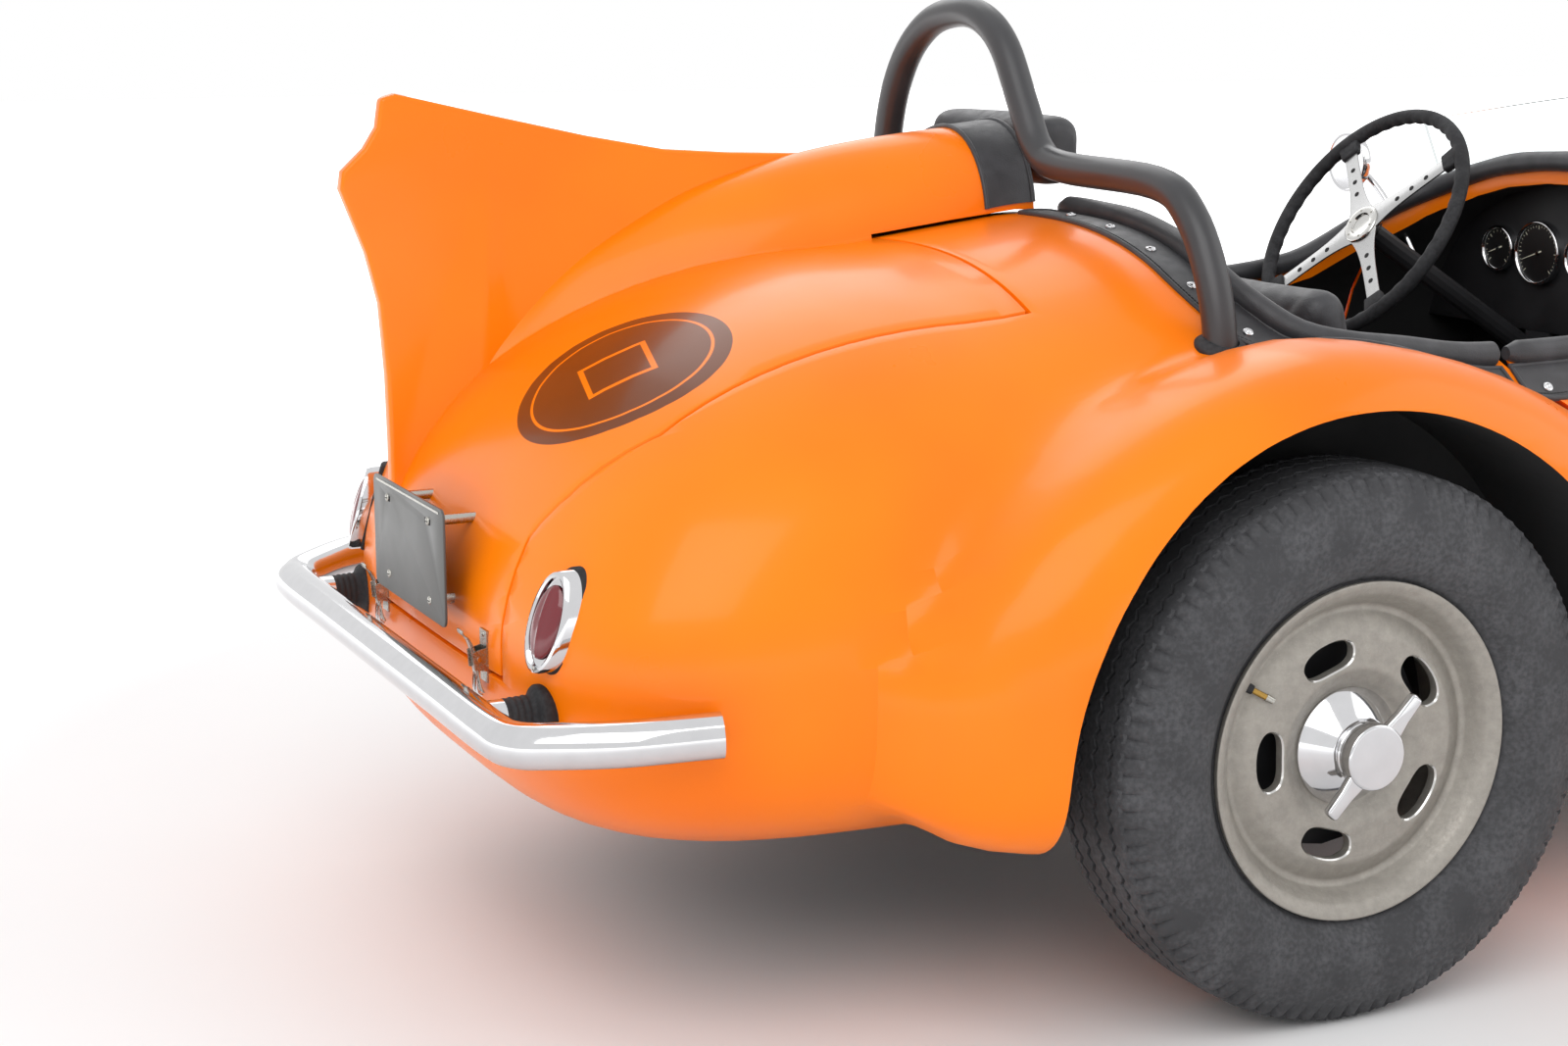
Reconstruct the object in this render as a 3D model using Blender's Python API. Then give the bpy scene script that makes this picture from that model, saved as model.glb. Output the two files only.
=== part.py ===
"""An open two-seat sports roadster with an offset headrest fairing and tail fin.

Metres, +X forward, +Y to the driver's side (left), +Z up. Every size below is measured from the
rear axle line at floor level; the whole car is then moved so that the middle of its length is X = 0.
"""

import math

import bmesh
import bpy
from mathutils import Matrix, Vector

# Wheels and axles
WHEELBASE = 2.235
HALF_TRACK = 0.665
TYRE_RADIUS = 0.352
TYRE_HALF_WIDTH = 0.095
TREAD_HALF_WIDTH = 0.068
RIM_SEAT_RADIUS = 0.2032
RIM_FLANGE_RADIUS = 0.2155
RIM_HALF_WIDTH = 0.077
RIM_FLANGE = 0.011
RIM_BARREL = 0.010
HUB_FACE_Y = 0.040
HUB_RADIUS = 0.060
DISC_Y = 0.056
DISC_THICKNESS = 0.014
DISC_CROWN = (0.102, 0.148)
SLOT_COUNT = 5
SLOT_PITCH_RADIUS = 0.1245
SLOT_HALF_LENGTH = 0.037
SLOT_HALF_WIDTH = 0.0185
CAP_BASE_RADIUS = 0.075
CAP_CONE_DEPTH = 0.032
CAP_RADIUS = 0.042
CAP_REACH = 0.104
EAR_REACH = 0.093
EAR_HALF_WIDTH = 0.0125
EAR_TILT_DEG = 48.0
DRUM_RADIUS = 0.140
DRUM_DEPTH = 0.035
WHEEL_STEPS = 20
SLOT_STEPS = 8
SLOT_PHASE = 0.522
BAR_STEPS = 12
SEAT_GAP = 0.0003

# Main shell, from the tail to the nose
TAIL_X = -0.955
TAIL_START_X = -0.35
COWL_FRONT_X = 1.270
NOSE_X = WHEELBASE + 0.500
NOSE_START_X = WHEELBASE - 0.085
BONNET_SPAN = NOSE_START_X - COWL_FRONT_X
WALL = 0.025
DECK_LINE = [(TAIL_X, 0.915), (TAIL_START_X, 0.918), (-0.18, 0.940), (0.0, 0.957), (0.22, 0.915),
             (0.42, 0.880), (0.74, 0.882), (0.94, 0.972), (1.06, 0.990), (COWL_FRONT_X, 0.968),
             (COWL_FRONT_X + 0.5 * BONNET_SPAN, 0.914), (NOSE_START_X, 0.850), (NOSE_X, 0.800)]
SIDE_LINE = [(TAIL_X, 0.600), (TAIL_START_X, 0.600), (0.0, 0.585), (0.42, 0.600), (0.95, 0.610),
             (COWL_FRONT_X, 0.560), (COWL_FRONT_X + 0.32 * BONNET_SPAN, 0.470),
             (COWL_FRONT_X + 0.66 * BONNET_SPAN, 0.400), (NOSE_START_X, 0.365), (NOSE_X, 0.330)]
BELLY_LINE = [(TAIL_X, 0.205), (TAIL_START_X, 0.205), (0.10, 0.205), (COWL_FRONT_X, 0.210),
              (NOSE_START_X, 0.240), (NOSE_X, 0.290)]
WAIST_LINE = [(TAIL_X, 0.470), (0.0, 0.450), (COWL_FRONT_X, 0.450), (NOSE_START_X, 0.500), (NOSE_X, 0.530)]
TOP_ROUNDNESS = [(TAIL_X, 2.4), (-0.10, 2.4), (0.42, 2.9), (1.05, 3.3),
                 (COWL_FRONT_X + 0.375 * BONNET_SPAN, 2.8), (NOSE_X, 2.4)]
BELLY_ROUNDNESS = 3.2
TAIL_PLAN_ROUNDNESS = 4.5
TAIL_PROFILE_ROUNDNESS = 2.0
NOSE_PLAN_ROUNDNESS = 2.3
NOSE_PROFILE_ROUNDNESS = 2.6
RING_STEPS = 24
CAVITY_RING_STEPS = 18
TAIL_RINGS = 8
NOSE_RINGS = 7
RING_PITCH = 0.24

# Rear wings, which the shell flows into
WING_CENTRE_X = 0.0
WING_CENTRE_Y = HALF_TRACK - 0.065
WING_CENTRE_Z = 0.430
WING_HALF_WIDTH = 0.195
WING_HEIGHT = 0.415
WING_FRONT_REACH = 0.620
WING_REAR_REACH = 0.575
WING_BOTTOM_Z = 0.245
WING_FRONT_ROUNDNESS = 1.8
WING_REAR_ROUNDNESS = 1.65
WING_PLAN_ROUNDNESS = 2.6
WING_SECTION_ROUNDNESS = 3.0
WING_RING_STEPS = 16
WING_RINGS = 14
ARCH_RADIUS = 0.400
WELL_INNER_Y = HALF_TRACK - TYRE_HALF_WIDTH - 0.030
WELL_RADIUS = 0.425
WELL_SKIN = 0.018
ARCH_LIP_DEPTH = 0.020
AXLE_SLOT_HALF = 0.062
STEERING_SLOT_LENGTH = 0.200
STEERING_SLOT_TOP_Z = 0.450

# Cockpit, doors, bonnet and boot lid
COCKPIT_REAR_X = 0.030
COCKPIT_FRONT_X = 1.050
COCKPIT_HALF_WIDTH = 0.480
COCKPIT_CORNER = 0.150
DOOR_FRONT_X = 0.930
DOOR_OUTLINE = [(0.400, 1.10), (0.400, 0.800), (0.430, 0.755), (0.520, 0.690), (0.610, 0.600), (0.650, 0.500),
                (0.665, 0.365)]
DOOR_BOTTOM_Z = 0.365
DOOR_TOP_Z = 1.10
PANEL_GAP = 0.006
DOOR_SWING_SHARE = 1.35
TAIL_SPLIT_X = 0.700
BONNET_FRONT_X = WHEELBASE + 0.045
BONNET_REAR_HALF_WIDTH = 0.370
BONNET_FRONT_HALF_WIDTH = 0.245
LID_FRONT_X = -0.260
LID_HALF_WIDTH = 0.345
LID_FOOT_HALF_WIDTH = 0.265
LID_FOOT_Z = 0.442
LID_TURN_X = -0.870
BELLY_OPENING_Z = 0.300
BELLY_OPENING_HALF_WIDTH = 0.415
BELLY_OPENING_REAR_X = -0.780
BELLY_OPENING_FRONT_X = WHEELBASE + 0.225

# Headrest fairing and fin, behind the driver
FAIRING_Y = 0.240
FAIRING_FRONT_X = -0.010
FAIRING_REAR_X = -0.820
FAIRING_HALF_WIDTH = 0.174
FAIRING_RIDGE = [(-0.820, 0.745), (-0.779, 0.788), (-0.672, 0.887), (-0.547, 0.962), (-0.456, 1.001),
                 (-0.269, 1.047), (-0.010, 1.075)]
FAIRING_ROOT = 0.015
FAIRING_CLEARANCE = 0.006
FIN_THICKNESS = 0.024
FIN_OUTLINE = [(-0.300, 1.040), (-0.420, 1.044), (-0.520, 1.051), (-0.640, 1.073), (-0.780, 1.104),
               (-0.915, 1.135), (-0.936, 1.129), (-0.942, 1.090), (-0.960, 1.062), (-0.992, 1.032),
               (-0.996, 1.008), (-0.962, 0.920), (-0.945, 0.850), (-0.938, 0.750), (-0.936, 0.650),
               (-0.936, 0.560), (-0.925, 0.560), (-0.860, 0.680), (-0.760, 0.780), (-0.640, 0.870),
               (-0.450, 0.960), (-0.300, 1.010)]
PAD_FRONT_X = 0.085
PAD_BOTTOM_Z = 0.986
PAD_TOP_Z = 1.100
PAD_HALF_WIDTH = 0.180

# Hinges
LID_AXIS_X = 0.055
LID_AXIS_Z = 0.915
HINGE_RADIUS = 0.007
HINGE_LENGTH = 0.036
HINGE_CLEARANCE = 0.0015
HINGE_STEPS = 16
DOOR_HINGE_Z = 0.450
DOOR_AXIS_INSET = 0.004

# Roll hoop, a bent tube ahead of the fairing
HOOP_X = -0.035
HOOP_RADIUS = 0.0225
HOOP_PATH = [(-0.459, 0.700), (-0.459, 0.809), (-0.436, 0.901), (-0.380, 0.985), (-0.297, 1.022),
             (-0.060, 1.029), (0.010, 1.050), (0.055, 1.110), (0.110, 1.190), (0.170, 1.230), (0.244, 1.242),
             (0.340, 1.225),
             (0.420, 1.170), (0.470, 1.080), (0.487, 0.950), (0.487, 0.700)]

# Bumper, lamps, plate and latches
BUMPER_RADIUS = 0.0275
BUMPER_X = -1.020
BUMPER_Z = 0.420
BUMPER_BEND_Y = 0.465
BUMPER_END = (-0.800, 0.600, 0.435)
STUB_Y = 0.375
STUB_RADIUS = 0.020
STUB_END_X = -0.850
BOOT_X = -0.965
BOOT_RADIUS = 0.024
BOOT_FOOT_RADIUS = 0.040
LAMP_Y = 0.396
LAMP_Z = 0.537
LAMP_HALF_WIDTH = 0.031
LAMP_HALF_HEIGHT = 0.061
LAMP_REAR_X = -0.946
LAMP_SWEEP = 0.36
LAMP_LEAN = 0.28
PLATE_X = -0.985
PLATE_Z = 0.556
PLATE_HALF_WIDTH = 0.1525
PLATE_HALF_HEIGHT = 0.0762
PLATE_THICKNESS = 0.004
STANDOFF_Y = 0.089
STANDOFF_Z = 0.052
STANDOFF_RADIUS = 0.007
LATCH_Y = 0.213
LATCH_REAR_X = -0.970
LATCH_HALF_WIDTH = 0.016
LATCH_BOTTOM_Z = 0.408
LATCH_TOP_Z = 0.494

# Chassis
RAIL_Y = 0.330
RAIL_HALF_WIDTH = 0.025
RAIL_BOTTOM_Z = 0.200
RAIL_TOP_Z = 0.280
RAIL_REAR_X = -0.300
RAIL_FRONT_X = WHEELBASE + 0.195
CROSS_RADIUS = 0.025
CROSS_TUBES = [("rear", RAIL_REAR_X + 0.060), ("seat", 0.330), ("dash", 1.180),
               ("front", RAIL_FRONT_X - 0.090)]
REAR_AXLE_RADIUS = 0.038
DIFF_RADIUS = 0.130
FRONT_AXLE_RADIUS = 0.028
KINGPIN_Y = HALF_TRACK - 0.065
KINGPIN_RADIUS = 0.020
KINGPIN_EYE_HALF = 0.032
KNUCKLE_LUG = 0.020
ARM_LENGTH = 0.140
TRACK_ROD_RADIUS = 0.010
FLOOR_THICKNESS = 0.010
FIREWALL_X = 1.200
REAR_BULKHEAD_X = 0.000
AXLE_BULKHEAD_X = 0.150
SHELF_Z = 0.495
ENGINE_REAR_X = FIREWALL_X + 0.130
ENGINE_FRONT_X = WHEELBASE - 0.185
ENGINE_HALF_WIDTH = 0.170
ENGINE_BOTTOM_Z = 0.290
ENGINE_TOP_Z = 0.760
EXHAUST_RADIUS = 0.025
EXHAUST_Y = 0.200
EXHAUST_FRONT_X = COWL_FRONT_X + 0.180
EXHAUST_REAR_X = -0.720
RADIATOR_HALF_WIDTH = 0.200
RADIATOR_TOP_Z = 0.700

# Front wings, lamps and grille
FENDER_INNER_RADIUS = 0.408
FENDER_SKIN = 0.010
FENDER_HALF_WIDTH = 0.112
FENDER_CROWN = 0.030
FENDER_START_DEG = 15.0
FENDER_END_DEG = 200.0
FENDER_FLARE = 0.060
FENDER_STEPS = 14
STAY_RADIUS = 0.011
HEADLAMP_X = WHEELBASE + 0.265
HEADLAMP_Y = 0.300
HEADLAMP_Z = 0.610
HEADLAMP_RADIUS = 0.088
MOUTH_Z = 0.530
MOUTH_HALF_WIDTH = 0.150
MOUTH_HALF_HEIGHT = 0.190
GRILLE_X = WHEELBASE + 0.420
GRILLE_DEPTH = 0.014
GRILLE_BARS = 9
GRILLE_RIM = 0.014
GRILLE_BAR_WIDTH = 0.006

# Cabin
WHEEL_CENTRE = (0.730, 0.259, 0.896)
STEERING_WHEEL_RADIUS = 0.205
STEERING_RIM_RADIUS = 0.011
STEERING_HUB_RADIUS = 0.034
HUB_DEPTH = 0.012
COLUMN_TILT_DEG = 32.0
COLUMN_RADIUS = 0.018
DASH_X = 1.110
DASH_THICKNESS = 0.020
DASH_BOTTOM_Z = 0.700
GAUGES = [(0.36, 0.040), (0.259, 0.055), (0.15, 0.040), (0.03, 0.055), (-0.08, 0.032)]
GAUGE_Z = 0.835
SCREEN_X = 1.290
SCREEN_BEND = 0.200
SCREEN_HALF_WIDTH = 0.460
SCREEN_TOP_Z = 1.115
SCREEN_SIDE_Z = 1.055
SCREEN_THICKNESS = 0.006
SCREEN_FOOT_Z = 0.860
SCREEN_LEAN = 0.45
MIRROR_PLACE = (0.955, 0.590, 0.975)
SEAT_Y = 0.245
SEAT_HALF_WIDTH = 0.180
SEAT_X = 0.180
SEAT_OUTLINE = [(0.000, 0.000), (0.440, 0.000), (0.480, 0.060), (0.460, 0.150), (0.190, 0.120), (0.055, 0.599),
                (0.010, 0.614), (-0.055, 0.599), (-0.010, 0.220), (-0.010, 0.100)]
ROLL_RADIUS = 0.017
PAD_END_GAP = 0.011

RIGHT = -1
LEFT = 1


def line_at(points, x):
    """Smooth value at x through a list of (x, value) points."""
    if x <= points[0][0]:
        return points[0][1]
    if x >= points[-1][0]:
        return points[-1][1]
    last = len(points) - 1
    i = next(k for k in range(last) if x <= points[k + 1][0])

    def slope(k):
        low, high = max(k - 1, 0), min(k + 1, last)
        return (points[high][1] - points[low][1]) / (points[high][0] - points[low][0])

    (x0, v0), (x1, v1) = points[i], points[i + 1]
    span = x1 - x0
    t = (x - x0) / span
    return (v0 * (1 + 2 * t) * (1 - t) ** 2 + slope(i) * span * t * (1 - t) ** 2
            + v1 * t * t * (3 - 2 * t) - slope(i + 1) * span * t * t * (1 - t))


def rounded(t, power):
    """Height of a superellipse of unit size at t from its middle."""
    return max(0.0, 1 - min(1.0, abs(t)) ** power) ** (1 / power)


def power_point(angle, power):
    c, s = math.cos(angle), math.sin(angle)
    return math.copysign(abs(c) ** (2 / power), c), math.copysign(abs(s) ** (2 / power), s)


def shell_shape(x, inset):
    """Half width, waist, height over the waist, depth under it, and the top's roundness."""
    tail = max(0.0, (TAIL_START_X - x) / (TAIL_START_X - TAIL_X - inset))
    nose = max(0.0, (x - NOSE_START_X) / (NOSE_X - inset - NOSE_START_X))
    plan = rounded(tail, TAIL_PLAN_ROUNDNESS) * rounded(nose, NOSE_PLAN_ROUNDNESS)
    profile = rounded(tail, TAIL_PROFILE_ROUNDNESS) * rounded(nose, NOSE_PROFILE_ROUNDNESS)
    under = rounded(tail, TAIL_PLAN_ROUNDNESS) * rounded(nose, NOSE_PROFILE_ROUNDNESS)
    waist = line_at(WAIST_LINE, x)
    half = (line_at(SIDE_LINE, x) - inset) * plan
    height = (line_at(DECK_LINE, x) - waist - inset) * profile
    depth = (waist - line_at(BELLY_LINE, x) - inset) * under
    return half, waist, height, depth, line_at(TOP_ROUNDNESS, x)


def deck_z(x, y, lift=0.0):
    """Height of the outer shell's upper face."""
    half, waist, height, _depth, power = shell_shape(x, 0.0)
    return waist + height * rounded(y / half, power) + lift


def side_y(x, z):
    """Half width of the outer shell at a height."""
    half, waist, height, depth, power = shell_shape(x, 0.0)
    if z > waist:
        return half * rounded((z - waist) / height, power)
    return half * rounded((waist - z) / depth, BELLY_ROUNDNESS)


def new_object(name, bm):
    bmesh.ops.recalc_face_normals(bm, faces=bm.faces)
    mesh = bpy.data.meshes.new(name)
    bm.to_mesh(mesh)
    bm.free()
    obj = bpy.data.objects.new(name, mesh)
    bpy.context.scene.collection.objects.link(obj)
    return obj


def loft(name, rings, closed=False):
    """Skin over rings that have the same number of points."""
    bm = bmesh.new()
    loops = []
    for ring in rings:
        verts = [bm.verts.new(point) for point in ring]
        edges = [bm.edges.new((verts[i - 1], verts[i])) for i in range(len(verts))]
        loops.append((verts, edges))
    for (_, first), (_, second) in zip(loops, loops[1:]):
        bmesh.ops.bridge_loops(bm, edges=first + second)
    if closed:
        bmesh.ops.bridge_loops(bm, edges=loops[-1][1] + loops[0][1])
    else:
        bm.faces.new(loops[0][0])
        bm.faces.new(loops[-1][0])
    bmesh.ops.triangulate(bm, faces=[face for face in bm.faces if len(face.verts) == 4])
    return new_object(name, bm)


def box(name, low, high):
    bm = bmesh.new()
    size = [h - l for l, h in zip(low, high)]
    middle = [(h + l) / 2 for l, h in zip(low, high)]
    bmesh.ops.create_cube(bm, size=1.0, matrix=Matrix.Translation(middle) @ Matrix.Diagonal((*size, 1)))
    return new_object(name, bm)


def prism(name, outline, axis, low, high):
    """Outline in the two other axes, in order, pushed out along an axis."""
    def point(pair, level):
        values = list(pair)
        values.insert("XYZ".index(axis), level)
        return values
    return loft(name, [[point(p, low) for p in outline], [point(p, high) for p in outline]])


def rod(name, start, end, radius, end_radius=None, steps=BAR_STEPS):
    """Round bar between two points."""
    start, end = Vector(start), Vector(end)
    bm = bmesh.new()
    turn = (end - start).to_track_quat("Z", "Y").to_matrix().to_4x4()
    bmesh.ops.create_cone(bm, cap_ends=True, segments=steps, radius1=radius,
                          radius2=radius if end_radius is None else end_radius, depth=(end - start).length,
                          matrix=Matrix.Translation((start + end) / 2) @ turn)
    return new_object(name, bm)


def tube(name, path, radius, steps=10, closed=False):
    """Round tube along points."""
    points = [Vector(p) for p in path]
    count = len(points)
    rings = []
    side = None
    for i, point in enumerate(points):
        before = points[i - 1] if closed or i > 0 else point
        after = points[(i + 1) % count] if closed or i < count - 1 else point
        along = (after - before).normalized()
        if side is None:
            side = along.orthogonal().normalized()
        side = (side - along * side.dot(along)).normalized()
        other = along.cross(side)
        rings.append([point + radius * (side * math.cos(a) + other * math.sin(a))
                      for a in (2 * math.pi * k / steps for k in range(steps))])
    return loft(name, rings, closed)


def turned(name, profile, centre, axis="Y", steps=WHEEL_STEPS, outward=1):
    """Solid turned from a closed profile of (distance along the axis, radius)."""
    cx, cy, cz = centre
    bm = bmesh.new()
    if axis == "Y":
        points = [(cx, cy + outward * along, cz - radius) for along, radius in profile]
        direction = (0, 1, 0)
    else:
        points = [(cx + outward * along, cy, cz - radius) for along, radius in profile]
        direction = (1, 0, 0)
    verts = [bm.verts.new(p) for p in points]
    edges = [bm.edges.new((verts[i - 1], verts[i])) for i in range(len(verts))]
    bmesh.ops.spin(bm, geom=verts + edges, cent=centre, axis=direction, angle=2 * math.pi, steps=steps,
                   use_merge=True)
    bmesh.ops.remove_doubles(bm, verts=bm.verts, dist=1e-6)
    loose = [e for e in bm.edges if not e.link_faces]
    bmesh.ops.delete(bm, geom=loose, context="EDGES")
    return new_object(name, bm)


def combine(target, cutters, operation):
    """Apply a Boolean with each cutter in turn, and remove the cutters."""
    for cutter in cutters:
        step = target.modifiers.new("step", "BOOLEAN")
        step.operation = operation
        step.solver = "EXACT"
        step.object = cutter
        bpy.context.view_layer.update()
        mesh = bpy.data.meshes.new_from_object(target.evaluated_get(bpy.context.evaluated_depsgraph_get()))
        target.modifiers.clear()
        target.data = mesh
        close_slivers(mesh)
        bpy.data.objects.remove(cutter)
    return target


def close_slivers(mesh):
    """Fill the hairline triangles that a cut can leave open."""
    bm = bmesh.new()
    bm.from_mesh(mesh)
    rim = [edge for edge in bm.edges if len(edge.link_faces) == 1]
    if rim:
        bmesh.ops.holes_fill(bm, edges=rim, sides=4)
        bmesh.ops.recalc_face_normals(bm, faces=bm.faces)
        bm.to_mesh(mesh)
    bm.free()


def copy_of(obj):
    twin = bpy.data.objects.new(obj.name + "_copy", obj.data.copy())
    bpy.context.scene.collection.objects.link(twin)
    return twin


def cut(target, *cutters):
    return combine(target, cutters, "DIFFERENCE")


def join(target, *others):
    return combine(target, others, "UNION")


def keep(target, cutter):
    return combine(target, [cutter], "INTERSECT")


def finish(obj, name, color, roughness, metallic=0.0, pivot=(0, 0, 0), alpha=1.0):
    """Name the node, give it its finish and set its origin on its joint's axis."""
    obj.name = name
    obj.data.name = name
    material = bpy.data.materials.new(name)
    material.use_nodes = True
    shader = material.node_tree.nodes["Principled BSDF"]
    shader.inputs["Base Color"].default_value = (*color, 1)
    shader.inputs["Roughness"].default_value = roughness
    shader.inputs["Metallic"].default_value = metallic
    shader.inputs["Alpha"].default_value = alpha
    obj.data.materials.clear()
    obj.data.materials.append(material)
    bm = bmesh.new()
    bm.from_mesh(obj.data)
    bmesh.ops.dissolve_degenerate(bm, dist=1e-6, edges=bm.edges)
    bmesh.ops.translate(bm, verts=bm.verts, vec=-Vector(pivot))
    bm.to_mesh(obj.data)
    bm.free()
    obj.data.shade_smooth()
    obj.data.set_sharp_from_angle(angle=math.radians(30))
    obj.location = pivot
    return obj


PAINT = ((0.95, 0.20, 0.0), 0.25)
STEEL = ((0.05, 0.05, 0.055), 0.5, 0.4)
CHROME = ((0.8, 0.8, 0.8), 0.1, 1.0)
LEATHER = ((0.02, 0.02, 0.023), 0.45)
CAST = ((0.40, 0.37, 0.34), 0.55, 0.6)
RUBBER = ((0.04, 0.04, 0.045), 0.8)


def shell_solid(name, inset=0.0, steps=RING_STEPS):
    """Superellipse rings from tail to nose, closed at both ends."""
    tail_x, nose_x = TAIL_X + inset, NOSE_X - inset
    stations = []
    for k in range(TAIL_RINGS):
        share = math.cos(0.5 * math.pi * (k + 0.15) / TAIL_RINGS)
        stations.append(TAIL_START_X - (TAIL_START_X - tail_x) * share)
    knots = [x for x, _ in DECK_LINE if TAIL_START_X <= x <= NOSE_START_X]
    for low, high in zip(knots, knots[1:]):
        parts = math.ceil((high - low) / RING_PITCH)
        stations += [low + (high - low) * k / parts for k in range(parts)]
    for k in range(NOSE_RINGS):
        share = math.sin(0.5 * math.pi * (k + 1 - 0.15) / NOSE_RINGS)
        stations.append(NOSE_START_X + (nose_x - NOSE_START_X) * share)
    rings = []
    for x in stations:
        half, waist, height, depth, power = shell_shape(x, inset)
        ring = []
        for i in range(steps):
            angle = 2 * math.pi * i / steps
            y, z = power_point(angle, power if math.sin(angle) >= 0 else BELLY_ROUNDNESS)
            ring.append((x, half * y, waist + z * (height if z >= 0 else depth)))
        rings.append(ring)
    first, last = stations[0], stations[-1]
    rings[0] = [(tail_x, y, z) for _, y, z in rings[0]] if first < tail_x + 0.004 else rings[0]
    rings[-1] = [(nose_x, y, z) for _, y, z in rings[-1]] if last > nose_x - 0.004 else rings[-1]
    return loft(name, rings)


def wing_solid(name, side, grow=0.0):
    """Rear wing as one full form, closed in front of and behind the wheel."""
    rings = []
    for k in range(WING_RINGS):
        share = -math.cos(math.pi * (k + 0.2) / (WING_RINGS - 1 + 0.4))
        front = share > 0
        x = WING_CENTRE_X + share * (WING_FRONT_REACH if front else WING_REAR_REACH)
        rise = rounded(share, WING_FRONT_ROUNDNESS if front else WING_REAR_ROUNDNESS)
        half = WING_HALF_WIDTH * rounded(share, WING_PLAN_ROUNDNESS) + grow
        tall = WING_HEIGHT * rise + grow
        drop = (WING_CENTRE_Z - WING_BOTTOM_Z) * rounded(share, 5.0)
        ring = []
        for i in range(WING_RING_STEPS):
            y, z = power_point(2 * math.pi * i / WING_RING_STEPS, WING_SECTION_ROUNDNESS)
            up = z * (tall if z >= 0 else drop)
            ring.append((x, side * (WING_CENTRE_Y + half * y), WING_CENTRE_Z + up))
        rings.append(ring)
    return loft(name, rings)


def round_arch(radius, steps=18):
    """Side view of a wheel arch, down to the floor."""
    turns = [math.pi * k / steps for k in range(steps + 1)]
    arc = [(radius * math.cos(a), TYRE_RADIUS + radius * math.sin(a)) for a in turns]
    return [(radius, 0.0)] + arc + [(-radius, 0.0)]


def well_solid(name, side, skin=0.0):
    """The space round a rear wheel, behind the arch's lip."""
    ends = sorted((side * (WELL_INNER_Y - skin), side * (WING_CENTRE_Y + WING_HALF_WIDTH - ARCH_LIP_DEPTH)))
    return prism(name, round_arch(WELL_RADIUS + skin), "Y", *ends)


def arch_solid(name, side):
    """The round opening in the wing's outer face."""
    ends = sorted((side * (WELL_INNER_Y + 0.1), side * 0.95))
    return prism(name, round_arch(ARCH_RADIUS), "Y", *ends)


def cavity_solid(name, extra=0.0):
    """The hollow inside the shell, less the wheel wells."""
    cavity = shell_solid(name, WALL + extra, CAVITY_RING_STEPS)
    for side in (RIGHT, LEFT):
        cut(cavity, well_solid("well", side, WELL_SKIN + extra))
    return cavity


def cockpit_outline():
    """Plan of the cockpit's opening, with round corners."""
    corners = [(COCKPIT_REAR_X, -1, 180), (COCKPIT_FRONT_X, -1, 270), (COCKPIT_FRONT_X, 1, 0),
               (COCKPIT_REAR_X, 1, 90)]
    outline = []
    for x, side, start in corners:
        cx = x + (COCKPIT_CORNER if x == COCKPIT_REAR_X else -COCKPIT_CORNER)
        cy = side * (COCKPIT_HALF_WIDTH - COCKPIT_CORNER)
        for k in range(6):
            angle = math.radians(start + 18 * k)
            outline.append((cx + COCKPIT_CORNER * math.cos(angle), cy + COCKPIT_CORNER * math.sin(angle)))
    return outline


def door_outline(grow):
    """Side view of a door; grow is the gap to leave round it."""
    swing = grow * DOOR_SWING_SHARE
    rear = [(x - swing, z - grow * 0.7) for x, z in DOOR_OUTLINE[1:]]
    rear[-1] = (DOOR_OUTLINE[-1][0] - swing, DOOR_BOTTOM_Z - grow)
    front = [(DOOR_FRONT_X + grow, DOOR_BOTTOM_Z - grow), (DOOR_FRONT_X + grow, DOOR_TOP_Z)]
    return [(DOOR_OUTLINE[0][0] - grow, DOOR_TOP_Z)] + rear + front


def door_prism(name, side, grow):
    ends = sorted((side * 0.30, side * 0.90))
    return prism(name, door_outline(grow), "Y", *ends)


def lid_prism(name, grow):
    """Plan of the boot lid, pushed up from its foot."""
    outline = [(LID_FRONT_X + grow, -LID_HALF_WIDTH - grow), (LID_FRONT_X + grow, LID_HALF_WIDTH + grow),
               (LID_TURN_X + 0.10, LID_HALF_WIDTH + grow), (LID_TURN_X, LID_FOOT_HALF_WIDTH + 0.03 + grow),
               (LID_TURN_X - 0.04, LID_FOOT_HALF_WIDTH + grow), (TAIL_X - 0.1, LID_FOOT_HALF_WIDTH + grow),
               (TAIL_X - 0.1, -LID_FOOT_HALF_WIDTH - grow), (LID_TURN_X - 0.04, -LID_FOOT_HALF_WIDTH - grow),
               (LID_TURN_X, -LID_FOOT_HALF_WIDTH - 0.03 - grow), (LID_TURN_X + 0.10, -LID_HALF_WIDTH - grow)]
    return prism(name, outline, "Z", LID_FOOT_Z - grow, 1.4)


def bonnet_prism(name, grow):
    rear, front = COWL_FRONT_X - grow, BONNET_FRONT_X + grow
    rear_half, front_half = BONNET_REAR_HALF_WIDTH + grow, BONNET_FRONT_HALF_WIDTH + grow
    outline = [(rear, -rear_half), (front, -front_half), (front, front_half), (rear, rear_half)]
    return prism(name, outline, "Z", 0.60, 1.4)


def ellipse_x(name, x_low, x_high, half_width, half_height, middle_z, steps=26):
    turn = [2 * math.pi * (k + 0.5) / steps for k in range(steps)]
    outline = [(half_width * math.cos(a), middle_z + half_height * math.sin(a)) for a in turn]
    return prism(name, outline, "X", x_low, x_high)


def door_axis_y():
    return side_y(DOOR_FRONT_X, DOOR_HINGE_Z) - DOOR_AXIS_INSET


def bonnet_axis_z():
    return deck_z(BONNET_FRONT_X, 0.0) - DOOR_AXIS_INSET


def door_pivot(side):
    return (DOOR_FRONT_X + PANEL_GAP / 2, side * door_axis_y(), DOOR_HINGE_Z)


def door_knuckle(name, side, low, high, radius):
    x, y, z = door_pivot(side)
    return rod(name, (x, y, z + low), (x, y, z + high), radius, steps=HINGE_STEPS)


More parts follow.
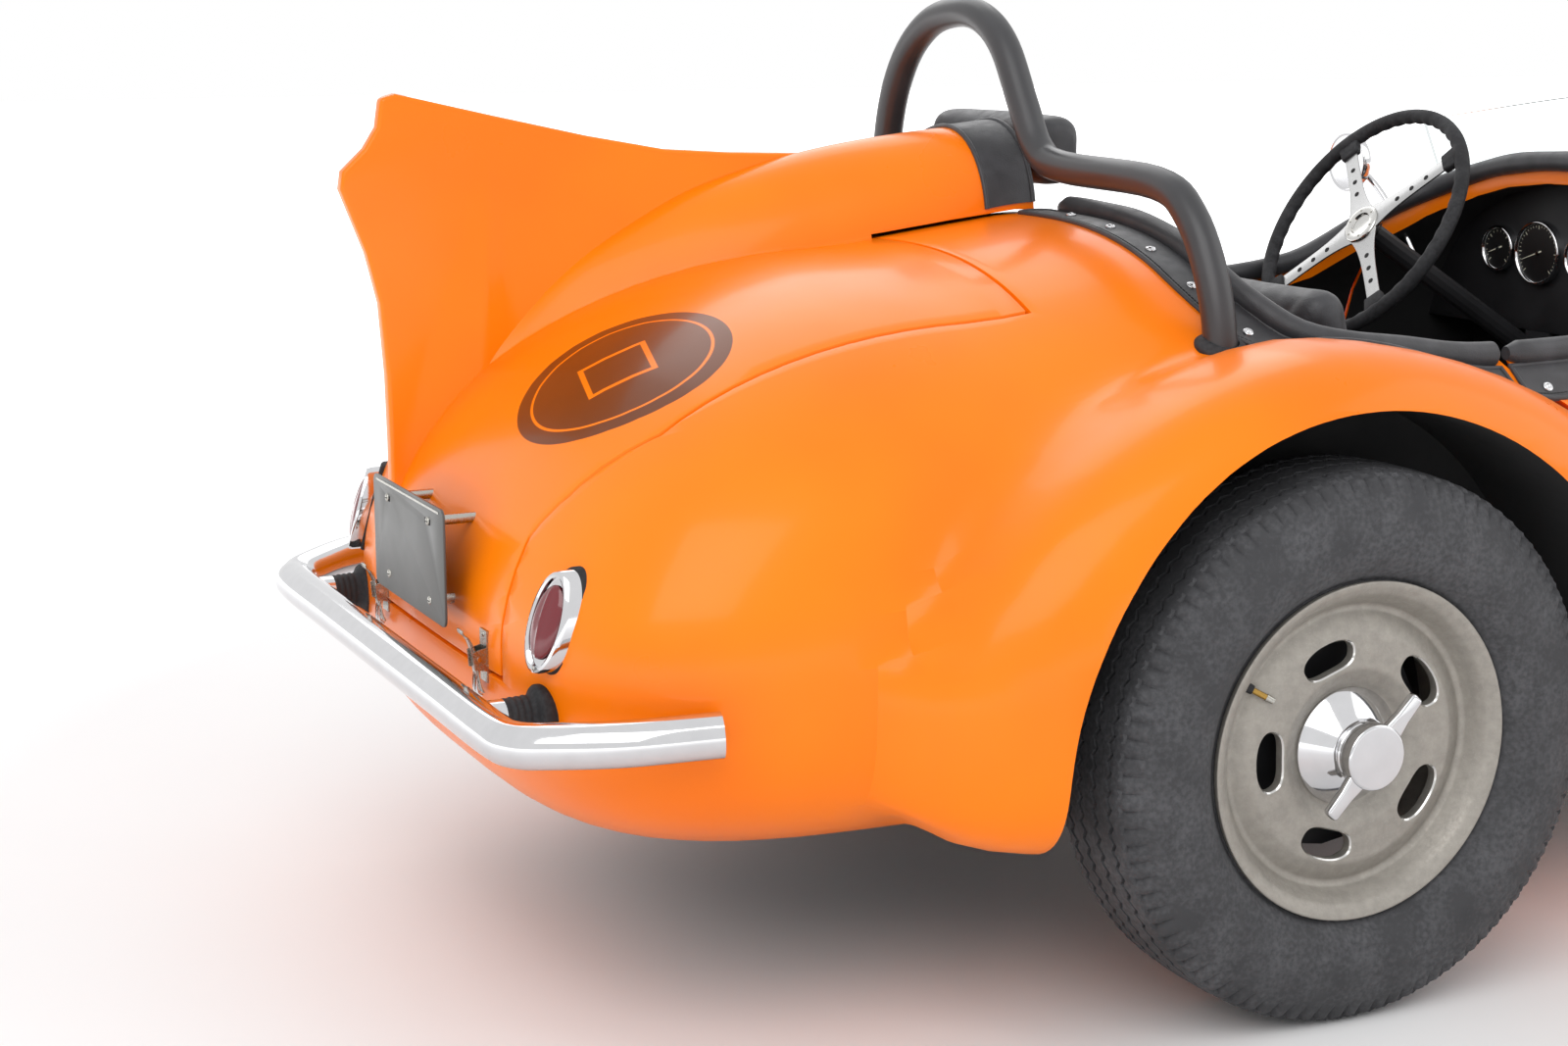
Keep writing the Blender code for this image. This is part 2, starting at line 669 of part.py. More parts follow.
def bonnet_knuckle(name, low, high, radius):
    spot = (BONNET_FRONT_X + PANEL_GAP / 2, bonnet_axis_z())
    return rod(name, (spot[0], low, spot[1]), (spot[0], high, spot[1]), radius, steps=HINGE_STEPS)


def lid_pin(low, high):
    """Length of the lid's hinge pin, behind the driver."""
    ends = [(LID_AXIS_X, FAIRING_Y + y, LID_AXIS_Z) for y in (low, high)]
    return rod("pin", *ends, HINGE_RADIUS, steps=HINGE_STEPS)


def region(name, x_low, x_high):
    return box(name, (x_low, -1.2, 0.0), (x_high, 1.2, 1.5))


def make_body():
    """Split one hollow shell where the real panels meet."""
    half_seam = SEAT_GAP / 2
    reach = HINGE_LENGTH / 2
    slot_y = BELLY_OPENING_HALF_WIDTH - 0.05
    clear = HINGE_RADIUS + HINGE_CLEARANCE
    shell = shell_solid("shell")
    for side in (RIGHT, LEFT):
        join(shell, wing_solid("wing", side))
    cut(shell, cavity_solid("cavity"))
    cut(shell, box("belly", (BELLY_OPENING_REAR_X, -BELLY_OPENING_HALF_WIDTH, 0.0),
                   (BELLY_OPENING_FRONT_X, BELLY_OPENING_HALF_WIDTH, BELLY_OPENING_Z)))
    for side in (RIGHT, LEFT):
        cut(shell, well_solid("well", side), arch_solid("arch", side))
        low_y, high_y = sorted((side * slot_y, side * 0.60))
        cut(shell, box("axle_slot", (-AXLE_SLOT_HALF, low_y, 0.0),
                       (AXLE_SLOT_HALF, high_y, TYRE_RADIUS + AXLE_SLOT_HALF)))
        low_y, high_y = sorted((side * 0.20, side * 0.60))
        cut(shell, box("steering_slot", (WHEELBASE - STEERING_SLOT_LENGTH, low_y, 0.0),
                       (WHEELBASE + AXLE_SLOT_HALF, high_y, STEERING_SLOT_TOP_Z)))
    lid = keep(copy_of(shell), lid_prism("lid_cut", 0.0))
    bonnet = keep(copy_of(shell), bonnet_prism("bonnet_cut", 0.0))
    cut(shell, prism("cockpit", cockpit_outline(), "Z", 0.5, 1.4))
    doors = {side: keep(copy_of(shell), door_prism("door_cut", side, 0.0)) for side in (RIGHT, LEFT)}
    cut(shell, lid_prism("lid_hole", PANEL_GAP), bonnet_prism("bonnet_hole", PANEL_GAP))
    for side in (RIGHT, LEFT):
        cut(shell, door_prism("door_hole", side, PANEL_GAP))
    tail = keep(copy_of(shell), region("tail", -1.2, TAIL_SPLIT_X - half_seam))
    cowl_end = COWL_FRONT_X - PANEL_GAP
    centre = keep(copy_of(shell), region("centre", TAIL_SPLIT_X + half_seam, cowl_end - half_seam))
    front = keep(shell, region("front", cowl_end + half_seam, 3.0))
    cut(front, ellipse_x("mouth", GRILLE_X - 0.10, 3.0, MOUTH_HALF_WIDTH, MOUTH_HALF_HEIGHT, MOUTH_Z))
    for side in (RIGHT, LEFT):
        cut(doors[side], door_knuckle("notch", side, reach / 3, reach + HINGE_CLEARANCE, clear),
            door_knuckle("notch", side, -reach - HINGE_CLEARANCE, -reach / 3, clear))
        join(doors[side], door_knuckle("pin", side, -reach / 3, reach / 3, HINGE_RADIUS))
        cut(centre, door_knuckle("notch", side, -reach / 3 - SEAT_GAP, reach / 3 + SEAT_GAP, clear))
        join(centre, door_knuckle("pin", side, reach / 3 + SEAT_GAP, reach, HINGE_RADIUS),
             door_knuckle("pin", side, -reach, -reach / 3 - SEAT_GAP, HINGE_RADIUS))
    cut(bonnet, bonnet_knuckle("notch", reach / 3, reach + HINGE_CLEARANCE, clear),
        bonnet_knuckle("notch", -reach - HINGE_CLEARANCE, -reach / 3, clear))
    join(bonnet, bonnet_knuckle("pin", -reach / 3, reach / 3, HINGE_RADIUS))
    cut(front, bonnet_knuckle("notch", -reach / 3 - SEAT_GAP, reach / 3 + SEAT_GAP, clear))
    join(front, bonnet_knuckle("pin", reach / 3 + SEAT_GAP, reach, HINGE_RADIUS),
         bonnet_knuckle("pin", -reach, -reach / 3 - SEAT_GAP, HINGE_RADIUS))
    for low, high in ((reach / 3 + SEAT_GAP, reach), (-reach, -reach / 3 - SEAT_GAP)):
        join(tail, lid_pin(low, high),
             box("arm", (COCKPIT_REAR_X - 0.012, FAIRING_Y + low, LID_AXIS_Z - 0.006),
                 (LID_AXIS_X, FAIRING_Y + high, LID_AXIS_Z + 0.005)))
    return tail, centre, front, lid, bonnet, doors


def fairing_ring(x):
    """Ridge over the deck at one station; its foot follows the deck's own curve."""
    along = max(0.0, (FAIRING_FRONT_X - x) / (FAIRING_FRONT_X - FAIRING_REAR_X))
    half = FAIRING_HALF_WIDTH * (1 - along ** 1.8) ** 0.9 + 0.004
    foot = -FAIRING_ROOT
    ridge = line_at(FAIRING_RIDGE, x)
    ring = []
    for k in range(11):
        angle = math.pi * k / 10
        y = FAIRING_Y + half * math.cos(angle)
        base = deck_z(x, y, foot)
        ring.append((x, y, base + max(0.002, ridge - deck_z(x, FAIRING_Y, foot)) * math.sin(angle) ** 0.85))
    for k in range(1, 6):
        y = FAIRING_Y - half + 2 * half * k / 6
        ring.append((x, y, deck_z(x, y, foot) - 0.0005))
    return ring


def outer_form(name, grow):
    """Shell and rear wings as one solid, a little larger all round."""
    form = shell_solid(name, -grow)
    for side in (RIGHT, LEFT):
        join(form, wing_solid("wing", side, grow))
    return form


def make_boot_lid(lid):
    reach = HINGE_LENGTH / 2
    length = FAIRING_FRONT_X - FAIRING_REAR_X
    stations = [FAIRING_REAR_X + 0.01 + (length - 0.01) * (k / 9) for k in range(10)]
    fairing = loft("fairing", [fairing_ring(x) for x in stations])
    guard = shell_solid("guard", -FAIRING_CLEARANCE)
    cut(guard, lid_prism("lid_zone", -0.004))
    join(lid, cut(fairing, guard))
    join(lid, prism("fin", FIN_OUTLINE, "Y", FAIRING_Y - FIN_THICKNESS / 2, FAIRING_Y + FIN_THICKNESS / 2))
    top = PAD_BOTTOM_Z - SEAT_GAP
    join(lid, box("arm", (FAIRING_FRONT_X - 0.03, FAIRING_Y - reach / 3, top - 0.014),
                  (LID_AXIS_X + 0.006, FAIRING_Y + reach / 3, top)))
    join(lid, box("drop", (LID_AXIS_X - 0.006, FAIRING_Y - reach / 3, LID_AXIS_Z),
                  (LID_AXIS_X + 0.006, FAIRING_Y + reach / 3, top - 0.002)))
    join(lid, lid_pin(-reach / 3, reach / 3))
    return finish(lid, "boot_lid", *PAINT, pivot=(LID_AXIS_X, 0, LID_AXIS_Z))


def make_headrest_pad():
    middle = (PAD_TOP_Z + PAD_BOTTOM_Z) / 2
    half_height = (PAD_TOP_Z - PAD_BOTTOM_Z) / 2
    stations = ((FAIRING_FRONT_X + SEAT_GAP, 0.012), (FAIRING_FRONT_X + 0.022, 0.0), (PAD_FRONT_X - 0.02, 0.0),
                (PAD_FRONT_X, 0.02))
    rings = []
    for x, shrink in stations:
        points = [power_point(2 * math.pi * k / 20, 3.5) for k in range(20)]
        half, tall = PAD_HALF_WIDTH - shrink, half_height - shrink / 2
        rings.append([(x, FAIRING_Y + y * half, middle + z * tall) for y, z in points])
    finish(loft("pad", rings), "headrest_pad", *LEATHER, pivot=(LID_AXIS_X, 0, LID_AXIS_Z))


def make_panels():
    tail, centre, front, lid, bonnet, doors = make_body()
    finish(tail, "body_tail", *PAINT)
    finish(centre, "body_centre", *PAINT)
    finish(front, "body_front", *PAINT)
    finish(bonnet, "bonnet", *PAINT, pivot=(BONNET_FRONT_X + PANEL_GAP / 2, 0, bonnet_axis_z()))
    for side, name in ((RIGHT, "door_right"), (LEFT, "door_left")):
        finish(doors[side], name, *PAINT, pivot=door_pivot(side))
    make_boot_lid(lid)
    make_headrest_pad()


def tyre_profile():
    """Half of the section, bead to tread, then its mirror and the hollow side."""
    bead = RIM_SEAT_RADIUS + SEAT_GAP
    inner_y = RIM_HALF_WIDTH - RIM_FLANGE - SEAT_GAP
    half = [(inner_y, bead), (inner_y, RIM_FLANGE_RADIUS + SEAT_GAP), (TYRE_HALF_WIDTH, 0.262),
            (TYRE_HALF_WIDTH - 0.007, 0.315), (TREAD_HALF_WIDTH + 0.006, 0.343),
            (TREAD_HALF_WIDTH * 0.5, TYRE_RADIUS)]
    hollow = [(-0.050, bead), (-0.066, 0.290), (0.066, 0.290), (0.050, bead)]
    return half + [(-y, r) for y, r in reversed(half)] + hollow


def wheel_profile():
    """Hub, crowned disc and rim, around one closed section."""
    seat = RIM_SEAT_RADIUS
    inside = seat - RIM_BARREL
    flange_y = RIM_HALF_WIDTH - RIM_FLANGE
    valley = inside - 0.016
    back, web = DISC_Y - DISC_THICKNESS, HUB_FACE_Y - DISC_THICKNESS
    hub_seat = CAP_BASE_RADIUS + 0.003
    crown_in, crown_out = DISC_CROWN
    lip, shoulder = RIM_FLANGE_RADIUS, RIM_FLANGE_RADIUS - 0.007
    outer = [(HUB_FACE_Y, 0.0), (HUB_FACE_Y, hub_seat), (DISC_Y, crown_in), (DISC_Y, crown_out),
             (HUB_FACE_Y, valley), (flange_y - 0.004, inside + 0.003), (RIM_HALF_WIDTH, shoulder),
             (RIM_HALF_WIDTH, lip), (flange_y, seat)]
    inner = [(-flange_y, seat), (-RIM_HALF_WIDTH, lip), (-RIM_HALF_WIDTH, shoulder), (-flange_y + 0.004, inside),
             (0.0, inside), (web, valley), (back, crown_out), (back, crown_in), (web, hub_seat), (web, HUB_RADIUS),
             (0.0, HUB_RADIUS), (0.0, 0.0)]
    return outer + inner


def slot_cutters(centre, side):
    """Five kidney slots in the disc."""
    for k in range(SLOT_COUNT):
        middle = 2 * math.pi * (k + SLOT_PHASE) / SLOT_COUNT
        ring = []
        for i in range(SLOT_STEPS):
            angle = 2 * math.pi * (i + 0.4) / SLOT_STEPS
            bend = middle + SLOT_HALF_LENGTH * math.cos(angle) / SLOT_PITCH_RADIUS
            radius = SLOT_PITCH_RADIUS + SLOT_HALF_WIDTH * math.sin(angle)
            ring.append((centre[0] + radius * math.cos(bend), centre[2] + radius * math.sin(bend)))
        ends = sorted((centre[1] + side * 0.01, centre[1] + side * 0.09))
        yield prism("slot", ring, "Y", *ends)


def ear_outline():
    """Both blades of a knock-off cap, seen from outside."""
    tilt = math.radians(EAR_TILT_DEG)
    arm = Vector((math.cos(tilt), 0, math.sin(tilt)))
    across = Vector((-math.sin(tilt), 0, math.cos(tilt)))
    root = CAP_RADIUS + 0.006
    stops = ((-EAR_REACH, 0.75), (-root, 1.0), (root, 1.0), (EAR_REACH, 0.75))
    low = [arm * reach - across * EAR_HALF_WIDTH * half for reach, half in stops]
    high = [arm * reach + across * EAR_HALF_WIDTH * half for reach, half in reversed(stops)]
    return [(p.x, p.z) for p in low + high]


def make_wheel(label, x, side):
    """Tyre, wheel and knock-off cap, built round their own centre and then set on the axle."""
    centre = (0.0, 0.0, 0.0)
    tyre = finish(turned("tyre", tyre_profile(), centre, outward=side), "tyre_" + label, *RUBBER)
    wheel = turned("wheel", wheel_profile(), centre, outward=side)
    for cutter in slot_cutters(centre, side):
        cut(wheel, cutter)
    finish(wheel, "wheel_" + label, *CAST)
    face = HUB_FACE_Y + SEAT_GAP
    cone, neck = face + CAP_CONE_DEPTH, CAP_RADIUS - 0.004
    profile = [(face, 0.0), (face, CAP_BASE_RADIUS), (face + 0.003, CAP_BASE_RADIUS), (cone, CAP_RADIUS),
               (cone, neck), (cone + 0.009, neck), (cone + 0.011, CAP_RADIUS), (CAP_REACH - 0.003, CAP_RADIUS),
               (CAP_REACH, CAP_RADIUS - 0.003), (CAP_REACH, 0.0)]
    cap = turned("cap", profile, centre, steps=12, outward=side)
    ends = sorted((side * (CAP_REACH - 0.017), side * (CAP_REACH - 0.005)))
    join(cap, prism("ears", ear_outline(), "Y", *ends))
    finish(cap, "spinner_" + label, *CHROME)
    for obj in (tyre, wheel, cap):
        obj.location = (x, side * HALF_TRACK, TYRE_RADIUS)


def make_frame():
    """Two box rails with round cross tubes let in between them."""
    for side, name in ((RIGHT, "frame_rail_right"), (LEFT, "frame_rail_left")):
        low_y, high_y = sorted((side * (RAIL_Y - RAIL_HALF_WIDTH), side * (RAIL_Y + RAIL_HALF_WIDTH)))
        rail = box("rail", (RAIL_REAR_X, low_y, RAIL_BOTTOM_Z), (RAIL_FRONT_X, high_y, RAIL_TOP_Z))
        finish(rail, name, *STEEL)
    middle = (RAIL_TOP_Z + RAIL_BOTTOM_Z) / 2
    reach = RAIL_Y - RAIL_HALF_WIDTH - SEAT_GAP
    for place, x in CROSS_TUBES:
        tube_between = rod("cross", (x, -reach, middle), (x, reach, middle), CROSS_RADIUS)
        finish(tube_between, "cross_tube_" + place, *STEEL)


def make_rear_axle():
    drum_face = HALF_TRACK - SEAT_GAP
    axle = rod("axle", (0, -drum_face, TYRE_RADIUS), (0, drum_face, TYRE_RADIUS), REAR_AXLE_RADIUS, steps=16)
    diff = [(-0.11, 0.0), (-0.11, 0.06), (-0.05, DIFF_RADIUS), (0.05, DIFF_RADIUS), (0.11, 0.06), (0.11, 0.0)]
    join(axle, turned("diff", diff, (0, 0, TYRE_RADIUS), axis="X", steps=16))
    for side in (RIGHT, LEFT):
        ends = [(0, side * y, TYRE_RADIUS) for y in (drum_face - DRUM_DEPTH, drum_face)]
        join(axle, rod("drum", *ends, DRUM_RADIUS, steps=20))
        join(axle, box("perch", (-0.045, side * RAIL_Y - 0.02, RAIL_TOP_Z + SEAT_GAP),
                       (0.045, side * RAIL_Y + 0.02, TYRE_RADIUS - 0.009)))
    finish(axle, "rear_axle", *STEEL)


def make_front_axle():
    reach = KINGPIN_Y - 0.024
    axle = rod("beam", (WHEELBASE, -reach, TYRE_RADIUS), (WHEELBASE, reach, TYRE_RADIUS), FRONT_AXLE_RADIUS)
    for side in (RIGHT, LEFT):
        ends = sorted((side * (reach - 0.006), side * KINGPIN_Y))
        join(axle, rod("eye", (WHEELBASE, side * KINGPIN_Y, TYRE_RADIUS - KINGPIN_EYE_HALF),
                       (WHEELBASE, side * KINGPIN_Y, TYRE_RADIUS + KINGPIN_EYE_HALF), KINGPIN_RADIUS),
             box("end", (WHEELBASE - 0.012, ends[0], TYRE_RADIUS - 0.022),
                 (WHEELBASE + 0.012, ends[1], TYRE_RADIUS + 0.022)),
             box("perch", (WHEELBASE - 0.04, side * RAIL_Y - 0.02, RAIL_TOP_Z + SEAT_GAP),
                 (WHEELBASE + 0.04, side * RAIL_Y + 0.02, TYRE_RADIUS - 0.005)))
    finish(axle, "front_axle", *STEEL)


def arm_top_z():
    return TYRE_RADIUS + KINGPIN_EYE_HALF + SEAT_GAP + KNUCKLE_LUG


def make_knuckle(name, side):
    """Kingpin lugs, web, drum and steering arm that turn together."""
    pin = (WHEELBASE, side * KINGPIN_Y, TYRE_RADIUS)
    drum_face = HALF_TRACK - SEAT_GAP
    drum_ends = [(pin[0], side * y, pin[2]) for y in (drum_face - DRUM_DEPTH, drum_face)]
    knuckle = rod("drum", *drum_ends, DRUM_RADIUS, steps=20)
    for direction in (-1, 1):
        low = pin[2] + direction * (KINGPIN_EYE_HALF + SEAT_GAP)
        high = low + direction * KNUCKLE_LUG
        lug = rod("lug", (pin[0], pin[1], low), (pin[0], pin[1], high), KINGPIN_RADIUS)
        ends_y = sorted((pin[1], side * (drum_face - DRUM_DEPTH + 0.01)))
        ends_z = sorted((low, high))
        web = box("web", (pin[0] - 0.018, ends_y[0], ends_z[0]), (pin[0] + 0.018, ends_y[1], ends_z[1]))
        join(knuckle, lug, web)
    top = arm_top_z()
    arm_x = pin[0] - ARM_LENGTH
    join(knuckle, box("arm", (arm_x, pin[1] - 0.013, top - 0.012), (pin[0] - 0.004, pin[1] + 0.013, top - 0.004)))
    join(knuckle, rod("stud", (arm_x, pin[1], top - 0.014), (arm_x, pin[1], top), 0.015))
    finish(knuckle, name, *STEEL, pivot=pin)


def make_track_rod():
    x = WHEELBASE - ARM_LENGTH
    low = arm_top_z() + SEAT_GAP
    middle = low + TRACK_ROD_RADIUS + 0.002
    high = middle + TRACK_ROD_RADIUS + 0.002
    track_rod = rod("rod", (x, -KINGPIN_Y, middle), (x, KINGPIN_Y, middle), TRACK_ROD_RADIUS)
    for y in (-KINGPIN_Y, KINGPIN_Y):
        join(track_rod, rod("eye", (x, y, low), (x, y, high), 0.016))
    finish(track_rod, "track_rod", *STEEL, pivot=(x, -KINGPIN_Y, low))


def make_engine_and_exhaust():
    engine = box("engine", (ENGINE_REAR_X, -ENGINE_HALF_WIDTH, ENGINE_BOTTOM_Z),
                 (ENGINE_FRONT_X, ENGINE_HALF_WIDTH, ENGINE_TOP_Z))
    foot_y = RAIL_Y + 0.015
    for x in (ENGINE_REAR_X + 0.06, ENGINE_FRONT_X - 0.10):
        join(engine, box("mount", (x, -foot_y, RAIL_TOP_Z + SEAT_GAP), (x + 0.05, foot_y, ENGINE_BOTTOM_Z + 0.008)))
    finish(engine, "engine_block", *STEEL)
    middle = (RAIL_TOP_Z + RAIL_BOTTOM_Z) / 2
    z = middle - CROSS_RADIUS * math.cos(math.pi / BAR_STEPS) - SEAT_GAP - EXHAUST_RADIUS
    path = [(x, EXHAUST_Y, z) for x in (EXHAUST_FRONT_X, COWL_FRONT_X, EXHAUST_REAR_X)]
    finish(tube("pipe", path, EXHAUST_RADIUS, BAR_STEPS), "exhaust", *STEEL)
    rear, front, low = RAIL_FRONT_X - 0.07, RAIL_FRONT_X - 0.01, RAIL_TOP_Z + SEAT_GAP
    radiator = box("core", (rear, -RADIATOR_HALF_WIDTH, low), (front, RADIATOR_HALF_WIDTH, RADIATOR_TOP_Z))
    join(radiator, box("foot", (rear, -RAIL_Y, low), (front, RAIL_Y, low + 0.02)))
    keep(radiator, cavity_solid("space", SEAT_GAP))
    finish(radiator, "radiator", *STEEL)


def make_floor():
    """Floor on the rails, with the bulkheads before and behind the cabin."""
    low = RAIL_TOP_Z + SEAT_GAP
    thick = FLOOR_THICKNESS
    over = 1.2
    outline = [(AXLE_BULKHEAD_X, low), (FIREWALL_X + thick, low), (FIREWALL_X + thick, over), (FIREWALL_X, over),
               (FIREWALL_X, low + thick), (AXLE_BULKHEAD_X + thick, low + thick),
               (AXLE_BULKHEAD_X + thick, SHELF_Z + thick), (REAR_BULKHEAD_X, SHELF_Z + thick),
               (REAR_BULKHEAD_X, over), (REAR_BULKHEAD_X - thick, over), (REAR_BULKHEAD_X - thick, SHELF_Z),
               (AXLE_BULKHEAD_X, SHELF_Z)]
    floor = prism("floor", outline, "Y", -1.0, 1.0)
    keep(floor, cavity_solid("space", SEAT_GAP))
    finish(floor, "floor_pan", *STEEL)


def make_fender(name, side):
    """Arched wing over a front wheel, on two stays from the body."""
    rings = []
    for k in range(FENDER_STEPS + 1):
        share = k / FENDER_STEPS
        angle = math.radians(FENDER_START_DEG + (FENDER_END_DEG - FENDER_START_DEG) * share)
        flare = FENDER_FLARE * max(0.0, (share - 0.7) / 0.3) ** 2
        half = FENDER_HALF_WIDTH * (1 - 0.25 * max(0.0, (0.12 - share) / 0.12) ** 2)
        ring = []
        for lift in (FENDER_SKIN, 0.0):
            order = range(7) if lift else range(6, -1, -1)
            for i in order:
                across = -1 + i / 3
                radius = FENDER_INNER_RADIUS + flare + FENDER_CROWN * rounded(across * 0.98, 2.2) + lift
                ring.append((WHEELBASE + radius * math.cos(angle), side * (HALF_TRACK + across * half),
                             TYRE_RADIUS + radius * math.sin(angle)))
        rings.append(ring)
    fender = loft("fender", rings)
    for angle_deg in (68, 112):
        angle = math.radians(angle_deg)
        radius = FENDER_INNER_RADIUS + FENDER_SKIN + 0.004
        x = WHEELBASE + radius * math.cos(angle)
        z = TYRE_RADIUS + radius * math.sin(angle)
        outer_y = HALF_TRACK - FENDER_HALF_WIDTH + 0.02
        join(fender, rod("stay", (x, side * 0.10, z), (x, side * outer_y, z), STAY_RADIUS, steps=8))
    cut(fender, shell_solid("space", -SEAT_GAP))
    keep_largest(fender)
    finish(fender, name, *PAINT)


def keep_largest(obj):
    """Drop the offcuts that a cut leaves behind."""
    bm = bmesh.new()
    bm.from_mesh(obj.data)
    groups, seen = [], set()
    for face in bm.faces:
        if face in seen:
            continue
        group, stack = [], [face]
        seen.add(face)
        while stack:
            item = stack.pop()
            group.append(item)
            for edge in item.edges:
                for other in edge.link_faces:
                    if other not in seen:
                        seen.add(other)
                        stack.append(other)
        groups.append(group)
    groups.sort(key=len)
    for group in groups[:-1]:
        bmesh.ops.delete(bm, geom=group, context="FACES")
    bm.to_mesh(obj.data)
    bm.free()


def make_headlamp(name, side):
    radius = HEADLAMP_RADIUS
    profile = [(0.0, 0.0), (0.0, 0.030), (0.03, 0.062), (0.08, radius - 0.006), (0.13, radius), (0.148, radius),
               (0.150, radius - 0.010), (0.160, 0.035), (0.162, 0.0)]
    lamp = turned("lamp", profile, (HEADLAMP_X, side * HEADLAMP_Y, HEADLAMP_Z), axis="X", steps=20)
    cut(lamp, shell_solid("space", -SEAT_GAP))
    keep_largest(lamp)
    finish(lamp, name, *CHROME)


def make_grille():
    """Oval rim with upright bars, set inside the mouth."""
    rim = (MOUTH_HALF_WIDTH - SEAT_GAP, MOUTH_HALF_HEIGHT - SEAT_GAP)
    low, high = GRILLE_X, GRILLE_X + GRILLE_DEPTH
    grille = ellipse_x("rim", low, high, *rim, MOUTH_Z)
    cut(grille, ellipse_x("hole", low - 0.01, high + 0.01, rim[0] - GRILLE_RIM, rim[1] - GRILLE_RIM, MOUTH_Z))
    pitch = 2 * (rim[0] - GRILLE_RIM / 2) / (GRILLE_BARS + 1)
    for k in range(GRILLE_BARS):
        y = (k - (GRILLE_BARS - 1) / 2) * pitch
        reach = (rim[1] - GRILLE_RIM / 2) * rounded(y / (rim[0] - GRILLE_RIM / 2), 2.0)
        join(grille, box("bar", (low + 0.002, y - GRILLE_BAR_WIDTH / 2, MOUTH_Z - reach),
                         (high - 0.002, y + GRILLE_BAR_WIDTH / 2, MOUTH_Z + reach)))
    finish(grille, "grille", *CHROME)


def make_hoop():
    hoop = tube("hoop", [(HOOP_X, y, z) for y, z in HOOP_PATH], HOOP_RADIUS, 12)
    cut(hoop, outer_form("space", SEAT_GAP))
    keep_largest(hoop)
    finish(hoop, "roll_hoop", *STEEL)


def make_bumper():
    end_x, end_y, end_z = BUMPER_END
    path = [(end_x, -end_y, end_z), (BUMPER_X + 0.045, -BUMPER_BEND_Y - 0.062, BUMPER_Z + 0.004),
            (BUMPER_X + 0.010, -BUMPER_BEND_Y - 0.025, BUMPER_Z), (BUMPER_X, -BUMPER_BEND_Y + 0.030, BUMPER_Z)]
    path += [(x, -y, z) for x, y, z in reversed(path)]
    bumper = tube("bumper", path, BUMPER_RADIUS, 12)
    for side in (RIGHT, LEFT):
        y = side * STUB_Y
        join(bumper, rod("stub", (BUMPER_X, y, BUMPER_Z), (STUB_END_X, y, BUMPER_Z), STUB_RADIUS),
             rod("boot", (BOOT_X, y, BUMPER_Z), (STUB_END_X, y, BUMPER_Z), BOOT_RADIUS, BOOT_FOOT_RADIUS))
    cut(bumper, shell_solid("space", -SEAT_GAP))
    keep_largest(bumper)
    finish(bumper, "rear_bumper", *CHROME)


def lamp_ring(x, share, side, steps=20):
    """Upright oval that leans with the body's side and deck."""
    ring = []
    for k in range(steps):
        out = share * LAMP_HALF_WIDTH * math.cos(2 * math.pi * k / steps)
        up = share * LAMP_HALF_HEIGHT * math.sin(2 * math.pi * k / steps)
        ring.append((x + LAMP_SWEEP * out + LAMP_LEAN * up, side * (LAMP_Y + out), LAMP_Z + up))
    return ring


def make_tail_lamp(name, side):
    stations = ((LAMP_REAR_X + 0.075, 1.0), (LAMP_REAR_X + 0.012, 1.0), (LAMP_REAR_X + 0.004, 0.85),
                (LAMP_REAR_X, 0.5))
    lamp = loft("lamp", [lamp_ring(x, share, side) for x, share in stations])
    cut(lamp, shell_solid("space", -SEAT_GAP))
    keep_largest(lamp)
    finish(lamp, name, (0.25, 0.01, 0.02), 0.2)


def make_plate_and_latches():
    inner_x = TAIL_X + 0.075
    plate = box("plate", (PLATE_X, -PLATE_HALF_WIDTH, PLATE_Z - PLATE_HALF_HEIGHT),
                (PLATE_X + PLATE_THICKNESS, PLATE_HALF_WIDTH, PLATE_Z + PLATE_HALF_HEIGHT))
    for y in (-STANDOFF_Y, STANDOFF_Y):
        for z in (PLATE_Z - STANDOFF_Z, PLATE_Z + STANDOFF_Z):
            join(plate, rod("standoff", (PLATE_X + 0.001, y, z), (inner_x, y, z), STANDOFF_RADIUS, steps=8))
    cut(plate, shell_solid("space", -SEAT_GAP))
    keep_largest(plate)
    finish(plate, "number_plate", (0.03, 0.03, 0.03), 0.4, 0.0, (LID_AXIS_X, 0, LID_AXIS_Z))
    for side, name in ((RIGHT, "latch_right"), (LEFT, "latch_left")):
        low_y, high_y = side * LATCH_Y - LATCH_HALF_WIDTH, side * LATCH_Y + LATCH_HALF_WIDTH
        latch = box("latch", (LATCH_REAR_X, low_y, LATCH_BOTTOM_Z), (inner_x, high_y, LATCH_TOP_Z))
        cut(latch, shell_solid("space", -SEAT_GAP))
        keep_largest(latch)
        finish(latch, name, *CHROME, (LID_AXIS_X, 0, LID_AXIS_Z))


def corner_route(front, angles):
    """Points round the cockpit's rear or front corner, on the left side."""
    half, corner = COCKPIT_HALF_WIDTH, COCKPIT_CORNER
    middle = COCKPIT_FRONT_X - corner if front else COCKPIT_REAR_X + corner
    reach = corner if front else -corner
    turns = [math.radians(a) for a in angles]
    return [(middle + reach * math.cos(a), half - corner + corner * math.sin(a)) for a in turns]


def trim_roll(name, route, space, pivot=(0, 0, 0)):
    """Padded roll along a route in plan, resting on the deck."""
    roll = tube("roll", [(x, y, deck_z(x, y) + ROLL_RADIUS * 0.6) for x, y in route], ROLL_RADIUS, 10)
    cut(roll, space)
    keep_largest(roll)
    finish(roll, name, *LEATHER, pivot=pivot)


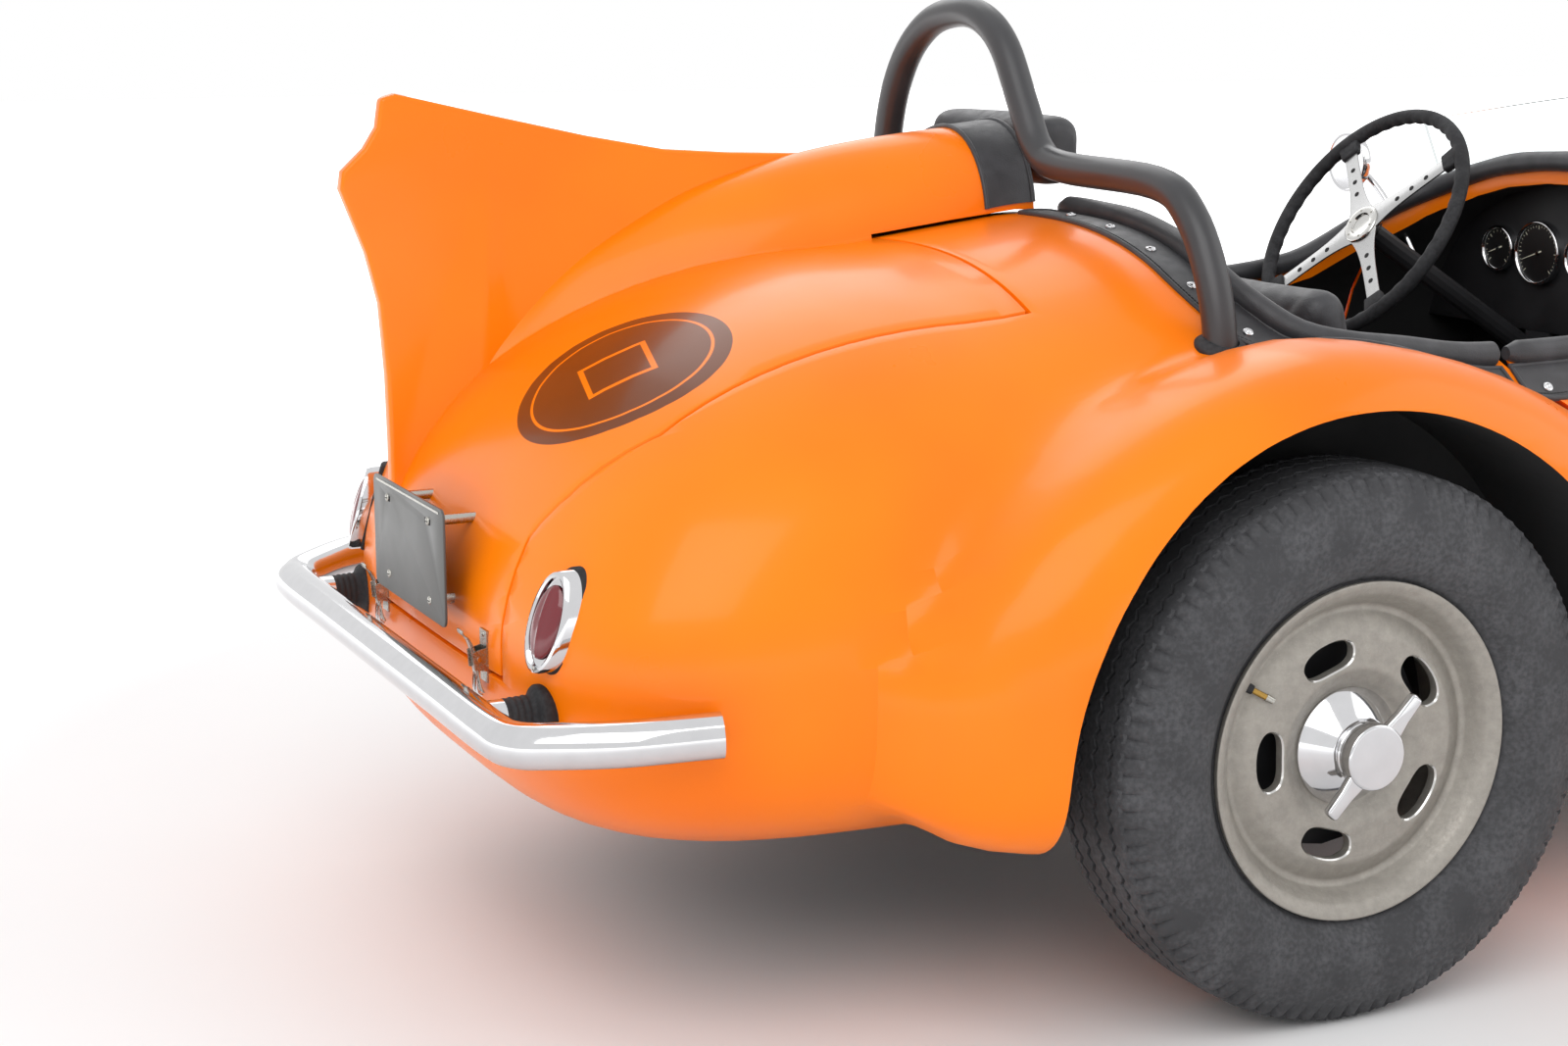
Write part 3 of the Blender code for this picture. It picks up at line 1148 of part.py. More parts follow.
def make_trim():
    """Padded rolls round the cockpit's edge and on the door tops."""
    half = COCKPIT_HALF_WIDTH
    stop = DOOR_OUTLINE[0][0] - PANEL_GAP
    front_stop = DOOR_FRONT_X + PAD_END_GAP + PANEL_GAP
    pad_side = FAIRING_Y - PAD_HALF_WIDTH - 0.012
    turns = [18 * k for k in range(6)]
    rear = corner_route(False, turns)
    front = corner_route(True, turns[::-1])
    before = stop - 0.104
    routes = {"coaming_right": [(COCKPIT_REAR_X, pad_side), (COCKPIT_REAR_X, -0.14)] + [(x, -y) for x, y in rear]
                               + [(before, -half), (stop, -half)],
              "coaming_left": [(COCKPIT_REAR_X + 0.012, half - 0.035)] + rear[2:] + [(before, half), (stop, half)],
              "coaming_front": [(front_stop, half)] + front[1:] + [(COCKPIT_FRONT_X, 0.0)]
                               + [(x, -y) for x, y in reversed(front[1:])] + [(front_stop, -half)]}
    for name, route in routes.items():
        trim_roll(name, route, outer_form("space", SEAT_GAP))
    low, high = DOOR_OUTLINE[0][0] + PAD_END_GAP, DOOR_FRONT_X - PAD_END_GAP
    for side, name in ((RIGHT, "door_pad_right"), (LEFT, "door_pad_left")):
        route = [(low + (high - low) * k / 6, side * half) for k in range(7)]
        trim_roll(name, route, shell_solid("space", -SEAT_GAP), door_pivot(side))


def make_steering():
    """Steering wheel with four spokes, and the column that carries it under the dash."""
    tilt = math.radians(COLUMN_TILT_DEG)
    toward = Vector((-math.cos(tilt), 0, math.sin(tilt)))
    up = Vector((math.sin(tilt), 0, math.cos(tilt)))
    centre = Vector(WHEEL_CENTRE)
    across = Vector((0, 1, 0))
    turns = [2 * math.pi * k / 20 for k in range(20)]
    rim = [centre + STEERING_WHEEL_RADIUS * (across * math.cos(a) + up * math.sin(a)) for a in turns]
    wheel = tube("rim", rim, STEERING_RIM_RADIUS, 6, closed=True)
    hub_ends = (centre - toward * HUB_DEPTH, centre + toward * HUB_DEPTH / 2)
    join(wheel, rod("hub", *hub_ends, STEERING_HUB_RADIUS, steps=16))
    for k in range(4):
        angle = math.radians(45 + 90 * k)
        out = across * math.cos(angle) + up * math.sin(angle)
        beside = toward.cross(out)
        points = []
        for distance, half in ((0.020, 0.016), (STEERING_WHEEL_RADIUS - 0.004, 0.012)):
            points.append([centre + out * distance + beside * half * s + toward * 0.0015 * t
                           for s, t in ((-1, -1), (1, -1), (1, 1), (-1, 1))])
        join(wheel, loft("spoke", points))
    finish(wheel, "steering_wheel", *STEEL, pivot=WHEEL_CENTRE)
    start = centre - toward * (HUB_DEPTH + SEAT_GAP)
    length = (FIREWALL_X - SEAT_GAP - COLUMN_RADIUS * math.sin(tilt) - start.x) / math.cos(tilt)
    column = rod("column", start, start - toward * length, COLUMN_RADIUS)
    low_z = start.z - (DASH_X + 0.01 - start.x) * math.tan(tilt)
    low_y, high_y = centre.y - 0.03, centre.y + 0.03
    join(column, box("bracket", (DASH_X, low_y, low_z), (DASH_X + DASH_THICKNESS, high_y, DASH_BOTTOM_Z - SEAT_GAP)))
    finish(column, "steering_column", *STEEL)


def make_dash_and_seats():
    dash = box("dash", (DASH_X, -1.0, DASH_BOTTOM_Z), (DASH_X + DASH_THICKNESS, 1.0, 1.2))
    keep(dash, cavity_solid("space", SEAT_GAP))
    for y, radius in GAUGES:
        join(dash, rod("gauge", (DASH_X - 0.014, y, GAUGE_Z), (DASH_X + 0.004, y, GAUGE_Z), radius, steps=16))
    finish(dash, "dashboard", *LEATHER)
    base = RAIL_TOP_Z + SEAT_GAP + FLOOR_THICKNESS + SEAT_GAP
    outline = [(SEAT_X + along, base + up) for along, up in SEAT_OUTLINE]
    for side, name in ((RIGHT, "seat_right"), (LEFT, "seat_left")):
        middle = side * SEAT_Y
        finish(prism("seat", outline, "Y", middle - SEAT_HALF_WIDTH, middle + SEAT_HALF_WIDTH), name, *LEATHER)


def screen_ring(share):
    """Section of the screen at a share of its half width."""
    x = SCREEN_X - SCREEN_BEND * (1 - rounded(share * 0.97, 2.0)) * 1.3
    top = SCREEN_SIDE_Z + (SCREEN_TOP_Z - SCREEN_SIDE_Z) * (1 - share * share)
    back = SCREEN_LEAN * (top - SCREEN_FOOT_Z)
    half = SCREEN_THICKNESS / 2
    corners = ((x + half, SCREEN_FOOT_Z), (x + half - back, top), (x - half - back, top),
               (x - half, SCREEN_FOOT_Z))
    return [(px, SCREEN_HALF_WIDTH * share, pz) for px, pz in corners]


def make_screen_and_mirror():
    """Curved screen standing on the cowl, and the driver's mirror."""
    screen = loft("screen", [screen_ring(-1 + k / 6) for k in range(13)])
    cut(screen, shell_solid("space", -SEAT_GAP))
    keep_largest(screen)
    finish(screen, "windscreen", (0.7, 0.8, 0.85), 0.05, 0.0, (0, 0, 0), 0.3)
    profile = [(-0.014, 0.0), (-0.014, 0.046), (-0.010, 0.052), (0.006, 0.048), (0.020, 0.025), (0.024, 0.0)]
    head = turned("head", profile, MIRROR_PLACE, axis="X", steps=16)
    stalk = [(0.010, 0.000, -0.005), (0.045, -0.150, -0.175)]
    foot = [(0.037, -0.116, -0.136), (0.044, -0.146, -0.171)]
    stalk_ends, foot_ends = ([Vector(MIRROR_PLACE) + Vector(p) for p in ends] for ends in (stalk, foot))
    join(head, rod("stalk", *stalk_ends, 0.006, steps=8), rod("foot", *foot_ends, 0.016, steps=10))
    cut(head, shell_solid("space", -SEAT_GAP))
    keep_largest(head)
    finish(head, "mirror", *CHROME)


def centre_length():
    """Move the whole car so that the middle of its length is X = 0."""
    bpy.context.view_layer.update()
    reach = [(obj.matrix_world @ vert.co).x for obj in bpy.data.objects for vert in obj.data.vertices]
    middle = (min(reach) + max(reach)) / 2
    for obj in bpy.data.objects:
        obj.location.x -= middle
    bpy.context.view_layer.update()


def main():
    for obj in list(bpy.data.objects):
        bpy.data.objects.remove(obj)
    make_panels()
    for end, x in (("rear", 0.0), ("front", WHEELBASE)):
        for side, word in ((RIGHT, "right"), (LEFT, "left")):
            make_wheel(end + "_" + word, x, side)
    make_frame()
    make_rear_axle()
    make_front_axle()
    make_knuckle("knuckle_right", RIGHT)
    make_knuckle("knuckle_left", LEFT)
    make_track_rod()
    make_engine_and_exhaust()
    make_floor()
    make_fender("front_wing_right", RIGHT)
    make_fender("front_wing_left", LEFT)
    make_headlamp("headlamp_right", RIGHT)
    make_headlamp("headlamp_left", LEFT)
    make_grille()
    make_hoop()
    make_bumper()
    make_tail_lamp("tail_lamp_right", RIGHT)
    make_tail_lamp("tail_lamp_left", LEFT)
    make_plate_and_latches()
    make_trim()
    make_steering()
    make_dash_and_seats()
    make_screen_and_mirror()
    centre_length()


main()
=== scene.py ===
"""Finish of an open two-seat roadster: panels, wheels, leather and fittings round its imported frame.

Shapes are worked out in the car's own frame, metres, +X forward, +Y to its left, +Z up, with X = 0 on
the rear axle, and are moved by SHIFT into the frame that is loaded.
"""

import math

import bmesh
import bpy
from bpy.props import FloatProperty, FloatVectorProperty, IntProperty, PointerProperty
from mathutils import Matrix, Vector


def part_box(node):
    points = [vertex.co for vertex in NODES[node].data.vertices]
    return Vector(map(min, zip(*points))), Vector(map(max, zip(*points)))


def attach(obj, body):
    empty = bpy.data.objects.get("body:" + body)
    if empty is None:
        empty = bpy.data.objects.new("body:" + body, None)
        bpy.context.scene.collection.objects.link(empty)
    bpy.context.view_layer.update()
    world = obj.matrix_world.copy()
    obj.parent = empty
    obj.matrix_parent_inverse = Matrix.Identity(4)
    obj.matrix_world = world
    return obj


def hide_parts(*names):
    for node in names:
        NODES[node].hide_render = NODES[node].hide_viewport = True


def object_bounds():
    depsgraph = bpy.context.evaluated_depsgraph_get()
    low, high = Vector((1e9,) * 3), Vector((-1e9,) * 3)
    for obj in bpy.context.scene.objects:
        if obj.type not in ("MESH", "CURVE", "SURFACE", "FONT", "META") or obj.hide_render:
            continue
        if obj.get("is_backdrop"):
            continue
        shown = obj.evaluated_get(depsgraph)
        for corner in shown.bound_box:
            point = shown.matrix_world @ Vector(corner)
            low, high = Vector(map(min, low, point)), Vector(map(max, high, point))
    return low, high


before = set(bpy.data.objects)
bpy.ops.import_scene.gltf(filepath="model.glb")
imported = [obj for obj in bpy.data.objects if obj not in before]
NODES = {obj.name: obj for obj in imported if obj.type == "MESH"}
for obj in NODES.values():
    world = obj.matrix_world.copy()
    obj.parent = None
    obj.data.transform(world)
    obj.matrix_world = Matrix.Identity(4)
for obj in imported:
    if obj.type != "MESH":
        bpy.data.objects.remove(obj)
cad_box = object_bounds()

bl_info = {
    "name": "Open Roadster Finish",
    "version": (1, 0, 0),
    "blender": (4, 5, 0),
    "location": "View3D > Sidebar > Roadster",
    "description": "Builds the panels, wheels, leather and fittings of an open roadster",
    "category": "Object",
}


def middle_of(node):
    low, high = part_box(node)
    return (low + high) / 2


SHIFT = middle_of("tyre_rear_left").x
WHEELBASE = middle_of("tyre_front_left").x - SHIFT
HALF_TRACK = 0.665
TYRE_RADIUS = 0.352
TYRE_HALF_WIDTH = 0.095
RIM_SEAT_RADIUS = 0.2032
RIM_FLANGE_RADIUS = 0.2155
RIM_HALF_WIDTH = 0.077
HUB_FACE_Y = 0.040
HUB_RADIUS = 0.060
HUB_SEAT_RADIUS = 0.078
DISC_Y = 0.056
DISC_THICKNESS = 0.014
GROOVE_RADIUS = 0.177
SLOT_COUNT = 5
SLOT_PITCH_RADIUS = 0.1245
SLOT_HALF_LENGTH = 0.037
SLOT_HALF_WIDTH = 0.0185
SLOT_PHASE = 0.522
CAP_REACH = 0.104
EAR_TILT_DEG = 48.0

TAIL_X = -0.955
TAIL_START_X = -0.35
COWL_FRONT_X = 1.270
NOSE_X = WHEELBASE + 0.500
NOSE_START_X = WHEELBASE - 0.085
BONNET_SPAN = NOSE_START_X - COWL_FRONT_X
WALL = 0.025
DECK_LINE = [(TAIL_X, 0.915), (TAIL_START_X, 0.918), (-0.18, 0.940), (0.0, 0.957), (0.22, 0.915),
             (0.42, 0.880), (0.74, 0.882), (0.94, 0.972), (1.06, 0.990), (COWL_FRONT_X, 0.968),
             (COWL_FRONT_X + 0.5 * BONNET_SPAN, 0.914), (NOSE_START_X, 0.850), (NOSE_X, 0.800)]
SIDE_LINE = [(TAIL_X, 0.600), (TAIL_START_X, 0.600), (0.0, 0.585), (0.42, 0.600), (0.95, 0.610),
             (COWL_FRONT_X, 0.560), (COWL_FRONT_X + 0.32 * BONNET_SPAN, 0.470),
             (COWL_FRONT_X + 0.66 * BONNET_SPAN, 0.400), (NOSE_START_X, 0.365), (NOSE_X, 0.330)]
BELLY_LINE = [(TAIL_X, 0.205), (TAIL_START_X, 0.205), (0.10, 0.205), (COWL_FRONT_X, 0.210),
              (NOSE_START_X, 0.240), (NOSE_X, 0.290)]
WAIST_LINE = [(TAIL_X, 0.470), (0.0, 0.450), (COWL_FRONT_X, 0.450), (NOSE_START_X, 0.500), (NOSE_X, 0.530)]
TOP_ROUNDNESS = [(TAIL_X, 2.4), (-0.10, 2.4), (0.42, 2.9), (1.05, 3.3),
                 (COWL_FRONT_X + 0.375 * BONNET_SPAN, 2.8), (NOSE_X, 2.4)]
BELLY_ROUNDNESS = 3.2
TAIL_PLAN_ROUNDNESS = 4.5
TAIL_PROFILE_ROUNDNESS = 2.0
NOSE_PLAN_ROUNDNESS = 2.3
NOSE_PROFILE_ROUNDNESS = 2.6
END_RINGS = 22

WING_CENTRE_Y = HALF_TRACK - 0.065
WING_CENTRE_Z = 0.430
WING_HALF_WIDTH = 0.195
WING_HEIGHT = 0.415
WING_FRONT_REACH = 0.620
WING_REAR_REACH = 0.575
WING_BOTTOM_Z = 0.245
ARCH_RADIUS = 0.400
WELL_INNER_Y = HALF_TRACK - TYRE_HALF_WIDTH - 0.030
WELL_RADIUS = 0.425
WELL_SKIN = 0.018
ARCH_LIP_DEPTH = 0.020
AXLE_SLOT_HALF = 0.062
STEERING_SLOT_LENGTH = 0.200
STEERING_SLOT_TOP_Z = 0.450

COCKPIT_REAR_X = 0.030
COCKPIT_FRONT_X = 1.050
COCKPIT_HALF_WIDTH = 0.480
COCKPIT_CORNER = 0.150
DOOR_FRONT_X = 0.930
DOOR_OUTLINE = [(0.400, 1.10), (0.400, 0.800), (0.430, 0.755), (0.520, 0.690), (0.610, 0.600), (0.650, 0.500),
                (0.665, 0.365)]
DOOR_BOTTOM_Z = 0.365
DOOR_TOP_Z = 1.10
PANEL_GAP = 0.006
DOOR_SWING_SHARE = 1.35
TAIL_SPLIT_X = 0.700
BONNET_FRONT_X = WHEELBASE + 0.045
BONNET_REAR_HALF_WIDTH = 0.370
BONNET_FRONT_HALF_WIDTH = 0.245
LID_FRONT_X = -0.260
LID_HALF_WIDTH = 0.345
LID_FOOT_HALF_WIDTH = 0.265
LID_FOOT_Z = 0.442
LID_TURN_X = -0.870
BELLY_OPENING_Z = 0.300
BELLY_OPENING_HALF_WIDTH = 0.415
BELLY_OPENING_REAR_X = -0.780
BELLY_OPENING_FRONT_X = WHEELBASE + 0.225

FAIRING_Y = 0.240
FAIRING_FRONT_X = -0.010
FAIRING_REAR_X = -0.820
FAIRING_HALF_WIDTH = 0.174
FAIRING_RIDGE = [(-0.820, 0.745), (-0.779, 0.788), (-0.672, 0.887), (-0.547, 0.962), (-0.456, 1.001),
                 (-0.269, 1.047), (-0.010, 1.075)]
FIN_OUTLINE = [(-0.300, 1.040), (-0.420, 1.044), (-0.520, 1.051), (-0.640, 1.073), (-0.780, 1.104),
               (-0.915, 1.135), (-0.936, 1.129), (-0.942, 1.090), (-0.960, 1.062), (-0.992, 1.032),
               (-0.996, 1.008), (-0.962, 0.920), (-0.945, 0.850), (-0.938, 0.750), (-0.936, 0.650),
               (-0.936, 0.560), (-0.925, 0.560), (-0.860, 0.680), (-0.760, 0.780), (-0.640, 0.870),
               (-0.450, 0.960), (-0.300, 1.010)]
FIN_THICKNESS = 0.024
PAD_FRONT_X = 0.085
PAD_BOTTOM_Z = 0.986
PAD_TOP_Z = 1.100
PAD_HALF_WIDTH = 0.180

HOOP_X = -0.035
HOOP_RADIUS = 0.0225
HOOP_PATH = [(-0.459, 0.700), (-0.459, 0.809), (-0.436, 0.901), (-0.380, 0.985), (-0.297, 1.022),
             (-0.060, 1.029),
             (0.010, 1.050), (0.055, 1.110), (0.110, 1.190), (0.170, 1.230), (0.244, 1.242), (0.340, 1.225),
             (0.420, 1.170), (0.470, 1.080), (0.487, 0.950), (0.487, 0.700)]
BUMPER_RADIUS = 0.0275
BUMPER_X = -1.020
BUMPER_Z = 0.420
BUMPER_BEND_Y = 0.465
BUMPER_END = (-0.800, 0.600, 0.435)
STUB_Y = 0.375
STUB_RADIUS = 0.020
LAMP_Y = 0.396
LAMP_Z = 0.537
LAMP_HALF_WIDTH = 0.031
LAMP_HALF_HEIGHT = 0.061
LAMP_REAR_X = -0.946
LAMP_SWEEP = 0.36
LAMP_LEAN = 0.28
PLATE_X = -0.985
PLATE_Z = 0.556
PLATE_HALF_WIDTH = 0.1525
PLATE_HALF_HEIGHT = 0.0762
STANDOFF_Y = 0.089
STANDOFF_Z = 0.052
LATCH_Y = 0.213
LATCH_BOTTOM_Z = 0.408
LATCH_TOP_Z = 0.494
ROLL_RADIUS = 0.017
PAD_END_GAP = 0.011
WHEEL_CENTRE = (0.730, 0.259, 0.896)
STEERING_WHEEL_RADIUS = 0.205
STEERING_RIM_RADIUS = 0.011
COLUMN_TILT_DEG = 32.0
DASH_X = 1.110
SEAT_Y = 0.245
SEAT_HALF_WIDTH = 0.180
SCREEN_X = 1.290
SCREEN_BEND = 0.200
SCREEN_HALF_WIDTH = 0.460
SCREEN_TOP_Z = 1.115
SCREEN_SIDE_Z = 1.055
SCREEN_THICKNESS = 0.006
HEADLAMP_X = WHEELBASE + 0.265
HEADLAMP_Y = 0.300
HEADLAMP_Z = 0.610
HEADLAMP_RADIUS = 0.088
MOUTH_Z = 0.530
MOUTH_HALF_WIDTH = 0.150
MOUTH_HALF_HEIGHT = 0.190
GRILLE_X = WHEELBASE + 0.420
SEAT_GAP = 0.0003

CAMERA_PLACE = (-1.963, -3.254, 1.264)
CAMERA_VIEW = (0.4154, 0.8881, -0.1968)
CAMERA_LENS = 60.19

ROUNDEL_CENTRE = (-0.741, -0.147, 0.788)
ROUNDEL_LONG = (-0.358, 0.924, -0.134)
ROUNDEL_SHORT = (0.768, 0.373, 0.521)

SIDES = ((-1, "right"), (1, "left"))
MATERIALS = {}


def linear(text):
    """Linear colour from an sRGB hex value."""
    parts = [int(text[k:k + 2], 16) / 255 for k in (1, 3, 5)]
    return tuple(v / 12.92 if v <= 0.04045 else ((v + 0.055) / 1.055) ** 2.4 for v in parts)


def colour_property(name, text, description):
    return FloatVectorProperty(name=name, description=description, default=linear(text), subtype="COLOR",
                               size=3, min=0.0, max=1.0)


class RoadsterColours(bpy.types.PropertyGroup):
    paint: colour_property("Paint", "#FF8000", "Orange enamel of the body")
    paint_deep: colour_property("Deep paint", "#F87600", "Orange where the coat lies thicker")
    roundel: colour_property("Roundel", "#6B3306", "Brown oval on the boot lid")
    leather: colour_property("Leather", "#2B2B2E", "Black leather of the cockpit")
    rubber: colour_property("Rubber", "#3B3B3D", "Tyre rubber")
    alloy: colour_property("Cast alloy", "#A39E96", "Cast wheels")
    tube: colour_property("Hoop enamel", "#303032", "Satin black tube")
    lens: colour_property("Lens", "#7A0A1C", "Red lamp lens")
    plate: colour_property("Plate", "#4A4A48", "Blank number plate")
    chassis: colour_property("Chassis", "#242426", "Brushed black chassis paint")


class RoadsterSizes(bpy.types.PropertyGroup):
    ring_pitch: FloatProperty(name="Ring pitch", description="Distance between the body's rings",
                              default=0.055,
                              min=0.02, unit="LENGTH", subtype="DISTANCE")
    ring_steps: IntProperty(name="Ring steps", description="Points in each of the body's rings", default=216,
                            min=32)
    flow: FloatProperty(name="Wing flow", description="Width over which a rear wing flows into the body",
                        default=0.050, min=0.001, unit="LENGTH", subtype="DISTANCE")
    edge: FloatProperty(name="Edge radius", description="Radius on the panels' cut edges", default=0.0014,
                        min=0.0, unit="LENGTH", subtype="DISTANCE")
    groove: FloatProperty(name="Groove depth", description="Depth of the tyres' tread grooves", default=0.006,
                          min=0.0, unit="LENGTH", subtype="DISTANCE")
    tread_waves: IntProperty(name="Tread waves", description="Waves of a groove round a tyre", default=96,
                             min=12)
    serrations: IntProperty(name="Serrations", description="Notches round each tyre's shoulder", default=96,
                            min=12)
    stitch: FloatProperty(name="Stitch pitch", description="Distance between stitches", default=0.006,
                          min=0.002, unit="LENGTH", subtype="DISTANCE")
    piping: FloatProperty(name="Piping radius", description="Radius of the leather piping", default=0.0036,
                          min=0.001, unit="LENGTH", subtype="DISTANCE")


def sizes():
    return bpy.context.scene.roadster_sizes


def colours():
    return bpy.context.scene.roadster_colours


def line_at(points, x):
    """Smooth value at x through a list of (x, value) points."""
    if x <= points[0][0]:
        return points[0][1]
    if x >= points[-1][0]:
        return points[-1][1]
    last = len(points) - 1
    i = next(k for k in range(last) if x <= points[k + 1][0])

    def slope(k):
        low, high = max(k - 1, 0), min(k + 1, last)
        return (points[high][1] - points[low][1]) / (points[high][0] - points[low][0])

    (x0, v0), (x1, v1) = points[i], points[i + 1]
    span = x1 - x0
    t = (x - x0) / span
    return (v0 * (1 + 2 * t) * (1 - t) ** 2 + slope(i) * span * t * (1 - t) ** 2
            + v1 * t * t * (3 - 2 * t) - slope(i + 1) * span * t * t * (1 - t))


def rounded(t, power):
    """Height of a superellipse of unit size at t from its middle."""
    return max(0.0, 1 - min(1.0, abs(t)) ** power) ** (1 / power)


def power_point(angle, power):
    c, s = math.cos(angle), math.sin(angle)
    return math.copysign(abs(c) ** (2 / power), c), math.copysign(abs(s) ** (2 / power), s)


def shell_shape(x, inset):
    """Half width, waist, height over the waist, depth under it, and the top's roundness."""
    tail = max(0.0, (TAIL_START_X - x) / (TAIL_START_X - TAIL_X - inset))
    nose = max(0.0, (x - NOSE_START_X) / (NOSE_X - inset - NOSE_START_X))
    plan = rounded(tail, TAIL_PLAN_ROUNDNESS) * rounded(nose, NOSE_PLAN_ROUNDNESS)
    profile = rounded(tail, TAIL_PROFILE_ROUNDNESS) * rounded(nose, NOSE_PROFILE_ROUNDNESS)
    under = rounded(tail, TAIL_PLAN_ROUNDNESS) * rounded(nose, NOSE_PROFILE_ROUNDNESS)
    waist = line_at(WAIST_LINE, x)
    half = (line_at(SIDE_LINE, x) - inset) * plan
    height = (line_at(DECK_LINE, x) - waist - inset) * profile
    depth = (waist - line_at(BELLY_LINE, x) - inset) * under
    return half, waist, height, depth, line_at(TOP_ROUNDNESS, x)


def deck_z(x, y, lift=0.0):
    """Height of the shell's upper face."""
    half, waist, height, _depth, power = shell_shape(x, 0.0)
    return waist + height * rounded(y / half, power) + lift


def side_y(x, z):
    """Half width of the shell at a height."""
    half, waist, height, depth, power = shell_shape(x, 0.0)
    if z > waist:
        return half * rounded((z - waist) / height, power)
    return half * rounded((waist - z) / depth, BELLY_ROUNDNESS)


def wing_shape(x):
    """Half width, height and depth of a rear wing at a station, or None past its ends."""
    front = x > 0
    share = abs(x) / (WING_FRONT_REACH if front else WING_REAR_REACH)
    if share >= 0.999:
        return None
    rise = rounded(share, 1.8 if front else 1.65)
    return (WING_HALF_WIDTH * rounded(share, 2.6), WING_HEIGHT * rise,
            (WING_CENTRE_Z - WING_BOTTOM_Z) * rounded(share, 5.0))


def mesh_object(name, bm, material=None):
    mesh = bpy.data.meshes.new(name)
    bm.to_mesh(mesh)
    bm.free()
    obj = bpy.data.objects.new(name, mesh)
    bpy.context.scene.collection.objects.link(obj)
    if material:
        mesh.materials.append(MATERIALS[material])
    return obj


def loft(name, rings, closed=False, material=None, caps=True):
    """Skin over rings that have the same number of points."""
    bm = bmesh.new()
    loops = []
    for ring in rings:
        verts = [bm.verts.new(point) for point in ring]
        edges = [bm.edges.new((verts[i - 1], verts[i])) for i in range(len(verts))]
        loops.append((verts, edges))
    for (_, first), (_, second) in zip(loops, loops[1:]):
        bmesh.ops.bridge_loops(bm, edges=first + second)
    if closed:
        bmesh.ops.bridge_loops(bm, edges=loops[-1][1] + loops[0][1])
    elif caps:
        bm.faces.new(loops[0][0])
        bm.faces.new(loops[-1][0])
    bmesh.ops.recalc_face_normals(bm, faces=bm.faces)
    return mesh_object(name, bm, material)


def box(name, low, high, material=None):
    bm = bmesh.new()
    size = [h - l for l, h in zip(low, high)]
    middle = [(h + l) / 2 for l, h in zip(low, high)]
    bmesh.ops.create_cube(bm, size=1.0, matrix=Matrix.Translation(middle) @ Matrix.Diagonal((*size, 1)))
    return mesh_object(name, bm, material)


def prism(name, outline, axis, low, high, material=None):
    """Outline in the two other axes, in order, pushed out along an axis."""
    def point(pair, level):
        values = list(pair)
        values.insert("XYZ".index(axis), level)
        return values
    return loft(name, [[point(p, low) for p in outline], [point(p, high) for p in outline]],
                material=material)


def rod(name, start, end, radius, end_radius=None, steps=32, material=None):
    """Round bar between two points."""
    start, end = Vector(start), Vector(end)
    bm = bmesh.new()
    turn = (end - start).to_track_quat("Z", "Y").to_matrix().to_4x4()
    bmesh.ops.create_cone(bm, cap_ends=True, segments=steps, radius1=radius,
                          radius2=radius if end_radius is None else end_radius, depth=(end - start).length,
                          matrix=Matrix.Translation((start + end) / 2) @ turn)
    return mesh_object(name, bm, material)


def smooth_route(points, per_leg=6, closed=False):
    """Points of a smooth curve through given ones."""
    points = [Vector(p) for p in points]
    count = len(points)
    legs = count if closed else count - 1
    route = []
    for i in range(legs):
        if closed:
            a, b, c, d = (points[(i + k) % count] for k in (-1, 0, 1, 2))
        else:
            b, c = points[i], points[i + 1]
            a = points[i - 1] if i > 0 else b * 2 - c
            d = points[i + 2] if i + 2 < count else c * 2 - b
        for k in range(per_leg):
            t = k / per_leg
            route.append(0.5 * ((2 * b) + (c - a) * t + (2 * a - 5 * b + 4 * c - d) * t ** 2
                                + (3 * b - a - 3 * c + d) * t ** 3))
    if not closed:
        route.append(points[-1])
    return route


def tube(name, path, radius, steps=24, closed=False, material=None):
    """Round tube along points; the radius may be a function of the share of the way."""
    points = [Vector(p) for p in path]
    count = len(points)
    rings = []
    side = None
    for i, point in enumerate(points):
        before = points[i - 1] if closed or i > 0 else point
        after = points[(i + 1) % count] if closed or i < count - 1 else point
        along = (after - before).normalized()
        if side is None:
            side = along.orthogonal().normalized()
        side = (side - along * side.dot(along)).normalized()
        other = along.cross(side)
        size = radius(i / (count - 1)) if callable(radius) else radius
        rings.append([point + size * (side * math.cos(a) + other * math.sin(a))
                      for a in (2 * math.pi * k / steps for k in range(steps))])
    return loft(name, rings, closed, material)


def turned(name, profile, centre, axis="Y", steps=96, outward=1, material=None):
    """Solid turned from a profile of (distance along the axis, radius)."""
    cx, cy, cz = centre
    bm = bmesh.new()
    if axis == "Y":
        points = [(cx, cy + outward * along, cz - radius) for along, radius in profile]
        direction = (0, 1, 0)
    else:
        points = [(cx + outward * along, cy, cz - radius) for along, radius in profile]
        direction = (1, 0, 0)
    verts = [bm.verts.new(p) for p in points]
    shut = profile[0][1] > 0.0
    start = 0 if shut else 1
    edges = [bm.edges.new((verts[i - 1], verts[i])) for i in range(start, len(verts))]
    bmesh.ops.spin(bm, geom=verts + edges, cent=centre, axis=direction, angle=2 * math.pi, steps=steps,
                   use_merge=True)
    bmesh.ops.remove_doubles(bm, verts=bm.verts, dist=1e-6)
    bmesh.ops.delete(bm, geom=[e for e in bm.edges if not e.link_faces], context="EDGES")
    bmesh.ops.recalc_face_normals(bm, faces=bm.faces)
    return mesh_object(name, bm, material)


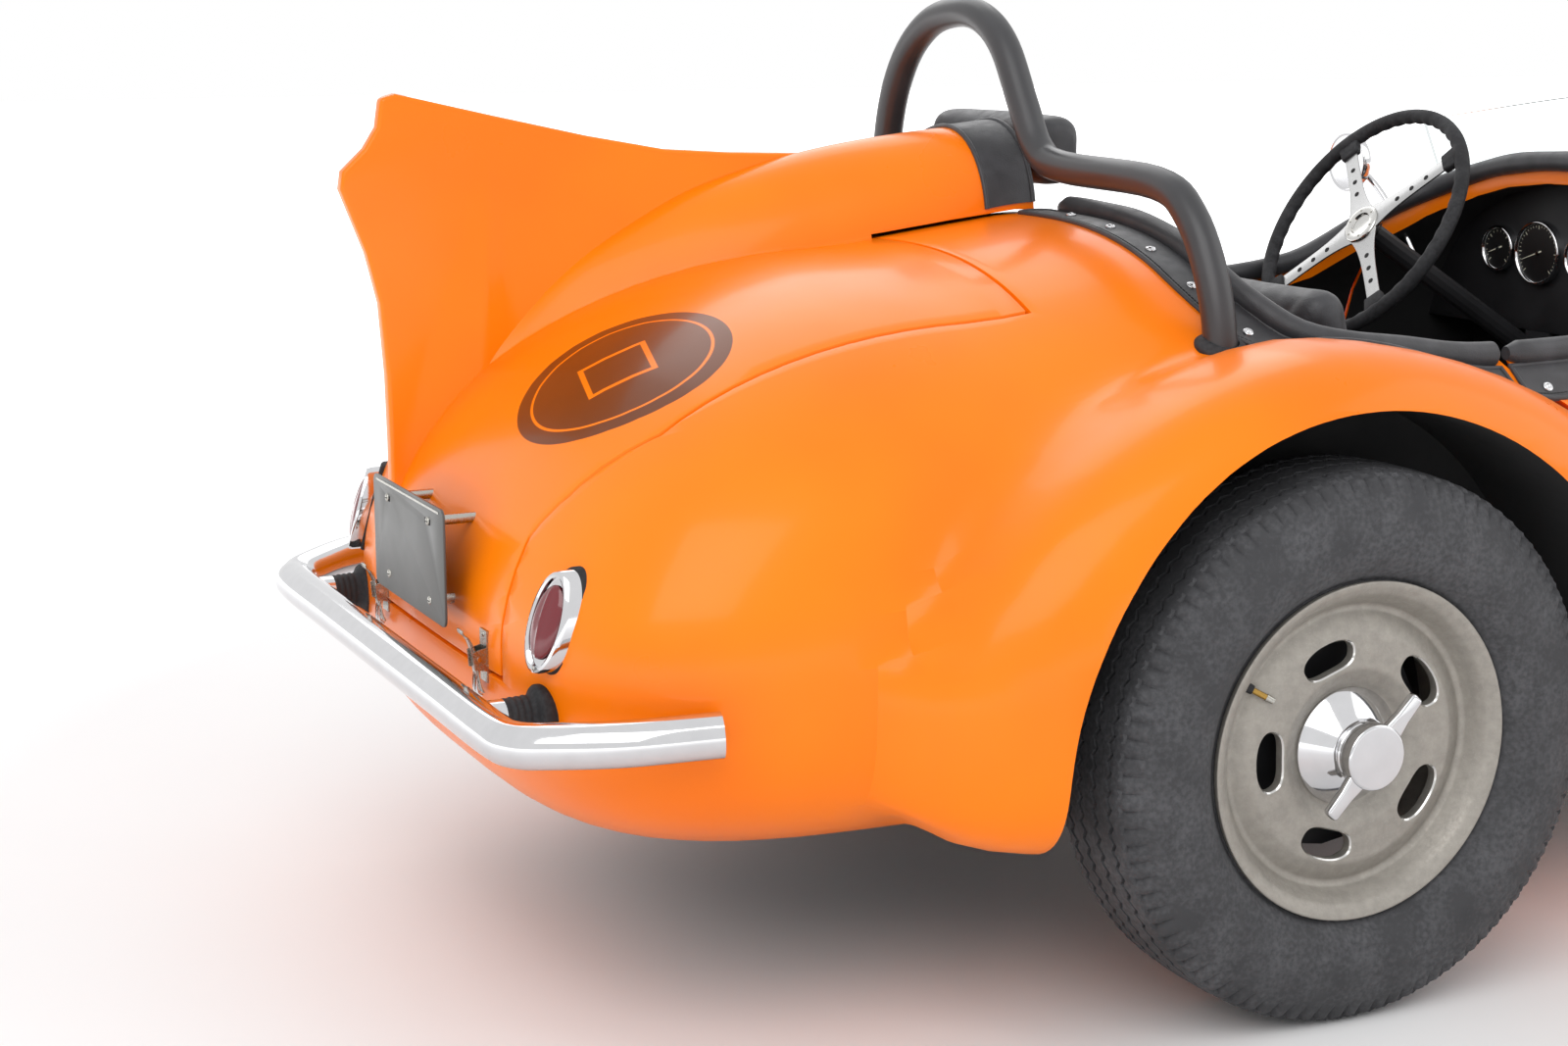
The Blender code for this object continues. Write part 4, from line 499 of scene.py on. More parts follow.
def softened(points, radius, steps=4):
    """Profile whose inner corners are rounded to a radius."""
    points = [Vector(p) for p in points]
    result = [points[0]]
    for before, corner, after in zip(points, points[1:], points[2:]):
        to, on = before - corner, after - corner
        reach = min(radius, 0.45 * to.length, 0.45 * on.length)
        start, end = corner + to.normalized() * reach, corner + on.normalized() * reach
        for k in range(steps + 1):
            t = k / steps
            result.append(start * (1 - t) ** 2 + corner * 2 * t * (1 - t) + end * t * t)
    return [tuple(p) for p in result + [points[-1]]]


def combine(target, cutters, operation):
    """Apply a Boolean with each cutter in turn, and remove the cutters."""
    for cutter in cutters:
        step = target.modifiers.new("step", "BOOLEAN")
        step.operation = operation
        step.solver = "EXACT"
        step.material_mode = "TRANSFER"
        step.object = cutter
        bpy.context.view_layer.update()
        mesh = bpy.data.meshes.new_from_object(target.evaluated_get(bpy.context.evaluated_depsgraph_get()))
        target.modifiers.clear()
        target.data = mesh
        bpy.data.objects.remove(cutter)
    return target


def cut(target, *cutters):
    return combine(target, cutters, "DIFFERENCE")


def join(target, *others):
    return combine(target, others, "UNION")


def keep(target, cutter):
    return combine(target, [cutter], "INTERSECT")


def copy_of(obj):
    twin = bpy.data.objects.new(obj.name + "_copy", obj.data.copy())
    bpy.context.scene.collection.objects.link(twin)
    return twin


def merged(name, objects):
    """One mesh of several, with their materials kept."""
    bm = bmesh.new()
    materials = []
    for obj in objects:
        mesh = obj.data
        places = []
        for material in mesh.materials:
            if material not in materials:
                materials.append(material)
            places.append(materials.index(material))
        for face in mesh.polygons:
            face.material_index = places[min(face.material_index, len(places) - 1)] if places else 0
        bm.from_mesh(mesh)
    for obj in objects:
        bpy.data.objects.remove(obj)
    whole = mesh_object(name, bm)
    for material in materials:
        whole.data.materials.append(material)
    return whole


def solidly(obj):
    """Put an object's modifiers into its mesh."""
    bpy.context.view_layer.update()
    mesh = bpy.data.meshes.new_from_object(obj.evaluated_get(bpy.context.evaluated_depsgraph_get()))
    obj.modifiers.clear()
    obj.data = mesh
    return obj


def rounded_edges(obj, width, segments=2, angle=40):
    bevel = obj.modifiers.new("edges", "BEVEL")
    bevel.width = width
    bevel.segments = segments
    bevel.limit_method = "ANGLE"
    bevel.angle_limit = math.radians(angle)
    return solidly(obj)


def place(obj, name, body, nodes=(), angle=35, crease=True):
    """Name a piece, move it into the frame, shade it and tie it to its body and the nodes it stands for."""
    obj.name = name
    obj.data.name = name
    obj.data.transform(Matrix.Translation((SHIFT, 0, 0)))
    obj.data.shade_smooth()
    if crease:
        obj.data.set_sharp_from_angle(angle=math.radians(angle))
    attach(obj, body)
    if nodes:
        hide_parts(*nodes)
    return obj


def add(tree, kind, inputs=None, **settings):
    """Add a node with its settings; each input is a value, or another node's socket to link."""
    node = tree.nodes.new(kind)
    for key, value in settings.items():
        setattr(node, key, value)
    for key, value in (inputs or {}).items():
        if isinstance(value, bpy.types.NodeSocket):
            tree.links.new(value, node.inputs[key])
        else:
            node.inputs[key].default_value = value
    return node


def new_material(name, **values):
    """Material with its Principled sockets set; returns the tree, the shader and object coordinates."""
    material = bpy.data.materials.new(name)
    material.use_nodes = True
    tree = material.node_tree
    shader = tree.nodes["Principled BSDF"]
    for key, value in values.items():
        socket = shader.inputs[key.replace("_", " ")]
        socket.default_value = (*value, 1) if isinstance(value, tuple) and len(value) == 3 else value
    MATERIALS[name] = material
    return tree, shader, add(tree, "ShaderNodeTexCoord").outputs["Object"]


def blend_colours(tree, factor, first, second):
    mix = add(tree, "ShaderNodeMix", {"Factor": factor}, data_type="RGBA")
    for socket, value in (("A", first), ("B", second)):
        target = next(s for s in mix.inputs if s.name == socket and s.type == "RGBA")
        if isinstance(value, bpy.types.NodeSocket):
            tree.links.new(value, target)
        else:
            target.default_value = (*value, 1)
    return next(s for s in mix.outputs if s.type == "RGBA")


def ramp(tree, value, low, high, start=0.0, end=1.0):
    return add(tree, "ShaderNodeMapRange", {"Value": value, "From Min": low, "From Max": high,
                                            "To Min": start, "To Max": end}).outputs["Result"]


def maths(tree, operation, first, second=0.0):
    return add(tree, "ShaderNodeMath", {0: first, 1: second}, operation=operation).outputs[0]


def bump(tree, shader, height, strength, millimetres):
    node = add(tree, "ShaderNodeBump",
               {"Height": height, "Strength": strength, "Distance": millimetres / 1000})
    tree.links.new(node.outputs["Normal"], shader.inputs["Normal"])


def noise(tree, coords, millimetres, detail=3.0, stretch=None):
    """Cloudy pattern whose blotches are about this many millimetres across."""
    if stretch:
        coords = add(tree, "ShaderNodeMapping", {"Vector": coords, "Scale": stretch}).outputs["Vector"]
    return add(tree, "ShaderNodeTexNoise",
               {"Vector": coords, "Scale": 1000 / millimetres, "Detail": detail}).outputs["Fac"]


def enamel(name, light, deep, roundel=False):
    """Sprayed and polished enamel: a clear gloss over a colour that deepens a little in broad patches."""
    tree, shader, coords = new_material(name, Roughness=0.32, Coat_Weight=0.22, Coat_Roughness=0.13,
                                        Specular_IOR_Level=0.2)
    colour = blend_colours(tree, ramp(tree, noise(tree, coords, 420), 0.35, 0.65), light, deep)
    if roundel:
        colour = roundel_colour(tree, coords, colour)
    tree.links.new(colour, shader.inputs["Base Color"])
    tree.links.new(ramp(tree, noise(tree, coords, 160, 5.0), 0.3, 0.7, 0.27, 0.38),
                   shader.inputs["Roughness"])
    bump(tree, shader, noise(tree, coords, 2.5), 0.06, 0.5)


def roundel_colour(tree, coords, ground):
    """Brown oval with a thin orange oval line and a plain diamond inside it, on the boot lid."""
    centre = Vector(ROUNDEL_CENTRE) + Vector((SHIFT, 0, 0))
    away = add(tree, "ShaderNodeVectorMath", {0: coords, 1: tuple(centre)}, operation="SUBTRACT").outputs[0]
    long = add(tree, "ShaderNodeVectorMath", {0: away, 1: ROUNDEL_LONG},
               operation="DOT_PRODUCT").outputs["Value"]
    short = add(tree, "ShaderNodeVectorMath", {0: away, 1: ROUNDEL_SHORT},
                operation="DOT_PRODUCT").outputs["Value"]
    u = maths(tree, "DIVIDE", long, 0.170)
    v = maths(tree, "DIVIDE", short, 0.137)
    reach = maths(tree, "SQRT",
                  maths(tree, "ADD", maths(tree, "MULTIPLY", u, u), maths(tree, "MULTIPLY", v, v)))
    inside = ramp(tree, reach, 0.996, 1.004, 1.0, 0.0)
    line = ramp(tree, maths(tree, "ABSOLUTE", maths(tree, "SUBTRACT", reach, 0.84)), 0.010, 0.018, 1.0, 0.0)
    corners = maths(tree, "ADD", maths(tree, "ABSOLUTE", u), maths(tree, "ABSOLUTE", v))
    diamond = ramp(tree, maths(tree, "ABSOLUTE", maths(tree, "SUBTRACT", corners, 0.42)), 0.030, 0.042, 1.0,
                   0.0)
    marks = maths(tree, "MAXIMUM", line, diamond)
    brown = tuple(colours().roundel)
    shade = blend_colours(tree, noise(tree, coords, 60), brown, tuple(0.8 * c for c in brown))
    return blend_colours(tree, inside, ground, blend_colours(tree, marks, shade, ground))


def leather():
    """Tanned black hide: a pebbled grain that breaks its soft sheen, a little greyer where it is rubbed."""
    tree, shader, coords = new_material("leather", Specular_IOR_Level=0.5, Sheen_Weight=0.12,
                                        Sheen_Roughness=0.5)
    ground = tuple(colours().leather)
    worn = tuple(min(1.0, c * 1.9) for c in ground)
    tree.links.new(blend_colours(tree, ramp(tree, noise(tree, coords, 45, 4.0), 0.45, 0.8), ground, worn),
                   shader.inputs["Base Color"])
    grain = add(tree, "ShaderNodeTexVoronoi", {"Vector": coords, "Scale": 620.0},
                feature="SMOOTH_F1").outputs["Distance"]
    tree.links.new(ramp(tree, noise(tree, coords, 20), 0.3, 0.7, 0.38, 0.55), shader.inputs["Roughness"])
    bump(tree, shader, grain, 0.45, 0.6)


def rubber(name, colour, grain=1.6):
    """Vulcanised rubber: dry and dark, dusted lighter in patches."""
    tree, shader, coords = new_material(name, Specular_IOR_Level=0.35)
    dusty = tuple(min(1.0, c * 1.7 + 0.006) for c in colour)
    patches = maths(tree, "MULTIPLY", noise(tree, coords, 70, 4.0), noise(tree, coords, 6))
    tree.links.new(blend_colours(tree, ramp(tree, patches, 0.18, 0.40), colour, dusty),
                   shader.inputs["Base Color"])
    tree.links.new(ramp(tree, noise(tree, coords, 30), 0.3, 0.7, 0.62, 0.82), shader.inputs["Roughness"])
    bump(tree, shader, noise(tree, coords, grain), 0.25, 0.4)


def cast_alloy():
    """Sand-cast light alloy: mottled warm grey with tiny bright specks of bare metal."""
    tree, shader, coords = new_material("cast_alloy", Metallic=0.55)
    ground = tuple(colours().alloy)
    dark = tuple(c * 0.84 for c in ground)
    mottled = blend_colours(tree, ramp(tree, noise(tree, coords, 14, 6.0), 0.35, 0.7), dark, ground)
    specks = add(tree, "ShaderNodeTexVoronoi", {"Vector": coords, "Scale": 560.0}).outputs["Distance"]
    tree.links.new(blend_colours(tree, ramp(tree, specks, 0.08, 0.12, 1.0, 0.0), mottled, (0.62, 0.60, 0.56)),
                   shader.inputs["Base Color"])
    tree.links.new(ramp(tree, noise(tree, coords, 4, 5.0), 0.3, 0.7, 0.42, 0.62), shader.inputs["Roughness"])
    bump(tree, shader, noise(tree, coords, 1.8, 5.0), 0.35, 0.5)


def metal(name, colour, low, high, millimetres=12.0, stretch=None, depth=0.05):
    """Bare metal: bright, with its gloss broken by fine marks of the given size."""
    tree, shader, coords = new_material(name, Metallic=1.0)
    marks = noise(tree, coords, millimetres, 4.0, stretch)
    tree.links.new(ramp(tree, marks, 0.3, 0.7, low, high), shader.inputs["Roughness"])
    tree.links.new(blend_colours(tree, marks, colour, tuple(c * 0.86 for c in colour)),
                   shader.inputs["Base Color"])
    bump(tree, shader, marks, depth, 0.3)


def coating(name, colour, low, high, millimetres=2.0, depth=0.15, level=0.5):
    """Paint, powder coat or moulded plastic: an even colour under a slightly uneven surface."""
    tree, shader, coords = new_material(name, Specular_IOR_Level=level)
    patches = noise(tree, coords, 90, 4.0)
    tree.links.new(blend_colours(tree, ramp(tree, patches, 0.35, 0.75), colour,
                                 tuple(min(1.0, c * 1.35) for c in colour)),
                   shader.inputs["Base Color"])
    tree.links.new(ramp(tree, patches, 0.3, 0.7, low, high), shader.inputs["Roughness"])
    bump(tree, shader, noise(tree, coords, millimetres), depth, 0.4)


def clear(name, colour, roughness, ior=1.49):
    """Clear sheet or lens: see-through, with faint wipe marks in its gloss."""
    tree, shader, coords = new_material(name, Base_Color=colour, Transmission_Weight=1.0, IOR=ior)
    tree.links.new(ramp(tree, noise(tree, coords, 35, 5.0), 0.4, 0.7, roughness, roughness + 0.03),
                   shader.inputs["Roughness"])


def make_materials():
    c = colours()
    enamel("body_enamel", tuple(c.paint), tuple(c.paint_deep))
    enamel("lid_enamel", tuple(c.paint), tuple(c.paint_deep), roundel=True)
    leather()
    rubber("tyre_rubber", tuple(c.rubber))
    rubber("moulded_rubber", linear("#232325"), 0.8)
    cast_alloy()
    metal("polished_steel", linear("#DADADC"), 0.05, 0.11, 25.0)
    metal("turned_alloy", linear("#D2D1CE"), 0.12, 0.24, 1.4, (1, 0.15, 1), 0.08)
    metal("brushed_alloy", linear("#BDBDBD"), 0.24, 0.38, 1.2, (0.06, 1, 1), 0.15)
    metal("plated_steel", linear("#B9B7B0"), 0.18, 0.34, 5.0)
    metal("brass", linear("#B08D4A"), 0.22, 0.40, 4.0)
    metal("exhaust_steel", linear("#8A8078"), 0.35, 0.55, 14.0)
    # Near-black for the body's inner faces, wheel wells and the walls of its openings; the same near-black is
    # painted shade in screw slots, plate slots, spoke dimples and the gap under the fairing, which take it
    # from their cutters.
    coating("lining_and_shade", linear("#141415"), 0.75, 0.92, 3.0, 0.3)
    coating("tube_enamel", tuple(c.tube), 0.28, 0.42, 1.5, 0.12)
    coating("plate_enamel", tuple(c.plate), 0.30, 0.45, 1.2, 0.10)
    coating("chassis_paint", tuple(c.chassis), 0.45, 0.65, 2.2, 0.25)
    coating("cast_iron", linear("#3A3B3D"), 0.55, 0.80, 1.6, 0.5)
    coating("dash_vinyl", linear("#1C1C1E"), 0.45, 0.60, 0.9, 0.35)
    coating("gauge_face", linear("#0E0E0F"), 0.35, 0.45, 1.0, 0.05)
    coating("gauge_mark", linear("#E4DFC8"), 0.45, 0.55, 1.0, 0.05)
    coating("grey_face", linear("#8C8F90"), 0.40, 0.50, 1.0, 0.05)
    coating("floor_mat", linear("#1A1A1B"), 0.80, 0.95, 2.5, 0.6)
    clear("clear_sheet", (0.93, 0.97, 0.97), 0.0)
    clear("lamp_glass", (0.97, 0.98, 0.98), 0.02)
    tree, shader, coords = new_material("red_lens", Base_Color=tuple(c.lens), Transmission_Weight=0.25,
                                        IOR=1.49,
                                        Roughness=0.12, Coat_Weight=0.6, Coat_Roughness=0.05)
    bump(tree, shader, noise(tree, coords, 3.0), 0.08, 0.4)


def body_stations(low, high):
    """Places of the body's rings between two cuts, close together at its rounded ends."""
    stations = []
    for k in range(END_RINGS):
        stations.append(TAIL_START_X
                        - (TAIL_START_X - TAIL_X) * math.cos(0.5 * math.pi * (k + 0.05) / END_RINGS))
    count = round((NOSE_START_X - TAIL_START_X) / sizes().ring_pitch)
    stations += [TAIL_START_X + (NOSE_START_X - TAIL_START_X) * k / count for k in range(count)]
    for k in range(END_RINGS):
        stations.append(NOSE_START_X
                        + (NOSE_X - NOSE_START_X) * math.sin(0.5 * math.pi * (k + 0.95) / END_RINGS))
    inner = [x for x in stations if low + 0.008 < x < high - 0.008]
    return ([low] if low > TAIL_X else []) + inner + ([high] if high < NOSE_X else [])


def skin(y, z, shape, wing):
    """Signed distance, roughly, from the body's outer face: the shell with a rear wing flowing into it."""
    half, waist, height, depth, power = shape
    up = z - waist
    tall, form = (height, power) if up >= 0 else (depth, BELLY_ROUNDNESS)
    radius = math.hypot(y, up)
    shell_side = radius - radius / max(1e-6, (abs(y / half) ** form + abs(up / tall) ** form) ** (1 / form))
    if not wing:
        return shell_side
    wing_half, rise, drop = wing
    py, pz = abs(y) - WING_CENTRE_Y, z - WING_CENTRE_Z
    wing_tall = rise if pz > 0 else drop
    rho = (abs(py / wing_half) ** 3 + abs(pz / wing_tall) ** 3) ** (1 / 3)
    wing_side = (rho - 1) * 0.5 * (wing_half + wing_tall)
    flow = sizes().flow
    blend = max(0.0, min(1.0, 0.5 + 0.5 * (shell_side - wing_side) / flow))
    return shell_side + (wing_side - shell_side) * blend - flow * blend * (1 - blend)


def outermost(inside, far, near, steps=26):
    """Place nearest to far where a test of being inside first holds, or None."""
    high = far
    for k in range(1, steps + 1):
        low = far + (near - far) * k / steps
        if inside(low):
            break
        high = low
    else:
        return None
    for _ in range(14):
        middle = (low + high) / 2
        if inside(middle):
            low = middle
        else:
            high = middle
    return low


def top_z(x, y):
    """Height of the body's upper face, rear wings and all."""
    shape, wing = shell_shape(x, 0.0), wing_shape(x)
    if wing and min(wing) < 0.004:
        wing = None
    found = outermost(lambda z: skin(y, z, shape, wing) < 0, 1.25, shape[1], 40)
    return shape[1] if found is None else found


def with_wing(y, z, shape, wing):
    """Where a point of the shell's ring lies once it is pushed out to flow over the rear wing."""
    start_y, start_z = math.copysign(0.36, y), 0.38 - shape[1]
    dy, dz = y - start_y, z - start_z
    far = 1 + 0.45 / math.hypot(dy, dz)
    found = outermost(lambda t: skin(start_y + dy * t, shape[1] + start_z + dz * t, shape, wing) < 0, far,
                      1.0)
    t = 1.0 if found is None else max(1.0, found)
    return start_y + dy * t, start_z + dz * t


def body_block(name, low, high, material="body_enamel"):
    """Closed length of the body between two stations, rear wings and all."""
    steps = sizes().ring_steps
    rings = []
    for x in body_stations(low, high):
        x = max(x, TAIL_X + 1e-5)
        shape = shell_shape(x, 0.0)
        half, waist, height, depth, power = shape
        wing = wing_shape(x)
        ring = []
        for i in range(steps):
            turn = 2 * math.pi * i / steps
            angle = turn - 0.25 * math.sin(2 * turn)
            y, z = power_point(angle, power if math.sin(angle) >= 0 else BELLY_ROUNDNESS)
            y, z = half * y, z * (height if z >= 0 else depth)
            if wing and min(wing) > 0.004 and abs(y) > 0.1:
                y, z = with_wing(y, z, shape, wing)
            ring.append((x, y, waist + z))
        rings.append(ring)
    return loft(name, rings, material=material)


def plain_shell(name, inset, material, steps=40):
    """The body without its wings, coarser, for what is cut by it."""
    tail_x, nose_x = TAIL_X + inset, NOSE_X - inset
    stations = [TAIL_START_X - (TAIL_START_X - tail_x) * math.cos(0.5 * math.pi * (k + 0.1) / 12)
                for k in range(12)]
    stations += [TAIL_START_X + (NOSE_START_X - TAIL_START_X) * k / 24 for k in range(24)]
    stations += [NOSE_START_X + (nose_x - NOSE_START_X) * math.sin(0.5 * math.pi * (k + 0.9) / 10)
                 for k in range(10)]
    rings = []
    for x in stations:
        half, waist, height, depth, power = shell_shape(x, inset)
        ring = []
        for i in range(steps):
            angle = 2 * math.pi * i / steps
            y, z = power_point(angle, power if math.sin(angle) >= 0 else BELLY_ROUNDNESS)
            ring.append((x, half * y, waist + z * (height if z >= 0 else depth)))
        rings.append(ring)
    return loft(name, rings, material=material)


def round_arch(radius, steps=64):
    turn = [math.pi * k / steps for k in range(steps + 1)]
    return [(radius, 0.0)] + [(radius * math.cos(a), TYRE_RADIUS + radius * math.sin(a))
                              for a in turn] + [(-radius, 0.0)]


def well_solid(side, skin=0.0):
    ends = sorted((side * (WELL_INNER_Y - skin), side * (WING_CENTRE_Y + WING_HALF_WIDTH - ARCH_LIP_DEPTH)))
    return prism("well", round_arch(WELL_RADIUS + skin), "Y", *ends, material="lining_and_shade")


def arch_solid(side):
    ends = sorted((side * (WELL_INNER_Y + 0.1), side * 0.95))
    return prism("arch", round_arch(ARCH_RADIUS), "Y", *ends, material="body_enamel")


def cavity_solid():
    cavity = plain_shell("cavity", WALL, "lining_and_shade")
    for side, _ in SIDES:
        cut(cavity, well_solid(side, WELL_SKIN))
    return cavity


def cockpit_outline(steps=12):
    corners = [(COCKPIT_REAR_X, -1, 180), (COCKPIT_FRONT_X, -1, 270), (COCKPIT_FRONT_X, 1, 0),
               (COCKPIT_REAR_X, 1, 90)]
    outline = []
    for x, side, start in corners:
        cx = x + (COCKPIT_CORNER if x == COCKPIT_REAR_X else -COCKPIT_CORNER)
        cy = side * (COCKPIT_HALF_WIDTH - COCKPIT_CORNER)
        for k in range(steps + 1):
            angle = math.radians(start + 90 * k / steps)
            outline.append((cx + COCKPIT_CORNER * math.cos(angle), cy + COCKPIT_CORNER * math.sin(angle)))
    return outline


def door_prism(side, grow, material="body_enamel"):
    swing = grow * DOOR_SWING_SHARE
    rear = [(x - swing, z - grow * 0.7) for x, z in DOOR_OUTLINE[1:]]
    rear[-1] = (DOOR_OUTLINE[-1][0] - swing, DOOR_BOTTOM_Z - grow)
    front = [(DOOR_FRONT_X + grow, DOOR_BOTTOM_Z - grow), (DOOR_FRONT_X + grow, DOOR_TOP_Z)]
    outline = [(DOOR_OUTLINE[0][0] - grow, DOOR_TOP_Z)] + rear + front
    return prism("door", outline, "Y", *sorted((side * 0.30, side * 0.90)), material=material)


def lid_prism(grow, material="body_enamel"):
    outline = [(LID_FRONT_X + grow, -LID_HALF_WIDTH - grow), (LID_FRONT_X + grow, LID_HALF_WIDTH + grow),
               (LID_TURN_X + 0.10, LID_HALF_WIDTH + grow), (LID_TURN_X, LID_FOOT_HALF_WIDTH + 0.03 + grow),
               (LID_TURN_X - 0.04, LID_FOOT_HALF_WIDTH + grow), (TAIL_X - 0.1, LID_FOOT_HALF_WIDTH + grow),
               (TAIL_X - 0.1, -LID_FOOT_HALF_WIDTH - grow), (LID_TURN_X - 0.04, -LID_FOOT_HALF_WIDTH - grow),
               (LID_TURN_X, -LID_FOOT_HALF_WIDTH - 0.03 - grow), (LID_TURN_X + 0.10, -LID_HALF_WIDTH - grow)]
    return prism("lid", outline, "Z", LID_FOOT_Z - grow, 1.4, material=material)


def bonnet_prism(grow, material="body_enamel"):
    outline = [(COWL_FRONT_X - grow, -BONNET_REAR_HALF_WIDTH - grow),
               (BONNET_FRONT_X + grow, -BONNET_FRONT_HALF_WIDTH - grow),
               (BONNET_FRONT_X + grow, BONNET_FRONT_HALF_WIDTH + grow),
               (COWL_FRONT_X - grow, BONNET_REAR_HALF_WIDTH + grow)]
    return prism("bonnet", outline, "Z", 0.60, 1.4, material=material)


def oval_x(x_low, x_high, half_width, half_height, middle_z, steps=72, material=None, y=0.0):
    turn = [2 * math.pi * (k + 0.5) / steps for k in range(steps)]
    outline = [(y + half_width * math.cos(a), middle_z + half_height * math.sin(a)) for a in turn]
    return prism("oval", outline, "X", x_low, x_high, material)


def belly_box():
    return box("belly", (BELLY_OPENING_REAR_X, -BELLY_OPENING_HALF_WIDTH, 0.0),
               (BELLY_OPENING_FRONT_X, BELLY_OPENING_HALF_WIDTH, BELLY_OPENING_Z), "lining_and_shade")


def make_tail(cavity):
    half_seam = SEAT_GAP / 2
    tail = body_block("tail", -9, TAIL_SPLIT_X - half_seam)
    cut(tail, copy_of(cavity), belly_box())
    for side, _ in SIDES:
        cut(tail, well_solid(side), arch_solid(side))
        low_y, high_y = sorted((side * (BELLY_OPENING_HALF_WIDTH - 0.05), side * 0.60))
        cut(tail, box("slot", (-AXLE_SLOT_HALF, low_y, 0.0),
                      (AXLE_SLOT_HALF, high_y, TYRE_RADIUS + AXLE_SLOT_HALF), "lining_and_shade"))
    cut(tail, prism("cockpit", cockpit_outline(), "Z", 0.5, 1.4, "body_enamel"), lid_prism(PANEL_GAP),
        door_prism(-1, PANEL_GAP), door_prism(1, PANEL_GAP))
    rounded_edges(tail, sizes().edge)
    return place(tail, "tail_panel", "chassis", ["body_tail"])


def make_centre(cavity):
    centre = body_block("centre", TAIL_SPLIT_X + SEAT_GAP / 2, COWL_FRONT_X - PANEL_GAP - SEAT_GAP / 2)
    cut(centre, copy_of(cavity), belly_box(),
        prism("cockpit", cockpit_outline(), "Z", 0.5, 1.4, "body_enamel"),
        door_prism(-1, PANEL_GAP), door_prism(1, PANEL_GAP))
    rounded_edges(centre, sizes().edge)
    return place(centre, "cowl_panel", "chassis", ["body_centre"])


def make_front(cavity):
    front = body_block("front", COWL_FRONT_X - PANEL_GAP + SEAT_GAP / 2, 9)
    cut(front, copy_of(cavity), belly_box())
    for side, _ in SIDES:
        low_y, high_y = sorted((side * 0.20, side * 0.60))
        cut(front, box("slot", (WHEELBASE - STEERING_SLOT_LENGTH, low_y, 0.0),
                       (WHEELBASE + AXLE_SLOT_HALF, high_y, STEERING_SLOT_TOP_Z), "lining_and_shade"))
    cut(front, bonnet_prism(PANEL_GAP),
        oval_x(GRILLE_X - 0.10, 3.0, MOUTH_HALF_WIDTH, MOUTH_HALF_HEIGHT, MOUTH_Z, material="body_enamel"))
    rounded_edges(front, sizes().edge)
    return place(front, "nose_panel", "chassis", ["body_front"])


def make_bonnet(cavity):
    bonnet = body_block("bonnet", COWL_FRONT_X - 0.05, BONNET_FRONT_X + 0.05)
    cut(bonnet, copy_of(cavity))
    keep(bonnet, bonnet_prism(0.0))
    rounded_edges(bonnet, sizes().edge)
    return place(bonnet, "bonnet_panel", "bonnet", ["bonnet"])


def make_doors(cavity):
    block = body_block("doors", DOOR_OUTLINE[0][0] - 0.05, DOOR_FRONT_X + 0.05)
    cut(block, copy_of(cavity), prism("cockpit", cockpit_outline(), "Z", 0.5, 1.4, "body_enamel"))
    for side, word in SIDES:
        door = keep(copy_of(block), door_prism(side, 0.0))
        rounded_edges(door, sizes().edge)
        place(door, "door_panel_" + word, "door_" + word, ["door_" + word])
    bpy.data.objects.remove(block)


def fairing_ring(x, count=41):
    """Ridge over the deck at one station: round in front, and drawn out to hollow flanks behind."""
    along = max(0.0, (FAIRING_FRONT_X - x) / (FAIRING_FRONT_X - FAIRING_REAR_X))
    half = FAIRING_HALF_WIDTH * (1 - along ** 1.8) ** 0.9 + 0.004
    foot = -0.012
    ridge = line_at(FAIRING_RIDGE, x)
    tall = max(0.002, ridge - deck_z(x, FAIRING_Y, foot))
    width_power = 2.5 - 0.8 * along
    height_power = 0.50 + 1.1 * along ** 1.5
    ring = []
    for k in range(count):
        u = math.cos(math.pi * k / (count - 1))
        y = FAIRING_Y + half * u
        rise = max(0.0, 1 - abs(u) ** width_power) ** height_power
        ring.append((x, y, deck_z(x, y, foot) + tall * rise))
    for k in range(1, 12):
        y = FAIRING_Y - half + 2 * half * k / 12
        ring.append((x, y, deck_z(x, y, foot) - 0.0005))
    return ring


def make_lid(cavity):
    """Boot lid with the headrest fairing and the fin in one panel."""
    lid = body_block("lid", -9, LID_FRONT_X + 0.03, "lid_enamel")
    cut(lid, copy_of(cavity))
    keep(lid, lid_prism(0.0, "lid_enamel"))
    length = FAIRING_FRONT_X - FAIRING_REAR_X
    stations = [FAIRING_REAR_X + 0.004 + (length - 0.004) * k / 44 for k in range(45)]
    fairing = loft("fairing", [fairing_ring(x) for x in stations], material="lid_enamel")
    # The fairing's underside over the deck takes the guard's near-black: painted shade in the gap under it.
    guard = plain_shell("guard", -0.006, "lining_and_shade", 72)
    cut(guard, lid_prism(-0.004, "lid_enamel"))
    cut(fairing, guard)
    fin = prism("fin", FIN_OUTLINE, "Y", FAIRING_Y - FIN_THICKNESS / 2, FAIRING_Y + FIN_THICKNESS / 2,
                "lid_enamel")
    rounded_edges(fin, 0.0105, 5, 60)
    join(lid, fairing, fin)
    rounded_edges(lid, sizes().edge, angle=50)
    return place(lid, "lid_panel", "boot_lid", ["boot_lid"])


